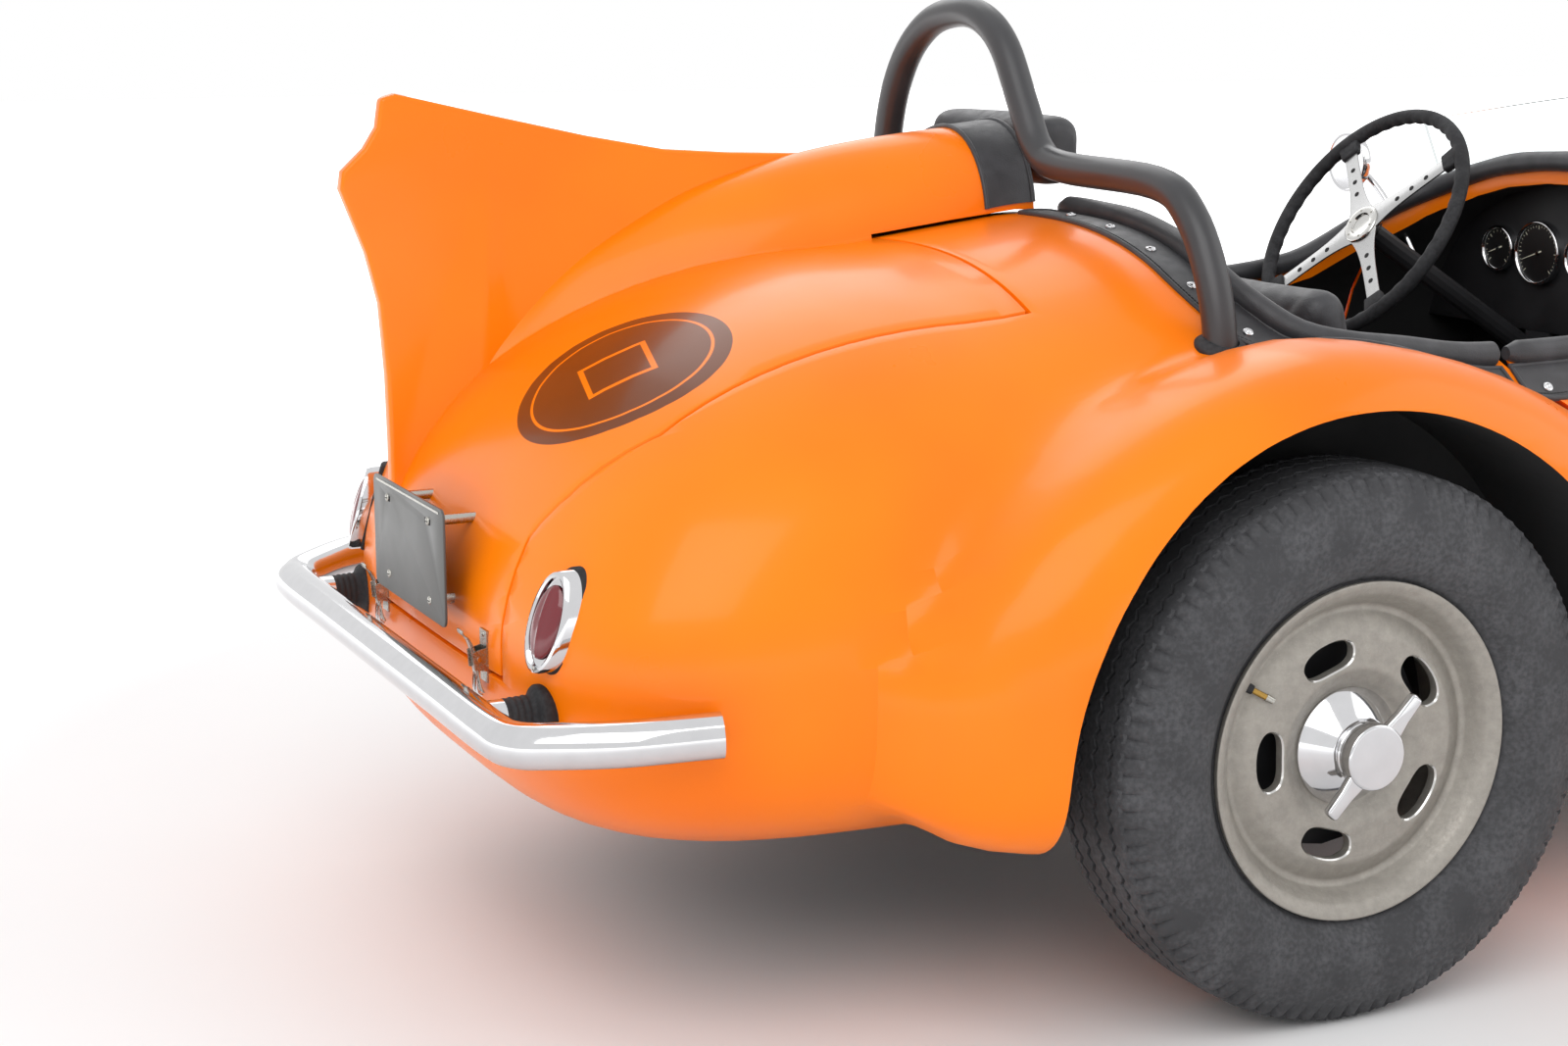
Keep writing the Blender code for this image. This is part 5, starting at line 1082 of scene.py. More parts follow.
def tyre_outline():
    """Outer half of the section, from the bead to the middle of the tread."""
    bead, flange = RIM_SEAT_RADIUS + SEAT_GAP, RIM_FLANGE_RADIUS + SEAT_GAP
    inner_y = RIM_HALF_WIDTH - 0.011 - SEAT_GAP
    wall = smooth_route([(inner_y, flange, 0), (0.085, 0.236, 0), (0.0945, 0.262, 0), (0.0935, 0.292, 0),
                         (0.087, 0.318, 0), (0.080, 0.335, 0)], 7)
    points = [(inner_y, bead)]
    for k, p in enumerate(wall):
        ripple = 0.0006 if k % 4 == 2 else 0.0
        points.append((p.x + ripple, p.y))
    points += [(0.0755, 0.3425), (0.0700, 0.3460), (0.0640, 0.3480)]
    depth = sizes().groove
    for middle, half in ((0.047, 0.0035), (0.016, 0.0035)):
        crown = TYRE_RADIUS - 0.0035 * (middle / 0.064) ** 2
        points += [(middle + half + 0.0055, crown - 0.0002), (middle + half, crown),
                   (middle + half - 0.0012, crown - depth),
                   (middle - half + 0.0012, crown - depth), (middle - half, crown)]
    return points


def make_tyre(name, centre):
    """Tyre with waved grooves in its tread and notches round its shoulders."""
    sizes_now = sizes()
    half = tyre_outline()
    section = half + [(-y, r) for y, r in reversed(half)]
    section += [(-0.050, RIM_SEAT_RADIUS + SEAT_GAP), (-0.066, 0.290), (0.066, 0.290),
                (0.050, RIM_SEAT_RADIUS + SEAT_GAP)]
    steps = sizes_now.tread_waves * 4
    tyre = turned(name, section + [section[0]], (0, 0, 0), steps=steps, material="tyre_rubber")
    for vert in tyre.data.vertices:
        x, y, z = vert.co
        radius, turn = math.hypot(x, z), math.atan2(z, x) / (2 * math.pi)
        if radius > 0.340 and abs(y) < 0.066:
            phase = (turn * sizes_now.tread_waves) % 1.0
            vert.co.y += 0.0042 * (abs(2 * phase - 1) * 2 - 1)
        elif radius > 0.300 and abs(y) > 0.066:
            phase = (turn * sizes_now.serrations) % 1.0
            share = max(0.0, min(1.0, (radius - 0.318) / 0.020))
            notch = max(0.0, 1 - abs(2 * phase - 1) * 1.6)
            scale = 1 - 0.0045 * notch * share / radius
            vert.co.x *= scale
            vert.co.z *= scale
            vert.co.y -= math.copysign(0.004 * notch * share, y)
    tyre.data.transform(Matrix.Translation(centre))
    return tyre


def slot_ring(centre, middle, away, grow, steps=40):
    """Soft kidney outline in the disc, at a distance from the wheel's middle plane."""
    ring = []
    for i in range(steps):
        u, v = power_point(2 * math.pi * (i + 0.4) / steps, 2.6)
        bend = middle + (SLOT_HALF_LENGTH + grow) * u / SLOT_PITCH_RADIUS
        radius = SLOT_PITCH_RADIUS + (SLOT_HALF_WIDTH + grow) * v
        ring.append((centre[0] + radius * math.cos(bend), centre[1] + away,
                     centre[2] + radius * math.sin(bend)))
    return ring


def slot_cutters(centre, side):
    """Five kidney slots in the disc, each with a bright turned bevel."""
    bevel = ((DISC_Y - 0.0022, -0.0004), (DISC_Y + 0.0015, 0.0034))
    walls = ((0.010, 0.0), (0.090, 0.0))
    for k in range(SLOT_COUNT):
        middle = 2 * math.pi * (k + SLOT_PHASE) / SLOT_COUNT
        for material, stops in (("turned_alloy", bevel), ("cast_alloy", walls)):
            yield loft("slot", [slot_ring(centre, middle, side * y, grow) for y, grow in stops],
                       material=material)


def make_rim(name, centre, side):
    seat, inside = RIM_SEAT_RADIUS, RIM_SEAT_RADIUS - 0.010
    flange_y, lip = RIM_HALF_WIDTH - 0.011, RIM_FLANGE_RADIUS
    back, web = DISC_Y - DISC_THICKNESS, HUB_FACE_Y - DISC_THICKNESS
    profile = [(HUB_FACE_Y, 0.0), (HUB_FACE_Y, 0.077), (0.046, 0.084), (DISC_Y, 0.101), (DISC_Y, 0.148),
               (0.047, 0.163), (HUB_FACE_Y, 0.174), (HUB_FACE_Y + 0.002, 0.181), (0.058, 0.190),
               (0.069, 0.1975),
               (0.0755, 0.208), (RIM_HALF_WIDTH, lip - 0.002), (RIM_HALF_WIDTH - 0.001, lip),
               (flange_y, lip - 0.001), (flange_y, seat), (-flange_y, seat), (-flange_y, lip),
               (-RIM_HALF_WIDTH, lip), (-RIM_HALF_WIDTH, lip - 0.007), (-flange_y + 0.004, inside),
               (0.010, inside), (web, GROOVE_RADIUS), (back, 0.148), (back, 0.102), (web, HUB_SEAT_RADIUS),
               (web, HUB_RADIUS), (0.0, HUB_RADIUS), (0.0, 0.0)]
    rim = turned(name, softened(profile, 0.004, 3), centre, outward=side, material="cast_alloy")
    cut(rim, *slot_cutters(centre, side))
    rounded_edges(rim, 0.0009, 2, 55)
    turn = math.radians(149)
    base, middle, tip = (Vector((centre[0] + r * math.cos(turn), centre[1] + side * y,
                                 centre[2] + r * math.sin(turn)))
                         for r, y in ((0.186, 0.047), (0.176, 0.051), (0.152, 0.062)))
    valve = [rod("grommet", base, middle, 0.0068, 0.0058, 20, "moulded_rubber"),
             rod("stem", middle, tip, 0.0040, 0.0038, 18, "brass"),
             rod("cap", middle.lerp(tip, 0.72), tip + (tip - middle) * 0.12, 0.0047, 0.0042, 18,
                 "plated_steel")]
    return merged(name, [rim] + valve)


def make_spinner(name, centre, side):
    """Knock-off cap: a turned cone with a stepped ring and two blades."""
    face = HUB_FACE_Y + SEAT_GAP
    reach = CAP_REACH
    profile = [(face, 0.0), (face, 0.0745), (face + 0.0025, 0.075), (face + 0.032, 0.0425),
               (face + 0.0325, 0.0385), (face + 0.035, 0.0395), (face + 0.038, 0.0370),
               (face + 0.042, 0.0375),
               (face + 0.0445, 0.0415), (reach - 0.002, 0.0420), (reach, 0.0395), (reach, 0.0)]
    cap = turned(name, softened(profile, 0.0012, 3), centre, outward=side, material="polished_steel")
    tilt = math.radians(EAR_TILT_DEG)
    arm = Vector((math.cos(tilt), 0, math.sin(tilt)))
    across = Vector((-math.sin(tilt), 0, math.cos(tilt)))
    outline = []
    for sign in (-1, 1):
        for distance, half in ((-0.093, 0.0075), (-0.089, 0.0095), (-0.060, 0.0105), (-0.040, 0.0135),
                               (0.040, 0.0135), (0.060, 0.0105), (0.089, 0.0095), (0.093, 0.0075))[::-sign]:
            outline.append(arm * distance + across * half * sign)
    ends = sorted((centre[1] + side * (reach - 0.015), centre[1] + side * (reach - 0.003)))
    blades = prism("blades", [(centre[0] + p.x, centre[2] + p.z) for p in outline], "Y", *ends,
                   material="polished_steel")
    rounded_edges(blades, 0.0035, 3, 30)
    return join(cap, blades)


def make_wheels():
    for end, x in (("rear", 0.0), ("front", WHEELBASE)):
        for side, word in SIDES:
            label = end + "_" + word
            centre = (x, side * HALF_TRACK, TYRE_RADIUS)
            body = "wheel_" + label
            place(make_tyre("tyre", centre), "tread_" + label, body, ["tyre_" + label], 28)
            place(make_rim("rim", centre, side), "rim_" + label, body, ["wheel_" + label])
            place(make_spinner("cap", centre, side), "cap_" + label, body, ["spinner_" + label])


def make_front_wing(side, word):
    """Arched wing over a front wheel, with a rolled edge, on two stays from the body."""
    rings = []
    steps, across_steps = 56, 16
    for k in range(steps + 1):
        share = k / steps
        angle = math.radians(15 + (200 - 15) * share)
        flare = 0.060 * max(0.0, (share - 0.7) / 0.3) ** 2
        half = 0.112 * (1 - 0.25 * max(0.0, (0.12 - share) / 0.12) ** 2)
        ring = []
        for lift in (0.010, 0.0):
            order = range(across_steps + 1) if lift else range(across_steps, -1, -1)
            for i in order:
                across = -1 + 2 * i / across_steps
                radius = 0.408 + flare + 0.030 * rounded(across * 0.98, 2.2) + lift
                ring.append((WHEELBASE + radius * math.cos(angle), side * (HALF_TRACK + across * half),
                             TYRE_RADIUS + radius * math.sin(angle)))
        rings.append(ring)
    wing = loft("wing", rings, material="body_enamel")
    rounded_edges(wing, 0.003, 2, 60)
    stays = []
    for angle_deg in (68, 112):
        angle = math.radians(angle_deg)
        x = WHEELBASE + 0.422 * math.cos(angle)
        z = TYRE_RADIUS + 0.422 * math.sin(angle)
        inner = side_y(x, z) - 0.004
        stays.append(rod("stay", (x, side * inner, z), (x, side * (HALF_TRACK - 0.092), z), 0.011, steps=24,
                         material="body_enamel"))
        stays.append(rod("foot", (x, side * (inner - 0.002), z), (x, side * (inner + 0.012), z), 0.019, 0.013,
                         steps=24,
                         material="moulded_rubber"))
    place(merged("wing", [wing] + stays), "front_wing_panel_" + word, "chassis",
          ["front_wing_" + word])


def slotted_screw(centre, direction, radius, material="plated_steel"):
    """Domed screw head with a slot, facing along a direction."""
    direction = Vector(direction).normalized()
    turn = direction.to_track_quat("Z", "Y").to_matrix().to_4x4()
    bm = bmesh.new()
    bmesh.ops.create_uvsphere(bm, u_segments=20, v_segments=10, radius=radius)
    bmesh.ops.bisect_plane(bm, geom=bm.verts[:] + bm.edges[:] + bm.faces[:], plane_co=(0, 0, 0),
                           plane_no=(0, 0, 1),
                           clear_inner=True)
    rim = [e for e in bm.edges if len(e.link_faces) == 1]
    bmesh.ops.holes_fill(bm, edges=rim)
    bmesh.ops.scale(bm, verts=bm.verts, vec=(1, 1, 0.45))
    bmesh.ops.recalc_face_normals(bm, faces=bm.faces)
    head = mesh_object("screw", bm, material)
    # The slot's faces take the cutter's near-black: painted shade in the slot.
    cut(head, box("slot", (-radius * 1.2, -radius * 0.12, radius * 0.22),
                  (radius * 1.2, radius * 0.12, radius), "lining_and_shade"))
    head.data.transform(Matrix.Translation(centre) @ turn)
    return head


def make_bumper():
    """Polished tube on two sleeved stubs, each through a rubber boot."""
    end_x, end_y, end_z = BUMPER_END
    path = [(end_x, -end_y, end_z), (-0.905, -0.572, 0.430),
            (-0.975, -BUMPER_BEND_Y - 0.062, BUMPER_Z + 0.004),
            (-1.010, -BUMPER_BEND_Y - 0.025, BUMPER_Z), (BUMPER_X, -BUMPER_BEND_Y + 0.030, BUMPER_Z),
            (BUMPER_X, -0.25, BUMPER_Z), (BUMPER_X, 0, BUMPER_Z)]
    path += [(x, -y, z) for x, y, z in reversed(path[:-1])]
    parts = [tube("bar", smooth_route(path, 8), BUMPER_RADIUS, 40, material="polished_steel")]
    for side, _ in SIDES:
        y = side * STUB_Y
        parts.append(rod("sleeve", (BUMPER_X, y, BUMPER_Z), (-0.90, y, BUMPER_Z), STUB_RADIUS, steps=40,
                         material="polished_steel"))
        parts.append(rod("collar", (BUMPER_X + 0.012, y, BUMPER_Z), (-0.986, y, BUMPER_Z), 0.0232, steps=40,
                         material="polished_steel"))
        ring = [(0.0, 0.0), (0.0, 0.0225), (0.003, 0.0240), (0.008, 0.0230), (0.012, 0.0248), (0.016, 0.0232),
                (0.020, 0.0250), (0.024, 0.0234), (0.028, 0.0256), (0.032, 0.0240), (0.037, 0.0268),
                (0.041, 0.0340),
                (0.044, 0.0362), (0.052, 0.0362), (0.056, 0.0340), (0.110, 0.0330), (0.110, 0.0)]
        parts.append(turned("boot", softened(ring, 0.0018, 3), (-0.988, y, BUMPER_Z), axis="X", steps=48,
                            material="moulded_rubber"))
    place(merged("bumper", parts), "bumper_bar", "chassis", ["rear_bumper"])


def oval_ring(x, share, side, grow=0.0, steps=72):
    """Upright oval that leans with the body's side and deck."""
    ring = []
    for k in range(steps):
        turn = 2 * math.pi * k / steps
        out = (share * LAMP_HALF_WIDTH + grow) * math.cos(turn)
        up = (share * LAMP_HALF_HEIGHT + grow) * math.sin(turn)
        ring.append((x + LAMP_SWEEP * out + LAMP_LEAN * up, side * (LAMP_Y + out), LAMP_Z + up))
    return ring


def make_tail_lamp(side, word):
    """Tall oval lamp: rubber gasket, polished bezel, ribbed lens with a ridge down its middle."""
    rear = LAMP_REAR_X
    gasket = loft("gasket", [oval_ring(-0.87, 1.0, side, 0.003), oval_ring(rear + 0.029, 1.0, side, 0.003),
                             oval_ring(rear + 0.026, 1.0, side, 0.001)], material="moulded_rubber")
    bezel = loft("bezel", [oval_ring(-0.88, 1.0, side), oval_ring(rear + 0.012, 1.0, side),
                           oval_ring(rear + 0.0075, 1.0, side, -0.0015),
                           oval_ring(rear + 0.006, 1.0, side, -0.0045),
                           oval_ring(rear + 0.0075, 1.0, side, -0.0075),
                           oval_ring(rear + 0.012, 1.0, side, -0.0085)],
                 material="polished_steel")
    rings = []
    for k in range(9):
        turn = 0.5 * math.pi * k / 8
        share = math.cos(turn) * 0.72 + 0.003
        rings.append(oval_ring(rear + 0.010 - 0.0095 * math.sin(turn), share, side))
    lens = loft("lens", rings, material="red_lens")
    for vert in lens.data.vertices:
        out, up = side * vert.co.y - LAMP_Y, vert.co.z - LAMP_Z
        face_x = vert.co.x - LAMP_SWEEP * out - LAMP_LEAN * up
        if abs(out) < 0.004:
            vert.co.x -= 0.0015 * (1 - abs(out) / 0.004) * (face_x < rear + 0.007)
    low = 0.0062 - LAMP_HALF_HEIGHT
    screw = slotted_screw((rear + 0.0068 + LAMP_LEAN * low, side * LAMP_Y, LAMP_Z + low), (-1, 0, 0), 0.0036)
    lamp = merged("lamp", [gasket, bezel, lens, screw])
    place(lamp, "rear_lamp_" + word, "chassis", ["tail_lamp_" + word])


def rounded_plate(half_width, half_height, corner, x, thickness, material, steps=8):
    outline = []
    for cy, cz, start in ((1, 1, 0), (-1, 1, 90), (-1, -1, 180), (1, -1, 270)):
        for k in range(steps + 1):
            a = math.radians(start + 90 * k / steps)
            outline.append((cy * (half_width - corner) + corner * math.cos(a),
                            PLATE_Z + cz * (half_height - corner) + corner * math.sin(a)))
    return prism("plate", outline, "X", x, x + thickness, material)


def make_plate():
    """Blank plate with a bright top strip, on four round standoffs with rubber washers."""
    plate = rounded_plate(PLATE_HALF_WIDTH, PLATE_HALF_HEIGHT, 0.012, PLATE_X, 0.0035, "plate_enamel")
    # The slots' walls take the cutter's near-black: painted shade inside them.
    for y in (-0.088, 0.088):
        cut(plate, box("slot", (PLATE_X - 0.01, y - 0.011, PLATE_Z + 0.048),
                       (PLATE_X + 0.01, y + 0.011, PLATE_Z + 0.055), "lining_and_shade"))
    rounded_edges(plate, 0.0008)
    parts = [plate]
    strip = box("strip", (PLATE_X - 0.0008, -PLATE_HALF_WIDTH + 0.016, PLATE_Z + PLATE_HALF_HEIGHT - 0.0075),
                (PLATE_X + 0.001, PLATE_HALF_WIDTH - 0.016, PLATE_Z + PLATE_HALF_HEIGHT - 0.0045),
                "plated_steel")
    parts.append(strip)
    for y in (-STANDOFF_Y, STANDOFF_Y):
        for z in (PLATE_Z - STANDOFF_Z, PLATE_Z + STANDOFF_Z):
            parts.append(rod("standoff", (PLATE_X + 0.006, y, z), (-0.88, y, z), 0.0068, steps=24,
                             material="plated_steel"))
            parts.append(rod("washer", (PLATE_X + 0.0036, y, z), (PLATE_X + 0.0075, y, z), 0.0082, steps=24,
                             material="moulded_rubber"))
            parts.append(slotted_screw((PLATE_X, y, z), (-1, 0, 0), 0.0058))
    place(merged("plate", parts), "blank_plate", "boot_lid", ["number_plate"])


def make_latch(side, word):
    """Over-centre latch: backing plate, bent lever with a curled lip, claw and pivot."""
    y = side * LATCH_Y
    parts = []
    parts.append(box("back", (-0.9385, y - 0.013, LATCH_BOTTOM_Z + 0.016),
                     (-0.925, y + 0.013, LATCH_TOP_Z - 0.004), "plated_steel"))
    lever_line = [(-0.9430, LATCH_BOTTOM_Z + 0.002), (-0.9470, LATCH_BOTTOM_Z + 0.012),
                  (-0.9505, LATCH_BOTTOM_Z + 0.030),
                  (-0.9530, LATCH_BOTTOM_Z + 0.048), (-0.9560, LATCH_BOTTOM_Z + 0.062),
                  (-0.9620, LATCH_BOTTOM_Z + 0.074),
                  (-0.9680, LATCH_BOTTOM_Z + 0.079), (-0.9695, LATCH_BOTTOM_Z + 0.0845)]
    route = smooth_route([(x, z, 0) for x, z in lever_line], 4)
    outline = [(p.x, p.y) for p in route] + [(p.x + 0.0024, p.y + 0.0006) for p in reversed(route)]
    lever = prism("lever", outline, "Y", y - 0.010, y + 0.010, "plated_steel")
    rounded_edges(lever, 0.0007, 2, 50)
    parts.append(lever)
    for sign in (-1, 1):
        cheek = [(-0.9350, LATCH_BOTTOM_Z + 0.030), (-0.9540, LATCH_BOTTOM_Z + 0.034),
                 (-0.9560, LATCH_BOTTOM_Z + 0.056),
                 (-0.9350, LATCH_BOTTOM_Z + 0.062)]
        parts.append(prism("cheek", cheek, "Y", y + sign * 0.0115 - 0.001, y + sign * 0.0115 + 0.001,
                           "plated_steel"))
    parts.append(rod("pivot", (-0.9480, y - 0.0135, LATCH_BOTTOM_Z + 0.047),
                     (-0.9480, y + 0.0135, LATCH_BOTTOM_Z + 0.047),
                     0.0030, steps=20, material="polished_steel"))
    claw = smooth_route([(-0.9450, y, LATCH_BOTTOM_Z + 0.040), (-0.9500, y, LATCH_BOTTOM_Z + 0.020),
                         (-0.9490, y, LATCH_BOTTOM_Z + 0.004), (-0.9430, y, LATCH_BOTTOM_Z - 0.001)], 5)
    for sign in (-1, 1):
        parts.append(tube("claw", [p + Vector((0, sign * 0.0060, 0)) for p in claw], 0.0019, 14,
                          material="polished_steel"))
    parts.append(slotted_screw((-0.9385, y, LATCH_TOP_Z - 0.010), (-1, 0, 0), 0.0036))
    latch = merged("latch", parts)
    latch.data.transform(Matrix.Translation((-0.017, 0, 0)))
    place(latch, "draw_latch_" + word, "boot_lid", ["latch_" + word])


def make_hoop():
    """Bent tube with a rubber grommet where each leg goes through the deck."""
    route = smooth_route([(HOOP_X, y, z) for y, z in HOOP_PATH], 6)
    parts = [tube("hoop", route, HOOP_RADIUS, 36, material="tube_enamel")]
    for y in (HOOP_PATH[0][0], HOOP_PATH[-1][0]):
        z = top_z(HOOP_X, y)
        tilt = math.atan2(top_z(HOOP_X, y + 0.02) - top_z(HOOP_X, y - 0.02), 0.04)
        collar = turned("grommet",
                        softened([(-0.006, 0.018), (-0.006, 0.036), (0.003, 0.036), (0.010, 0.026),
                                  (0.010, 0.0218)],
                                            0.003, 3), (0, 0, 0), axis="X", steps=48,
                        material="moulded_rubber")
        turn = Matrix.Translation((HOOP_X, y,
                                   z)) @ Matrix.Rotation(tilt, 4, "X") @ Matrix.Rotation(-math.pi / 2, 4, "Y")
        collar.data.transform(turn)
        parts.append(collar)
    place(merged("hoop", parts), "hoop_tube", "chassis", ["roll_hoop"])


def along_deck(points, lift=0.0):
    return [Vector((x, y, top_z(x, y) + lift)) for x, y in points]


def plan_normals(route, outward_from):
    """Unit normals in plan, away from a middle."""
    normals = []
    for i, p in enumerate(route):
        before, after = route[max(0, i - 1)], route[min(len(route) - 1, i + 1)]
        n = Vector((-(after[1] - before[1]), after[0] - before[0]))
        n.normalize()
        if n.dot(Vector((p[0] - outward_from[0], p[1] - outward_from[1]))) < 0:
            n = -n
        normals.append(n)
    return normals


def hide_strip(route, near, far, middle, thickness=0.0035):
    """Leather laid on the body beside a route in plan, piped and stitched, and its snaps' places."""
    normals = plan_normals(route, middle)
    lanes = 9
    rows = []
    for p, n in zip(route, normals):
        rows.append([(p[0] + n.x * (near + (far - near) * j / (lanes - 1)),
                      p[1] + n.y * (near + (far - near) * j / (lanes - 1)))
                     for j in range(lanes)])
    tops = []
    for row in rows:
        tops.append([Vector((x, y, top_z(x, y) + thickness * (1 - 0.25 * abs(2 * j / (lanes - 1) - 1) ** 4)))
                     for j, (x, y) in enumerate(row)])
    rings = []
    for row in tops:
        under = [p - Vector((0, 0, thickness + 0.002)) for p in reversed(row)]
        rings.append(row + under)
    parts = [loft("strip", rings, material="leather")]
    drop = Vector((0, 0, thickness * 0.3))
    outer = [row[-1] - drop for row in tops]
    inner = [row[0] - drop for row in tops]
    border = outer + [tops[-1][j] - drop for j in range(lanes - 2, 0, -1)]
    border += list(reversed(inner)) + [tops[0][j] - drop for j in range(1, lanes - 1)]
    parts.append(tube("piping", border, sizes().piping, 12, closed=True, material="leather"))
    lane = [row[-2].lerp(row[-1], 0.25) for row in tops]
    parts.append(stitches([p + Vector((0, 0, 0.0003)) for p in lane]))
    return parts, tops


def evenly(points, pitch):
    """Places along a route at an even pitch, each with its direction."""
    result = []
    carried = 0.0
    for a, b in zip(points, points[1:]):
        a, b = Vector(a), Vector(b)
        length = (b - a).length
        while carried < length:
            result.append((a.lerp(b, carried / length), (b - a).normalized()))
            carried += pitch
        carried -= length
    return result


def stitches(points, thread=0.0007):
    """Row of short thread stitches as one mesh."""
    bm = bmesh.new()
    pitch = sizes().stitch
    for spot, along in evenly(points, pitch):
        turn = along.to_track_quat("Z", "Y").to_matrix().to_4x4()
        bmesh.ops.create_cone(bm, cap_ends=True, segments=6, radius1=thread, radius2=thread,
                              depth=pitch * 0.68,
                              matrix=Matrix.Translation(spot) @ turn)
    return mesh_object("stitches", bm, "thread")


def snap(point, normal=(0, 0, 1), radius=0.0075):
    """Domed press stud with a rolled rim."""
    turn = Vector(normal).normalized().to_track_quat("X", "Z").to_matrix().to_4x4()
    stud = turned("stud", softened([(-0.002, 0.0), (-0.002, radius), (0.0012, radius),
                                    (0.0022, radius * 0.72),
                                    (0.0016, radius * 0.58), (0.0034, radius * 0.30), (0.0036, 0.0)], 0.0006,
                                   2),
                  (0, 0, 0), axis="X", steps=28, material="polished_steel")
    stud.data.transform(Matrix.Translation(point) @ turn)
    return stud


def surface_normal(x, y):
    step = 0.004
    slope_x = (top_z(x + step, y) - top_z(x - step, y)) / (2 * step)
    slope_y = (top_z(x, y + step) - top_z(x, y - step)) / (2 * step)
    return Vector((-slope_x, -slope_y, 1)).normalized()


def corner_arc(front, angles):
    """Points round a front or rear corner of the cockpit, on its left side."""
    r, half = COCKPIT_CORNER, COCKPIT_HALF_WIDTH
    if front:
        return [(COCKPIT_FRONT_X - r + r * math.cos(math.radians(a)),
                 half - r + r * math.sin(math.radians(a))) for a in angles]
    return [(COCKPIT_REAR_X + r - r * math.cos(math.radians(a)), half - r + r * math.sin(math.radians(a)))
            for a in angles]


def refined(points, pitch=0.02):
    return [(p.x, p.y) for p, _ in evenly([(x, y, 0) for x, y in points], pitch)] + [points[-1]]


def make_cockpit_leather():
    """Padded rolls and flat snapped bands round the cockpit, with pads and flaps on the doors."""
    half = COCKPIT_HALF_WIDTH
    middle = ((COCKPIT_REAR_X + COCKPIT_FRONT_X) / 2, 0.0)
    stop = DOOR_OUTLINE[0][0] - PANEL_GAP
    front_stop = DOOR_FRONT_X + PAD_END_GAP + PANEL_GAP
    pad_side = FAIRING_Y - PAD_HALF_WIDTH - 0.012
    turns = [5 * k for k in range(19)]
    rear = corner_arc(False, turns)
    front = corner_arc(True, list(reversed(turns)))
    routes = {
        "right": [(COCKPIT_REAR_X, pad_side)] + [(x, -y) for x, y in rear] + [(stop, -half)],
        "left": [(COCKPIT_REAR_X + 0.012, 0.445)] + rear[9:] + [(stop, half)],
        "front": [(front_stop, half)] + front + [(x, -y) for x, y in reversed(front)] + [(front_stop, -half)]}
    for word, route in routes.items():
        route = refined(route)
        spine = along_deck(route, ROLL_RADIUS * 0.55)
        count = len(spine) - 1
        parts = [tube("roll", spine, lambda s, n=count: ROLL_RADIUS * (1 + 0.035 * math.sin(s * n * 0.8))
                      * (0.55 + 0.45 * rounded(2 * s - 1, 24)), 24, material="leather")]
        strip, tops = hide_strip(route, 0.012, 0.072, middle)
        parts += strip
        for k, (spot, _) in enumerate(evenly([row[5] for row in tops], 0.105)):
            if k:
                parts.append(snap(spot + Vector((0, 0, 0.0012)), surface_normal(spot.x, spot.y)))
        place(merged("leather", parts), "cockpit_edge_" + word, "chassis", ["coaming_" + word], 40)
    for side, word in SIDES:
        low, high = DOOR_OUTLINE[0][0] + PAD_END_GAP, DOOR_FRONT_X - PAD_END_GAP
        route = refined([(low, side * half), (high, side * half)])
        spine = along_deck(route, ROLL_RADIUS * 0.55)
        parts = [tube("roll", spine, lambda s: ROLL_RADIUS * (0.55 + 0.45 * rounded(2 * s - 1, 24)), 24,
                      material="leather")]
        strip, tops = hide_strip(route, 0.010, 0.052, middle)
        parts += strip
        for row in (tops[2], tops[-3]):
            spot = row[6]
            parts.append(snap(spot + Vector((0, 0, 0.0012)), surface_normal(spot.x, spot.y)))
        place(merged("leather", parts), "door_top_" + word, "door_" + word, ["door_pad_" + word],
              40)


def inflate(obj, voxel, cap, pressure=4.0):
    """Swell a closed form as stuffed cloth does, and keep its swelling within a cap."""
    remesh = obj.modifiers.new("remesh", "REMESH")
    remesh.mode = "VOXEL"
    remesh.voxel_size = voxel
    solidly(obj)
    before = [v.co.copy() for v in obj.data.vertices]
    cloth = obj.modifiers.new("cloth", "CLOTH")
    cloth.settings.use_pressure = True
    cloth.settings.uniform_pressure_force = pressure
    cloth.settings.effector_weights.gravity = 0.0
    cloth.settings.quality = 4
    scene = bpy.context.scene
    for number in range(1, 21):
        scene.frame_set(number)
    bpy.context.view_layer.update()
    swollen = obj.evaluated_get(bpy.context.evaluated_depsgraph_get()).data
    after = [v.co.copy() for v in swollen.vertices]
    obj.modifiers.clear()
    for vert, old, new in zip(obj.data.vertices, before, after):
        move = new - old
        if move.length > cap:
            move = move.normalized() * cap
        vert.co = old + move
    scene.frame_set(1)
    return obj


def padded_box(name, size, corner, voxel, cap, matrix):
    """Cushion from a soft-cornered block, swollen and then set in its place."""
    bm = bmesh.new()
    bmesh.ops.create_cube(bm, size=1.0, matrix=Matrix.Diagonal((*[s - 2 * cap * 0.8 for s in size], 1)))
    bmesh.ops.bevel(bm, geom=bm.edges[:], offset=corner, offset_type="OFFSET", affect="EDGES", segments=4,
                    profile=0.5,
                    material=-1)
    pad = inflate(mesh_object(name, bm, "leather"), voxel, cap)
    smooth = pad.modifiers.new("smooth", "SUBSURF")
    smooth.levels = smooth.render_levels = 1
    solidly(pad)
    pad.data.transform(matrix)
    return pad


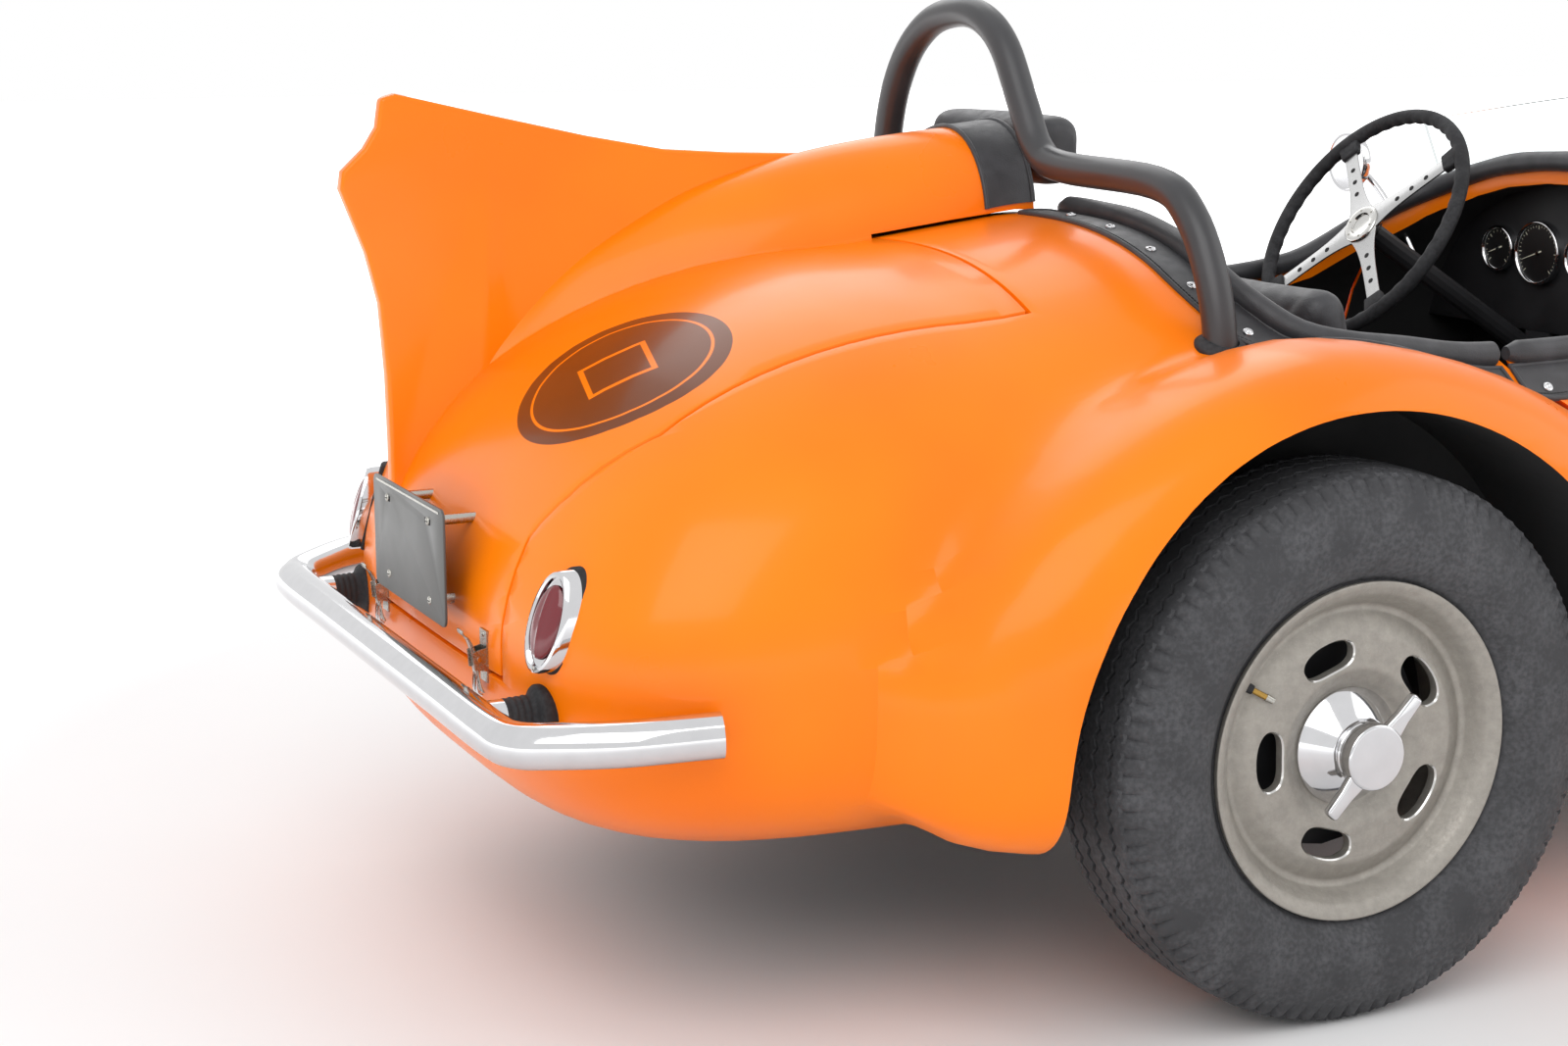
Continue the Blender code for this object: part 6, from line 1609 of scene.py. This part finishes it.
def make_seats():
    """Low bucket seats: a stuffed squab and a leaning back."""
    base = 0.300
    for side, word in SIDES:
        y = side * SEAT_Y
        width = 2 * SEAT_HALF_WIDTH
        squab = padded_box("squab", (0.400, width, 0.130), 0.030, 0.006, 0.010,
                           Matrix.Translation((0.430, y, base + 0.080)) @ Matrix.Rotation(math.radians(-5), 4,
                                                                                          "Y"))
        back = padded_box("back", (0.080, width, 0.520), 0.030, 0.006, 0.010,
                          Matrix.Translation((0.222, y, 0.640)) @ Matrix.Rotation(math.radians(-13), 4, "Y"))
        place(squab, "squab_" + word, "chassis", ["seat_" + word], crease=False)
        place(back, "backrest_" + word, "chassis", ["seat_" + word], crease=False)


def make_headrest():
    """Round-cornered pad in front of the fairing, with a piped collar wrapped over the fairing's mouth."""
    size = (PAD_FRONT_X - FAIRING_FRONT_X - 0.002, 2 * PAD_HALF_WIDTH, PAD_TOP_Z - PAD_BOTTOM_Z)
    pad = padded_box("pad", size, 0.030, 0.005, 0.009,
                     Matrix.Translation(((PAD_FRONT_X + FAIRING_FRONT_X) / 2, FAIRING_Y,
                                         (PAD_TOP_Z + PAD_BOTTOM_Z) / 2)))
    place(pad, "head_pad", "boot_lid", ["headrest_pad"], crease=False)
    rings = []
    for k in range(15):
        x = FAIRING_FRONT_X - 0.002 - 0.075 * k / 14
        top = [Vector(p) for p in fairing_ring(x)[:41]]
        lift = 0.0034 * (1 - 0.3 * abs(2 * k / 14 - 1) ** 6)
        outer = []
        for i, p in enumerate(top):
            a, b = top[max(0, i - 1)], top[min(40, i + 1)]
            n = Vector((0, -(b.z - a.z), b.y - a.y)).normalized()
            if n.z < 0 or (abs(n.z) < 0.2 and n.y * (p.y - FAIRING_Y) < 0):
                n = -n
            outer.append(p + n * lift)
        shown = [p for p in outer if p.z > deck_z(p.x, p.y) + 0.008]
        rings.append([p.copy() for p in even_count(shown, 33)])
    parts = []
    for k in (0, 14):
        parts.append(tube("hem", rings[k], sizes().piping, 12, material="leather"))
    closed = [ring + [p + (Vector((p.x, FAIRING_Y, 0.93)) - p).normalized() * 0.004 for p in reversed(ring)]
              for ring in rings]
    parts.append(loft("collar", closed, material="leather"))
    parts.append(stitches([p + Vector((0.009, 0, 0.0002)) for p in rings[13]]))
    place(merged("collar", parts), "head_collar", "boot_lid", [], 40)


def even_count(points, count):
    """The same route with a chosen number of evenly spaced points."""
    length = sum((b - a).length for a, b in zip(points, points[1:]))
    spots = [p for p, _ in evenly(points, length / (count - 1) * 0.99999)]
    return (spots + [points[-1]] * count)[:count]


def column_frame():
    tilt = math.radians(COLUMN_TILT_DEG)
    toward = Vector((-math.cos(tilt), 0, math.sin(tilt)))
    up = Vector((math.sin(tilt), 0, math.cos(tilt)))
    return Vector(WHEEL_CENTRE), toward, up, Vector((0, 1, 0))


def make_steering_wheel():
    """Black rim with finger scallops, four flat brushed spokes set in rubber blocks, and a bolted hub."""
    centre, toward, up, across = column_frame()
    count = 240
    rings = []
    for k in range(count):
        a = 2 * math.pi * k / count
        out = across * math.cos(a) + up * math.sin(a)
        scallop = 0.0022 * (0.5 - 0.5 * math.cos(48 * a))
        ring = []
        for j in range(20):
            b = 2 * math.pi * j / 20
            inward = max(0.0, -math.cos(b))
            r = STEERING_RIM_RADIUS + 0.0012 - scallop * inward
            ring.append(centre + out * (STEERING_WHEEL_RADIUS + r * math.cos(b)) + toward * (r * math.sin(b)))
        rings.append(ring)
    parts = [loft("rim", rings, closed=True, material="moulded_rubber")]
    for k in range(4):
        angle = math.radians(45 + 90 * k)
        out = across * math.cos(angle) + up * math.sin(angle)
        beside = toward.cross(out)
        edge = []
        for step in range(17):
            t = step / 16
            distance = 0.018 + (STEERING_WHEEL_RADIUS - 0.012 - 0.018) * t
            half = 0.0125 + 0.016 * (1 - t) ** 5
            edge.append((distance, half))
        plan = [(d, h) for d, h in edge] + [(d, -h) for d, h in reversed(edge)]
        spoke = loft("spoke", [[centre + out * d + beside * h + toward * lift for d, h in plan]
                               for lift in (-0.0016, 0.0016)],
                     material="brushed_alloy")
        rounded_edges(spoke, 0.0006, 2, 60)
        parts.append(spoke)
        for distance in (STEERING_WHEEL_RADIUS - 0.021,):
            block = [(distance - 0.014, 0.0165), (distance + 0.016, 0.0205), (distance + 0.016, -0.0205),
                     (distance - 0.014, -0.0165)]
            piece = loft("block", [[centre + out * d + beside * h + toward * lift for d, h in block]
                                   for lift in (-0.0065, 0.0065)],
                         material="moulded_rubber")
            parts.append(rounded_edges(piece, 0.0035, 3, 30))
        # Thin near-black discs stand for dimples in each spoke: painted shade.
        for distance in (0.075, 0.105, 0.135):
            spot = centre + out * distance + toward * 0.0015
            parts.append(rod("dimple", spot, spot + toward * 0.0008, 0.0048, 0.0040, 20, "lining_and_shade"))
    hub_start = centre - toward * 0.0118
    hub = turned("hub", softened([(0.0, 0.0), (0.0, 0.034), (0.016, 0.034), (0.018, 0.031), (0.018, 0.020),
                                  (0.013, 0.0185),
                                  (0.013, 0.0)], 0.001, 2), (0, 0, 0), axis="X", steps=48,
                 material="turned_alloy")
    hub.data.transform(Matrix.Translation(hub_start) @ toward.to_track_quat("X", "Z").to_matrix().to_4x4())
    parts.append(hub)
    for k in range(6):
        a = math.radians(60 * k)
        spot = centre + (across * math.cos(a) + up * math.sin(a)) * 0.0258 + toward * 0.0055
        parts.append(slotted_screw(spot, toward, 0.0032))
    place(merged("wheel", parts), "helm", "steering_wheel", ["steering_wheel"])


def gauge(y, z, radius, figures, face):
    """Instrument with a polished bezel, printed marks and a needle."""
    x = DASH_X - 0.013
    parts = [turned("bezel", softened([(0.013, radius), (0.001, radius), (-0.0015, radius - 0.0015),
                                       (-0.0020, radius - 0.0040),
                                       (0.0015, radius - 0.0065), (0.0040, radius - 0.0070)], 0.0012,
                                      3) + [(0.013, radius - 0.007)],
                    (x, y, z), axis="X", steps=72, material="polished_steel"),
             rod("face", (x + 0.004, y, z), (x + 0.010, y, z), radius - 0.0062, steps=64, material=face)]
    mark = "gauge_mark" if face == "gauge_face" else "gauge_face"
    for k in range(figures):
        a = math.radians(225 - 270 * k / (figures - 1))
        long = k % 5 == 0
        reach = radius - 0.0085
        inner = reach - (0.0062 if long else 0.0032)
        wide = 0.0006 if long else 0.00035
        direction, beside = Vector((0, -math.cos(a), math.sin(a))), Vector((0, math.sin(a), math.cos(a)))
        ring = [Vector((x + 0.0039, y, z)) + direction * d + beside * w
                for d, w in ((inner, -wide), (reach, -wide), (reach, wide), (inner, wide))]
        parts.append(loft("mark", [ring, [p + Vector((0.0004, 0, 0)) for p in ring]], material=mark))
    a = math.radians(200)
    direction, beside = Vector((0, -math.cos(a), math.sin(a))), Vector((0, math.sin(a), math.cos(a)))
    ring = [Vector((x + 0.0028, y, z)) + direction * d + beside * w
            for d, w in ((-0.010, -0.0012), (radius - 0.014, -0.0003), (radius - 0.014, 0.0003),
                         (-0.010, 0.0012))]
    parts.append(loft("needle", [ring, [p + Vector((0.0006, 0, 0)) for p in ring]], material=mark))
    parts.append(rod("boss", (x + 0.0015, y, z), (x + 0.004, y, z), 0.0042, steps=24,
                     material="turned_alloy"))
    return parts


def make_dashboard():
    """Vinyl panel with five instruments, a grey switch plate and turned knobs."""
    dash = box("dash", (DASH_X, -1.0, 0.700), (DASH_X + 0.020, 1.0, 1.2), "dash_vinyl")
    keep(dash, plain_shell("space", WALL + SEAT_GAP, "dash_vinyl", 72))
    rounded_edges(dash, 0.0012)
    parts = [dash]
    for y, radius, figures, face in ((0.36, 0.040, 16, "gauge_face"), (0.259, 0.055, 31, "gauge_face"),
                                     (0.15, 0.040, 16, "grey_face"),
                                     (0.03, 0.055, 31, "gauge_face"), (-0.08, 0.032, 11, "gauge_face")):
        parts += gauge(y, 0.835, radius, figures, face)
    plate = box("switch_plate", (DASH_X - 0.0025, -0.155, 0.722), (DASH_X, 0.075, 0.768), "plate_enamel")
    parts.append(rounded_edges(plate, 0.0012))
    for k in range(5):
        y = -0.130 + 0.045 * k
        parts.append(turned("knob", softened([(-0.024, 0.0), (-0.024, 0.0075), (-0.020, 0.0085),
                                              (-0.012, 0.0070), (-0.010, 0.0035),
                                              (0.0, 0.0035)], 0.001, 2), (DASH_X, y, 0.745), axis="X",
                            steps=28,
                            material="moulded_rubber" if k % 2 else "polished_steel"))
    parts.append(turned("key", softened([(-0.012, 0.0), (-0.012, 0.009), (-0.004, 0.011), (0.0, 0.011)],
                                        0.001, 2),
                        (DASH_X, 0.095, 0.745), axis="X", steps=28, material="polished_steel"))
    place(merged("dash", parts), "dash_panel", "chassis", ["dashboard"])


def screen_ring(share, low, half):
    """Section of the curved screen at a share of its half width."""
    y = SCREEN_HALF_WIDTH * share
    x = SCREEN_X - SCREEN_BEND * (1 - rounded(share * 0.97, 2.0)) * 1.3
    top = SCREEN_SIDE_Z + (SCREEN_TOP_Z - SCREEN_SIDE_Z) * (1 - share * share)
    lean = 0.45
    return [(x + half, y, low), (x + half - lean * (top - low), y, top),
            (x - half - lean * (top - low), y, top), (x - half, y, low)]


def make_screen():
    """Curved clear sheet in a polished base strip with a rubber seat."""
    shares = [-math.cos(math.pi * k / 60) for k in range(61)]
    screen = loft("screen", [screen_ring(s, 0.86, SCREEN_THICKNESS / 2) for s in shares],
                  material="clear_sheet")
    cut(screen, plain_shell("space", -SEAT_GAP, "clear_sheet", 96))
    bm = bmesh.new()
    bm.from_mesh(screen.data)
    low_part = [v for v in bm.verts if v.co.z < top_z(v.co.x, v.co.y) - 0.004]
    bmesh.ops.delete(bm, geom=low_part, context="VERTS")
    bm.to_mesh(screen.data)
    bm.free()
    place(screen, "clear_screen", "chassis", ["windscreen"])
    foot = []
    for s in shares[3:-3]:
        y = SCREEN_HALF_WIDTH * s
        x = SCREEN_X - SCREEN_BEND * (1 - rounded(s * 0.97, 2.0)) * 1.3
        for _ in range(12):
            z = top_z(x, y)
            x = SCREEN_X - SCREEN_BEND * (1 - rounded(s * 0.97, 2.0)) * 1.3 - 0.45 * (z - 0.86)
        foot.append(Vector((x, y, top_z(x, y) + 0.003)))
    parts = [tube("strip", foot, 0.0075, 16, material="moulded_rubber")]
    for sign in (-1, 1):
        parts.append(tube("bead", [p + Vector((sign * 0.0085, 0, 0.001)) for p in foot], 0.0035, 12,
                          material="polished_steel"))
    for spot, _ in list(evenly(foot, 0.12))[1:-1]:
        parts.append(slotted_screw(spot + Vector((-0.013, 0, 0.0005)), (-0.35, 0, 1), 0.0045))
    place(merged("strip", parts), "screen_base", "chassis", [], 40)


def make_mirror():
    """Round polished mirror on a slim stalk with a domed foot."""
    shell = turned("head", softened([(-0.012, 0.0), (-0.0125, 0.047), (-0.0145, 0.0500), (-0.0125, 0.0525),
                                     (0.004, 0.0500),
                                     (0.014, 0.037), (0.022, 0.016), (0.024, 0.0)], 0.006, 4),
                   (0.955, 0.590, 0.975), axis="X",
                   steps=72, material="polished_steel")
    stalk = tube("stalk", smooth_route([(0.965, 0.590, 0.970), (0.980, 0.545, 0.930), (0.992, 0.490, 0.865),
                                        (0.998, 0.455, 0.815)], 6),
                 lambda s: 0.0052 + 0.0022 * s, 20, material="polished_steel")
    foot = turned("foot", softened([(0.0, 0.0), (0.0, 0.019), (0.004, 0.0185), (0.012, 0.010), (0.016, 0.0)],
                                   0.003, 4), (0, 0, 0),
                  axis="X", steps=40, material="polished_steel")
    n = surface_normal(0.998, 0.458)
    foot.data.transform(Matrix.Translation((0.998, 0.458,
                                            top_z(0.998, 0.458) - 0.001))
                        @ n.to_track_quat("X", "Z").to_matrix().to_4x4())
    place(merged("mirror", [shell, stalk, foot]), "door_mirror", "chassis", ["mirror"])


def make_headlamp(side, word):
    """Polished bowl with a rolled rim, a reflector and a domed glass."""
    r = HEADLAMP_RADIUS
    centre = (HEADLAMP_X, side * HEADLAMP_Y, HEADLAMP_Z)
    bowl = turned("bowl", softened([(0.0, 0.0), (0.0, 0.030), (0.03, 0.062), (0.08, r - 0.006),
                                    (0.128, r - 0.002), (0.130, r), (0.148, r),
                                    (0.152, r - 0.004), (0.150, r - 0.011), (0.140, r - 0.012),
                                    (0.136, r - 0.014), (0.120, 0.066),
                                    (0.095, 0.036), (0.085, 0.0)], 0.003, 3), centre, axis="X", steps=80,
                  material="polished_steel")
    glass = turned("glass", softened([(0.138, 0.0), (0.138, r - 0.0125), (0.143, r - 0.0122), (0.154, 0.052),
                                      (0.160, 0.026),
                                      (0.1615, 0.0)], 0.004, 4), centre, axis="X", steps=80,
                   material="lamp_glass")
    bulb = turned("bulb", softened([(0.090, 0.0), (0.090, 0.010), (0.108, 0.011), (0.118, 0.007),
                                    (0.121, 0.0)], 0.002, 3), centre,
                  axis="X", steps=28, material="lamp_glass")
    inner = side_y(HEADLAMP_X + 0.05, HEADLAMP_Z) - 0.02
    arm = rod("arm", (HEADLAMP_X + 0.05, side * inner, HEADLAMP_Z - 0.02),
              (HEADLAMP_X + 0.06, side * (HEADLAMP_Y - 0.05), HEADLAMP_Z),
              0.020, 0.016, 28, "polished_steel")
    place(merged("lamp", [bowl, glass, bulb, arm]), "front_lamp_" + word, "chassis",
          ["headlamp_" + word])


def make_grille():
    """Oval polished rim with nine slim upright bars and a cross bar behind them."""
    rim = (MOUTH_HALF_WIDTH - SEAT_GAP, MOUTH_HALF_HEIGHT - SEAT_GAP)
    ring = oval_x(GRILLE_X, GRILLE_X + 0.014, *rim, MOUTH_Z, material="polished_steel")
    cut(ring, oval_x(GRILLE_X - 0.01, GRILLE_X + 0.03, rim[0] - 0.014, rim[1] - 0.014, MOUTH_Z,
                     material="polished_steel"))
    rounded_edges(ring, 0.004, 4, 40)
    parts = [ring]
    pitch = 2 * (rim[0] - 0.007) / 10
    for k in range(9):
        y = (k - 4) * pitch
        reach = (rim[1] - 0.007) * rounded(y / (rim[0] - 0.007), 2.0)
        bar = box("bar", (GRILLE_X + 0.002, y - 0.003, MOUTH_Z - reach),
                  (GRILLE_X + 0.012, y + 0.003, MOUTH_Z + reach), "polished_steel")
        parts.append(rounded_edges(bar, 0.002, 3, 40))
    parts.append(rod("cross", (GRILLE_X + 0.004, -rim[0] + 0.006, MOUTH_Z),
                     (GRILLE_X + 0.004, rim[0] - 0.006, MOUTH_Z), 0.0035,
                     steps=20, material="plated_steel"))
    place(merged("grille", parts), "grille_bars", "chassis", ["grille"])


NODE_FINISH = {
    "chassis_paint": ["frame_rail_", "cross_tube_", "front_axle", "rear_axle", "knuckle_", "radiator",
                      "steering_column"],
    "cast_iron": ["engine_block"], "exhaust_steel": ["exhaust"], "plated_steel": ["track_rod"],
               "floor_mat": ["floor_pan"]}


def finish_nodes():
    """Give every piece of the chassis that stays in view its own finish."""
    for material, starts in NODE_FINISH.items():
        for name, node in NODES.items():
            if any(name.startswith(start) for start in starts):
                node.data.materials.clear()
                node.data.materials.append(MATERIALS[material])


def make_stage():
    """Pale floor, even light all round with three broad lamps, and the camera."""
    scene = bpy.context.scene
    tree, shader, coords = new_material("pale_floor", Roughness=0.62, Specular_IOR_Level=0.2,
                                        Emission_Color=(1, 1, 1))
    tree.links.new(blend_colours(tree, noise(tree, coords, 900.0), linear("#F4F3F2"), linear("#EFEEED")),
                   shader.inputs["Base Color"])
    away = add(tree, "ShaderNodeVectorMath", {0: coords}, operation="LENGTH").outputs["Value"]
    tree.links.new(ramp(tree, away, 2.4, 6.0), shader.inputs["Emission Strength"])
    bm = bmesh.new()
    bmesh.ops.create_grid(bm, x_segments=1, y_segments=1, size=30.0)
    floor = mesh_object("floor", bm, "pale_floor")
    floor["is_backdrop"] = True
    world = bpy.data.worlds.new("studio")
    scene.world = world
    world.use_nodes = True
    sky = world.node_tree
    background = sky.nodes["Background"]
    path = add(sky, "ShaderNodeLightPath")
    seen = maths(sky, "MAXIMUM", path.outputs["Is Camera Ray"],
                 maths(sky, "MAXIMUM", path.outputs["Is Glossy Ray"], path.outputs["Is Transmission Ray"]))
    sky.links.new(blend_colours(sky, seen, (0.80, 0.81, 0.83), (1.0, 1.0, 1.0)), background.inputs["Color"])
    lamps = (("key", (-4.5, -4.0, 5.5), 5.5, 210), ("fill", (4.8, -3.0, 4.2), 5.0, 70),
             ("back", (0.5, 5.0, 4.8), 5.0, 90))
    for name, spot, size, watts in lamps:
        data = bpy.data.lights.new(name, "AREA")
        data.energy = watts
        data.size = size
        lamp = bpy.data.objects.new(name, data)
        lamp.location = spot
        lamp.rotation_euler = (Vector((0, 0, 0.5)) - Vector(spot)).to_track_quat("-Z", "Y").to_euler()
        scene.collection.objects.link(lamp)
    data = bpy.data.cameras.new("camera")
    data.lens = CAMERA_LENS
    data.sensor_width = 36
    camera = bpy.data.objects.new("camera", data)
    camera.location = Vector(CAMERA_PLACE) + Vector((SHIFT, 0, 0))
    camera.rotation_euler = Vector(CAMERA_VIEW).to_track_quat("-Z", "Y").to_euler()
    scene.collection.objects.link(camera)
    scene.camera = camera
    scene.view_settings.view_transform = "Standard"


class RoadsterOperator:
    """Shared settings of the builders below."""
    bl_options = {"REGISTER", "UNDO"}

    def execute(self, context):
        self.build()
        return {"FINISHED"}


class ROADSTER_OT_materials(RoadsterOperator, bpy.types.Operator):
    """Make the enamel, hide, rubber and metal finishes"""
    bl_idname = "roadster.materials"
    bl_label = "Materials"

    def build(self):
        make_materials()
        coating("thread", linear("#151516"), 0.6, 0.8, 1.0, 0.1)


class ROADSTER_OT_panels(RoadsterOperator, bpy.types.Operator):
    """Build the body's panels, doors, bonnet, boot lid with its fairing and fin, and the front wings"""
    bl_idname = "roadster.panels"
    bl_label = "Panels"

    def build(self):
        cavity = cavity_solid()
        make_tail(cavity)
        make_centre(cavity)
        make_front(cavity)
        make_bonnet(cavity)
        make_doors(cavity)
        make_lid(cavity)
        bpy.data.objects.remove(cavity)
        for side, word in SIDES:
            make_front_wing(side, word)


class ROADSTER_OT_wheels(RoadsterOperator, bpy.types.Operator):
    """Build the four tyres, cast wheels and knock-off caps"""
    bl_idname = "roadster.wheels"
    bl_label = "Wheels"

    def build(self):
        make_wheels()


class ROADSTER_OT_rear(RoadsterOperator, bpy.types.Operator):
    """Build the bumper, lamps, blank plate and latches at the tail"""
    bl_idname = "roadster.rear"
    bl_label = "Tail Fittings"

    def build(self):
        make_bumper()
        make_plate()
        for side, word in SIDES:
            make_tail_lamp(side, word)
            make_latch(side, word)


class ROADSTER_OT_hoop(RoadsterOperator, bpy.types.Operator):
    """Build the roll hoop and its grommets"""
    bl_idname = "roadster.hoop"
    bl_label = "Hoop"

    def build(self):
        make_hoop()


class ROADSTER_OT_leather(RoadsterOperator, bpy.types.Operator):
    """Build the padded rolls, snapped bands, door tops, headrest and seats"""
    bl_idname = "roadster.leather"
    bl_label = "Leather"

    def build(self):
        make_cockpit_leather()
        make_headrest()
        make_seats()


class ROADSTER_OT_cabin(RoadsterOperator, bpy.types.Operator):
    """Build the steering wheel and the dashboard with its instruments"""
    bl_idname = "roadster.cabin"
    bl_label = "Cabin"

    def build(self):
        make_steering_wheel()
        make_dashboard()


class ROADSTER_OT_screen(RoadsterOperator, bpy.types.Operator):
    """Build the curved screen, its base and the mirror"""
    bl_idname = "roadster.screen"
    bl_label = "Screen and Mirror"

    def build(self):
        make_screen()
        make_mirror()


class ROADSTER_OT_nose(RoadsterOperator, bpy.types.Operator):
    """Build the headlamps and the grille"""
    bl_idname = "roadster.nose"
    bl_label = "Nose Fittings"

    def build(self):
        make_grille()
        for side, word in SIDES:
            make_headlamp(side, word)


class ROADSTER_OT_chassis(RoadsterOperator, bpy.types.Operator):
    """Finish the frame, axles, engine, exhaust and floor"""
    bl_idname = "roadster.chassis"
    bl_label = "Chassis Finish"

    def build(self):
        finish_nodes()


class ROADSTER_OT_stage(RoadsterOperator, bpy.types.Operator):
    """Set the floor, the lamps and the camera"""
    bl_idname = "roadster.stage"
    bl_label = "Stage"

    def build(self):
        make_stage()


OPERATORS = (ROADSTER_OT_materials, ROADSTER_OT_panels, ROADSTER_OT_wheels, ROADSTER_OT_rear,
             ROADSTER_OT_hoop,
             ROADSTER_OT_leather, ROADSTER_OT_cabin, ROADSTER_OT_screen, ROADSTER_OT_nose,
             ROADSTER_OT_chassis,
             ROADSTER_OT_stage)


class ROADSTER_PT_sidebar(bpy.types.Panel):
    """Lists the car's sizes, colours and builders"""
    bl_idname = "ROADSTER_PT_sidebar"
    bl_label = "Roadster"
    bl_space_type = "VIEW_3D"
    bl_region_type = "UI"
    bl_category = "Roadster"

    def draw(self, context):
        for group in (context.scene.roadster_sizes, context.scene.roadster_colours):
            column = self.layout.column()
            for name in group.__annotations__:
                column.prop(group, name)
        for operator in OPERATORS:
            self.layout.operator(operator.bl_idname)


CLASSES = (RoadsterColours, RoadsterSizes, *OPERATORS, ROADSTER_PT_sidebar)


def register():
    for cls in CLASSES:
        bpy.utils.register_class(cls)
    bpy.types.Scene.roadster_sizes = PointerProperty(type=RoadsterSizes)
    bpy.types.Scene.roadster_colours = PointerProperty(type=RoadsterColours)


def unregister():
    del bpy.types.Scene.roadster_colours
    del bpy.types.Scene.roadster_sizes
    for cls in reversed(CLASSES):
        bpy.utils.unregister_class(cls)


def main():
    register()
    for operator in OPERATORS:
        name = operator.bl_idname.split(".")[1]
        getattr(bpy.ops.roadster, name)()
    sides = [[list(corner) for corner in bounds] for bounds in (cad_box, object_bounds())]


if __name__ == "__main__":
    main()
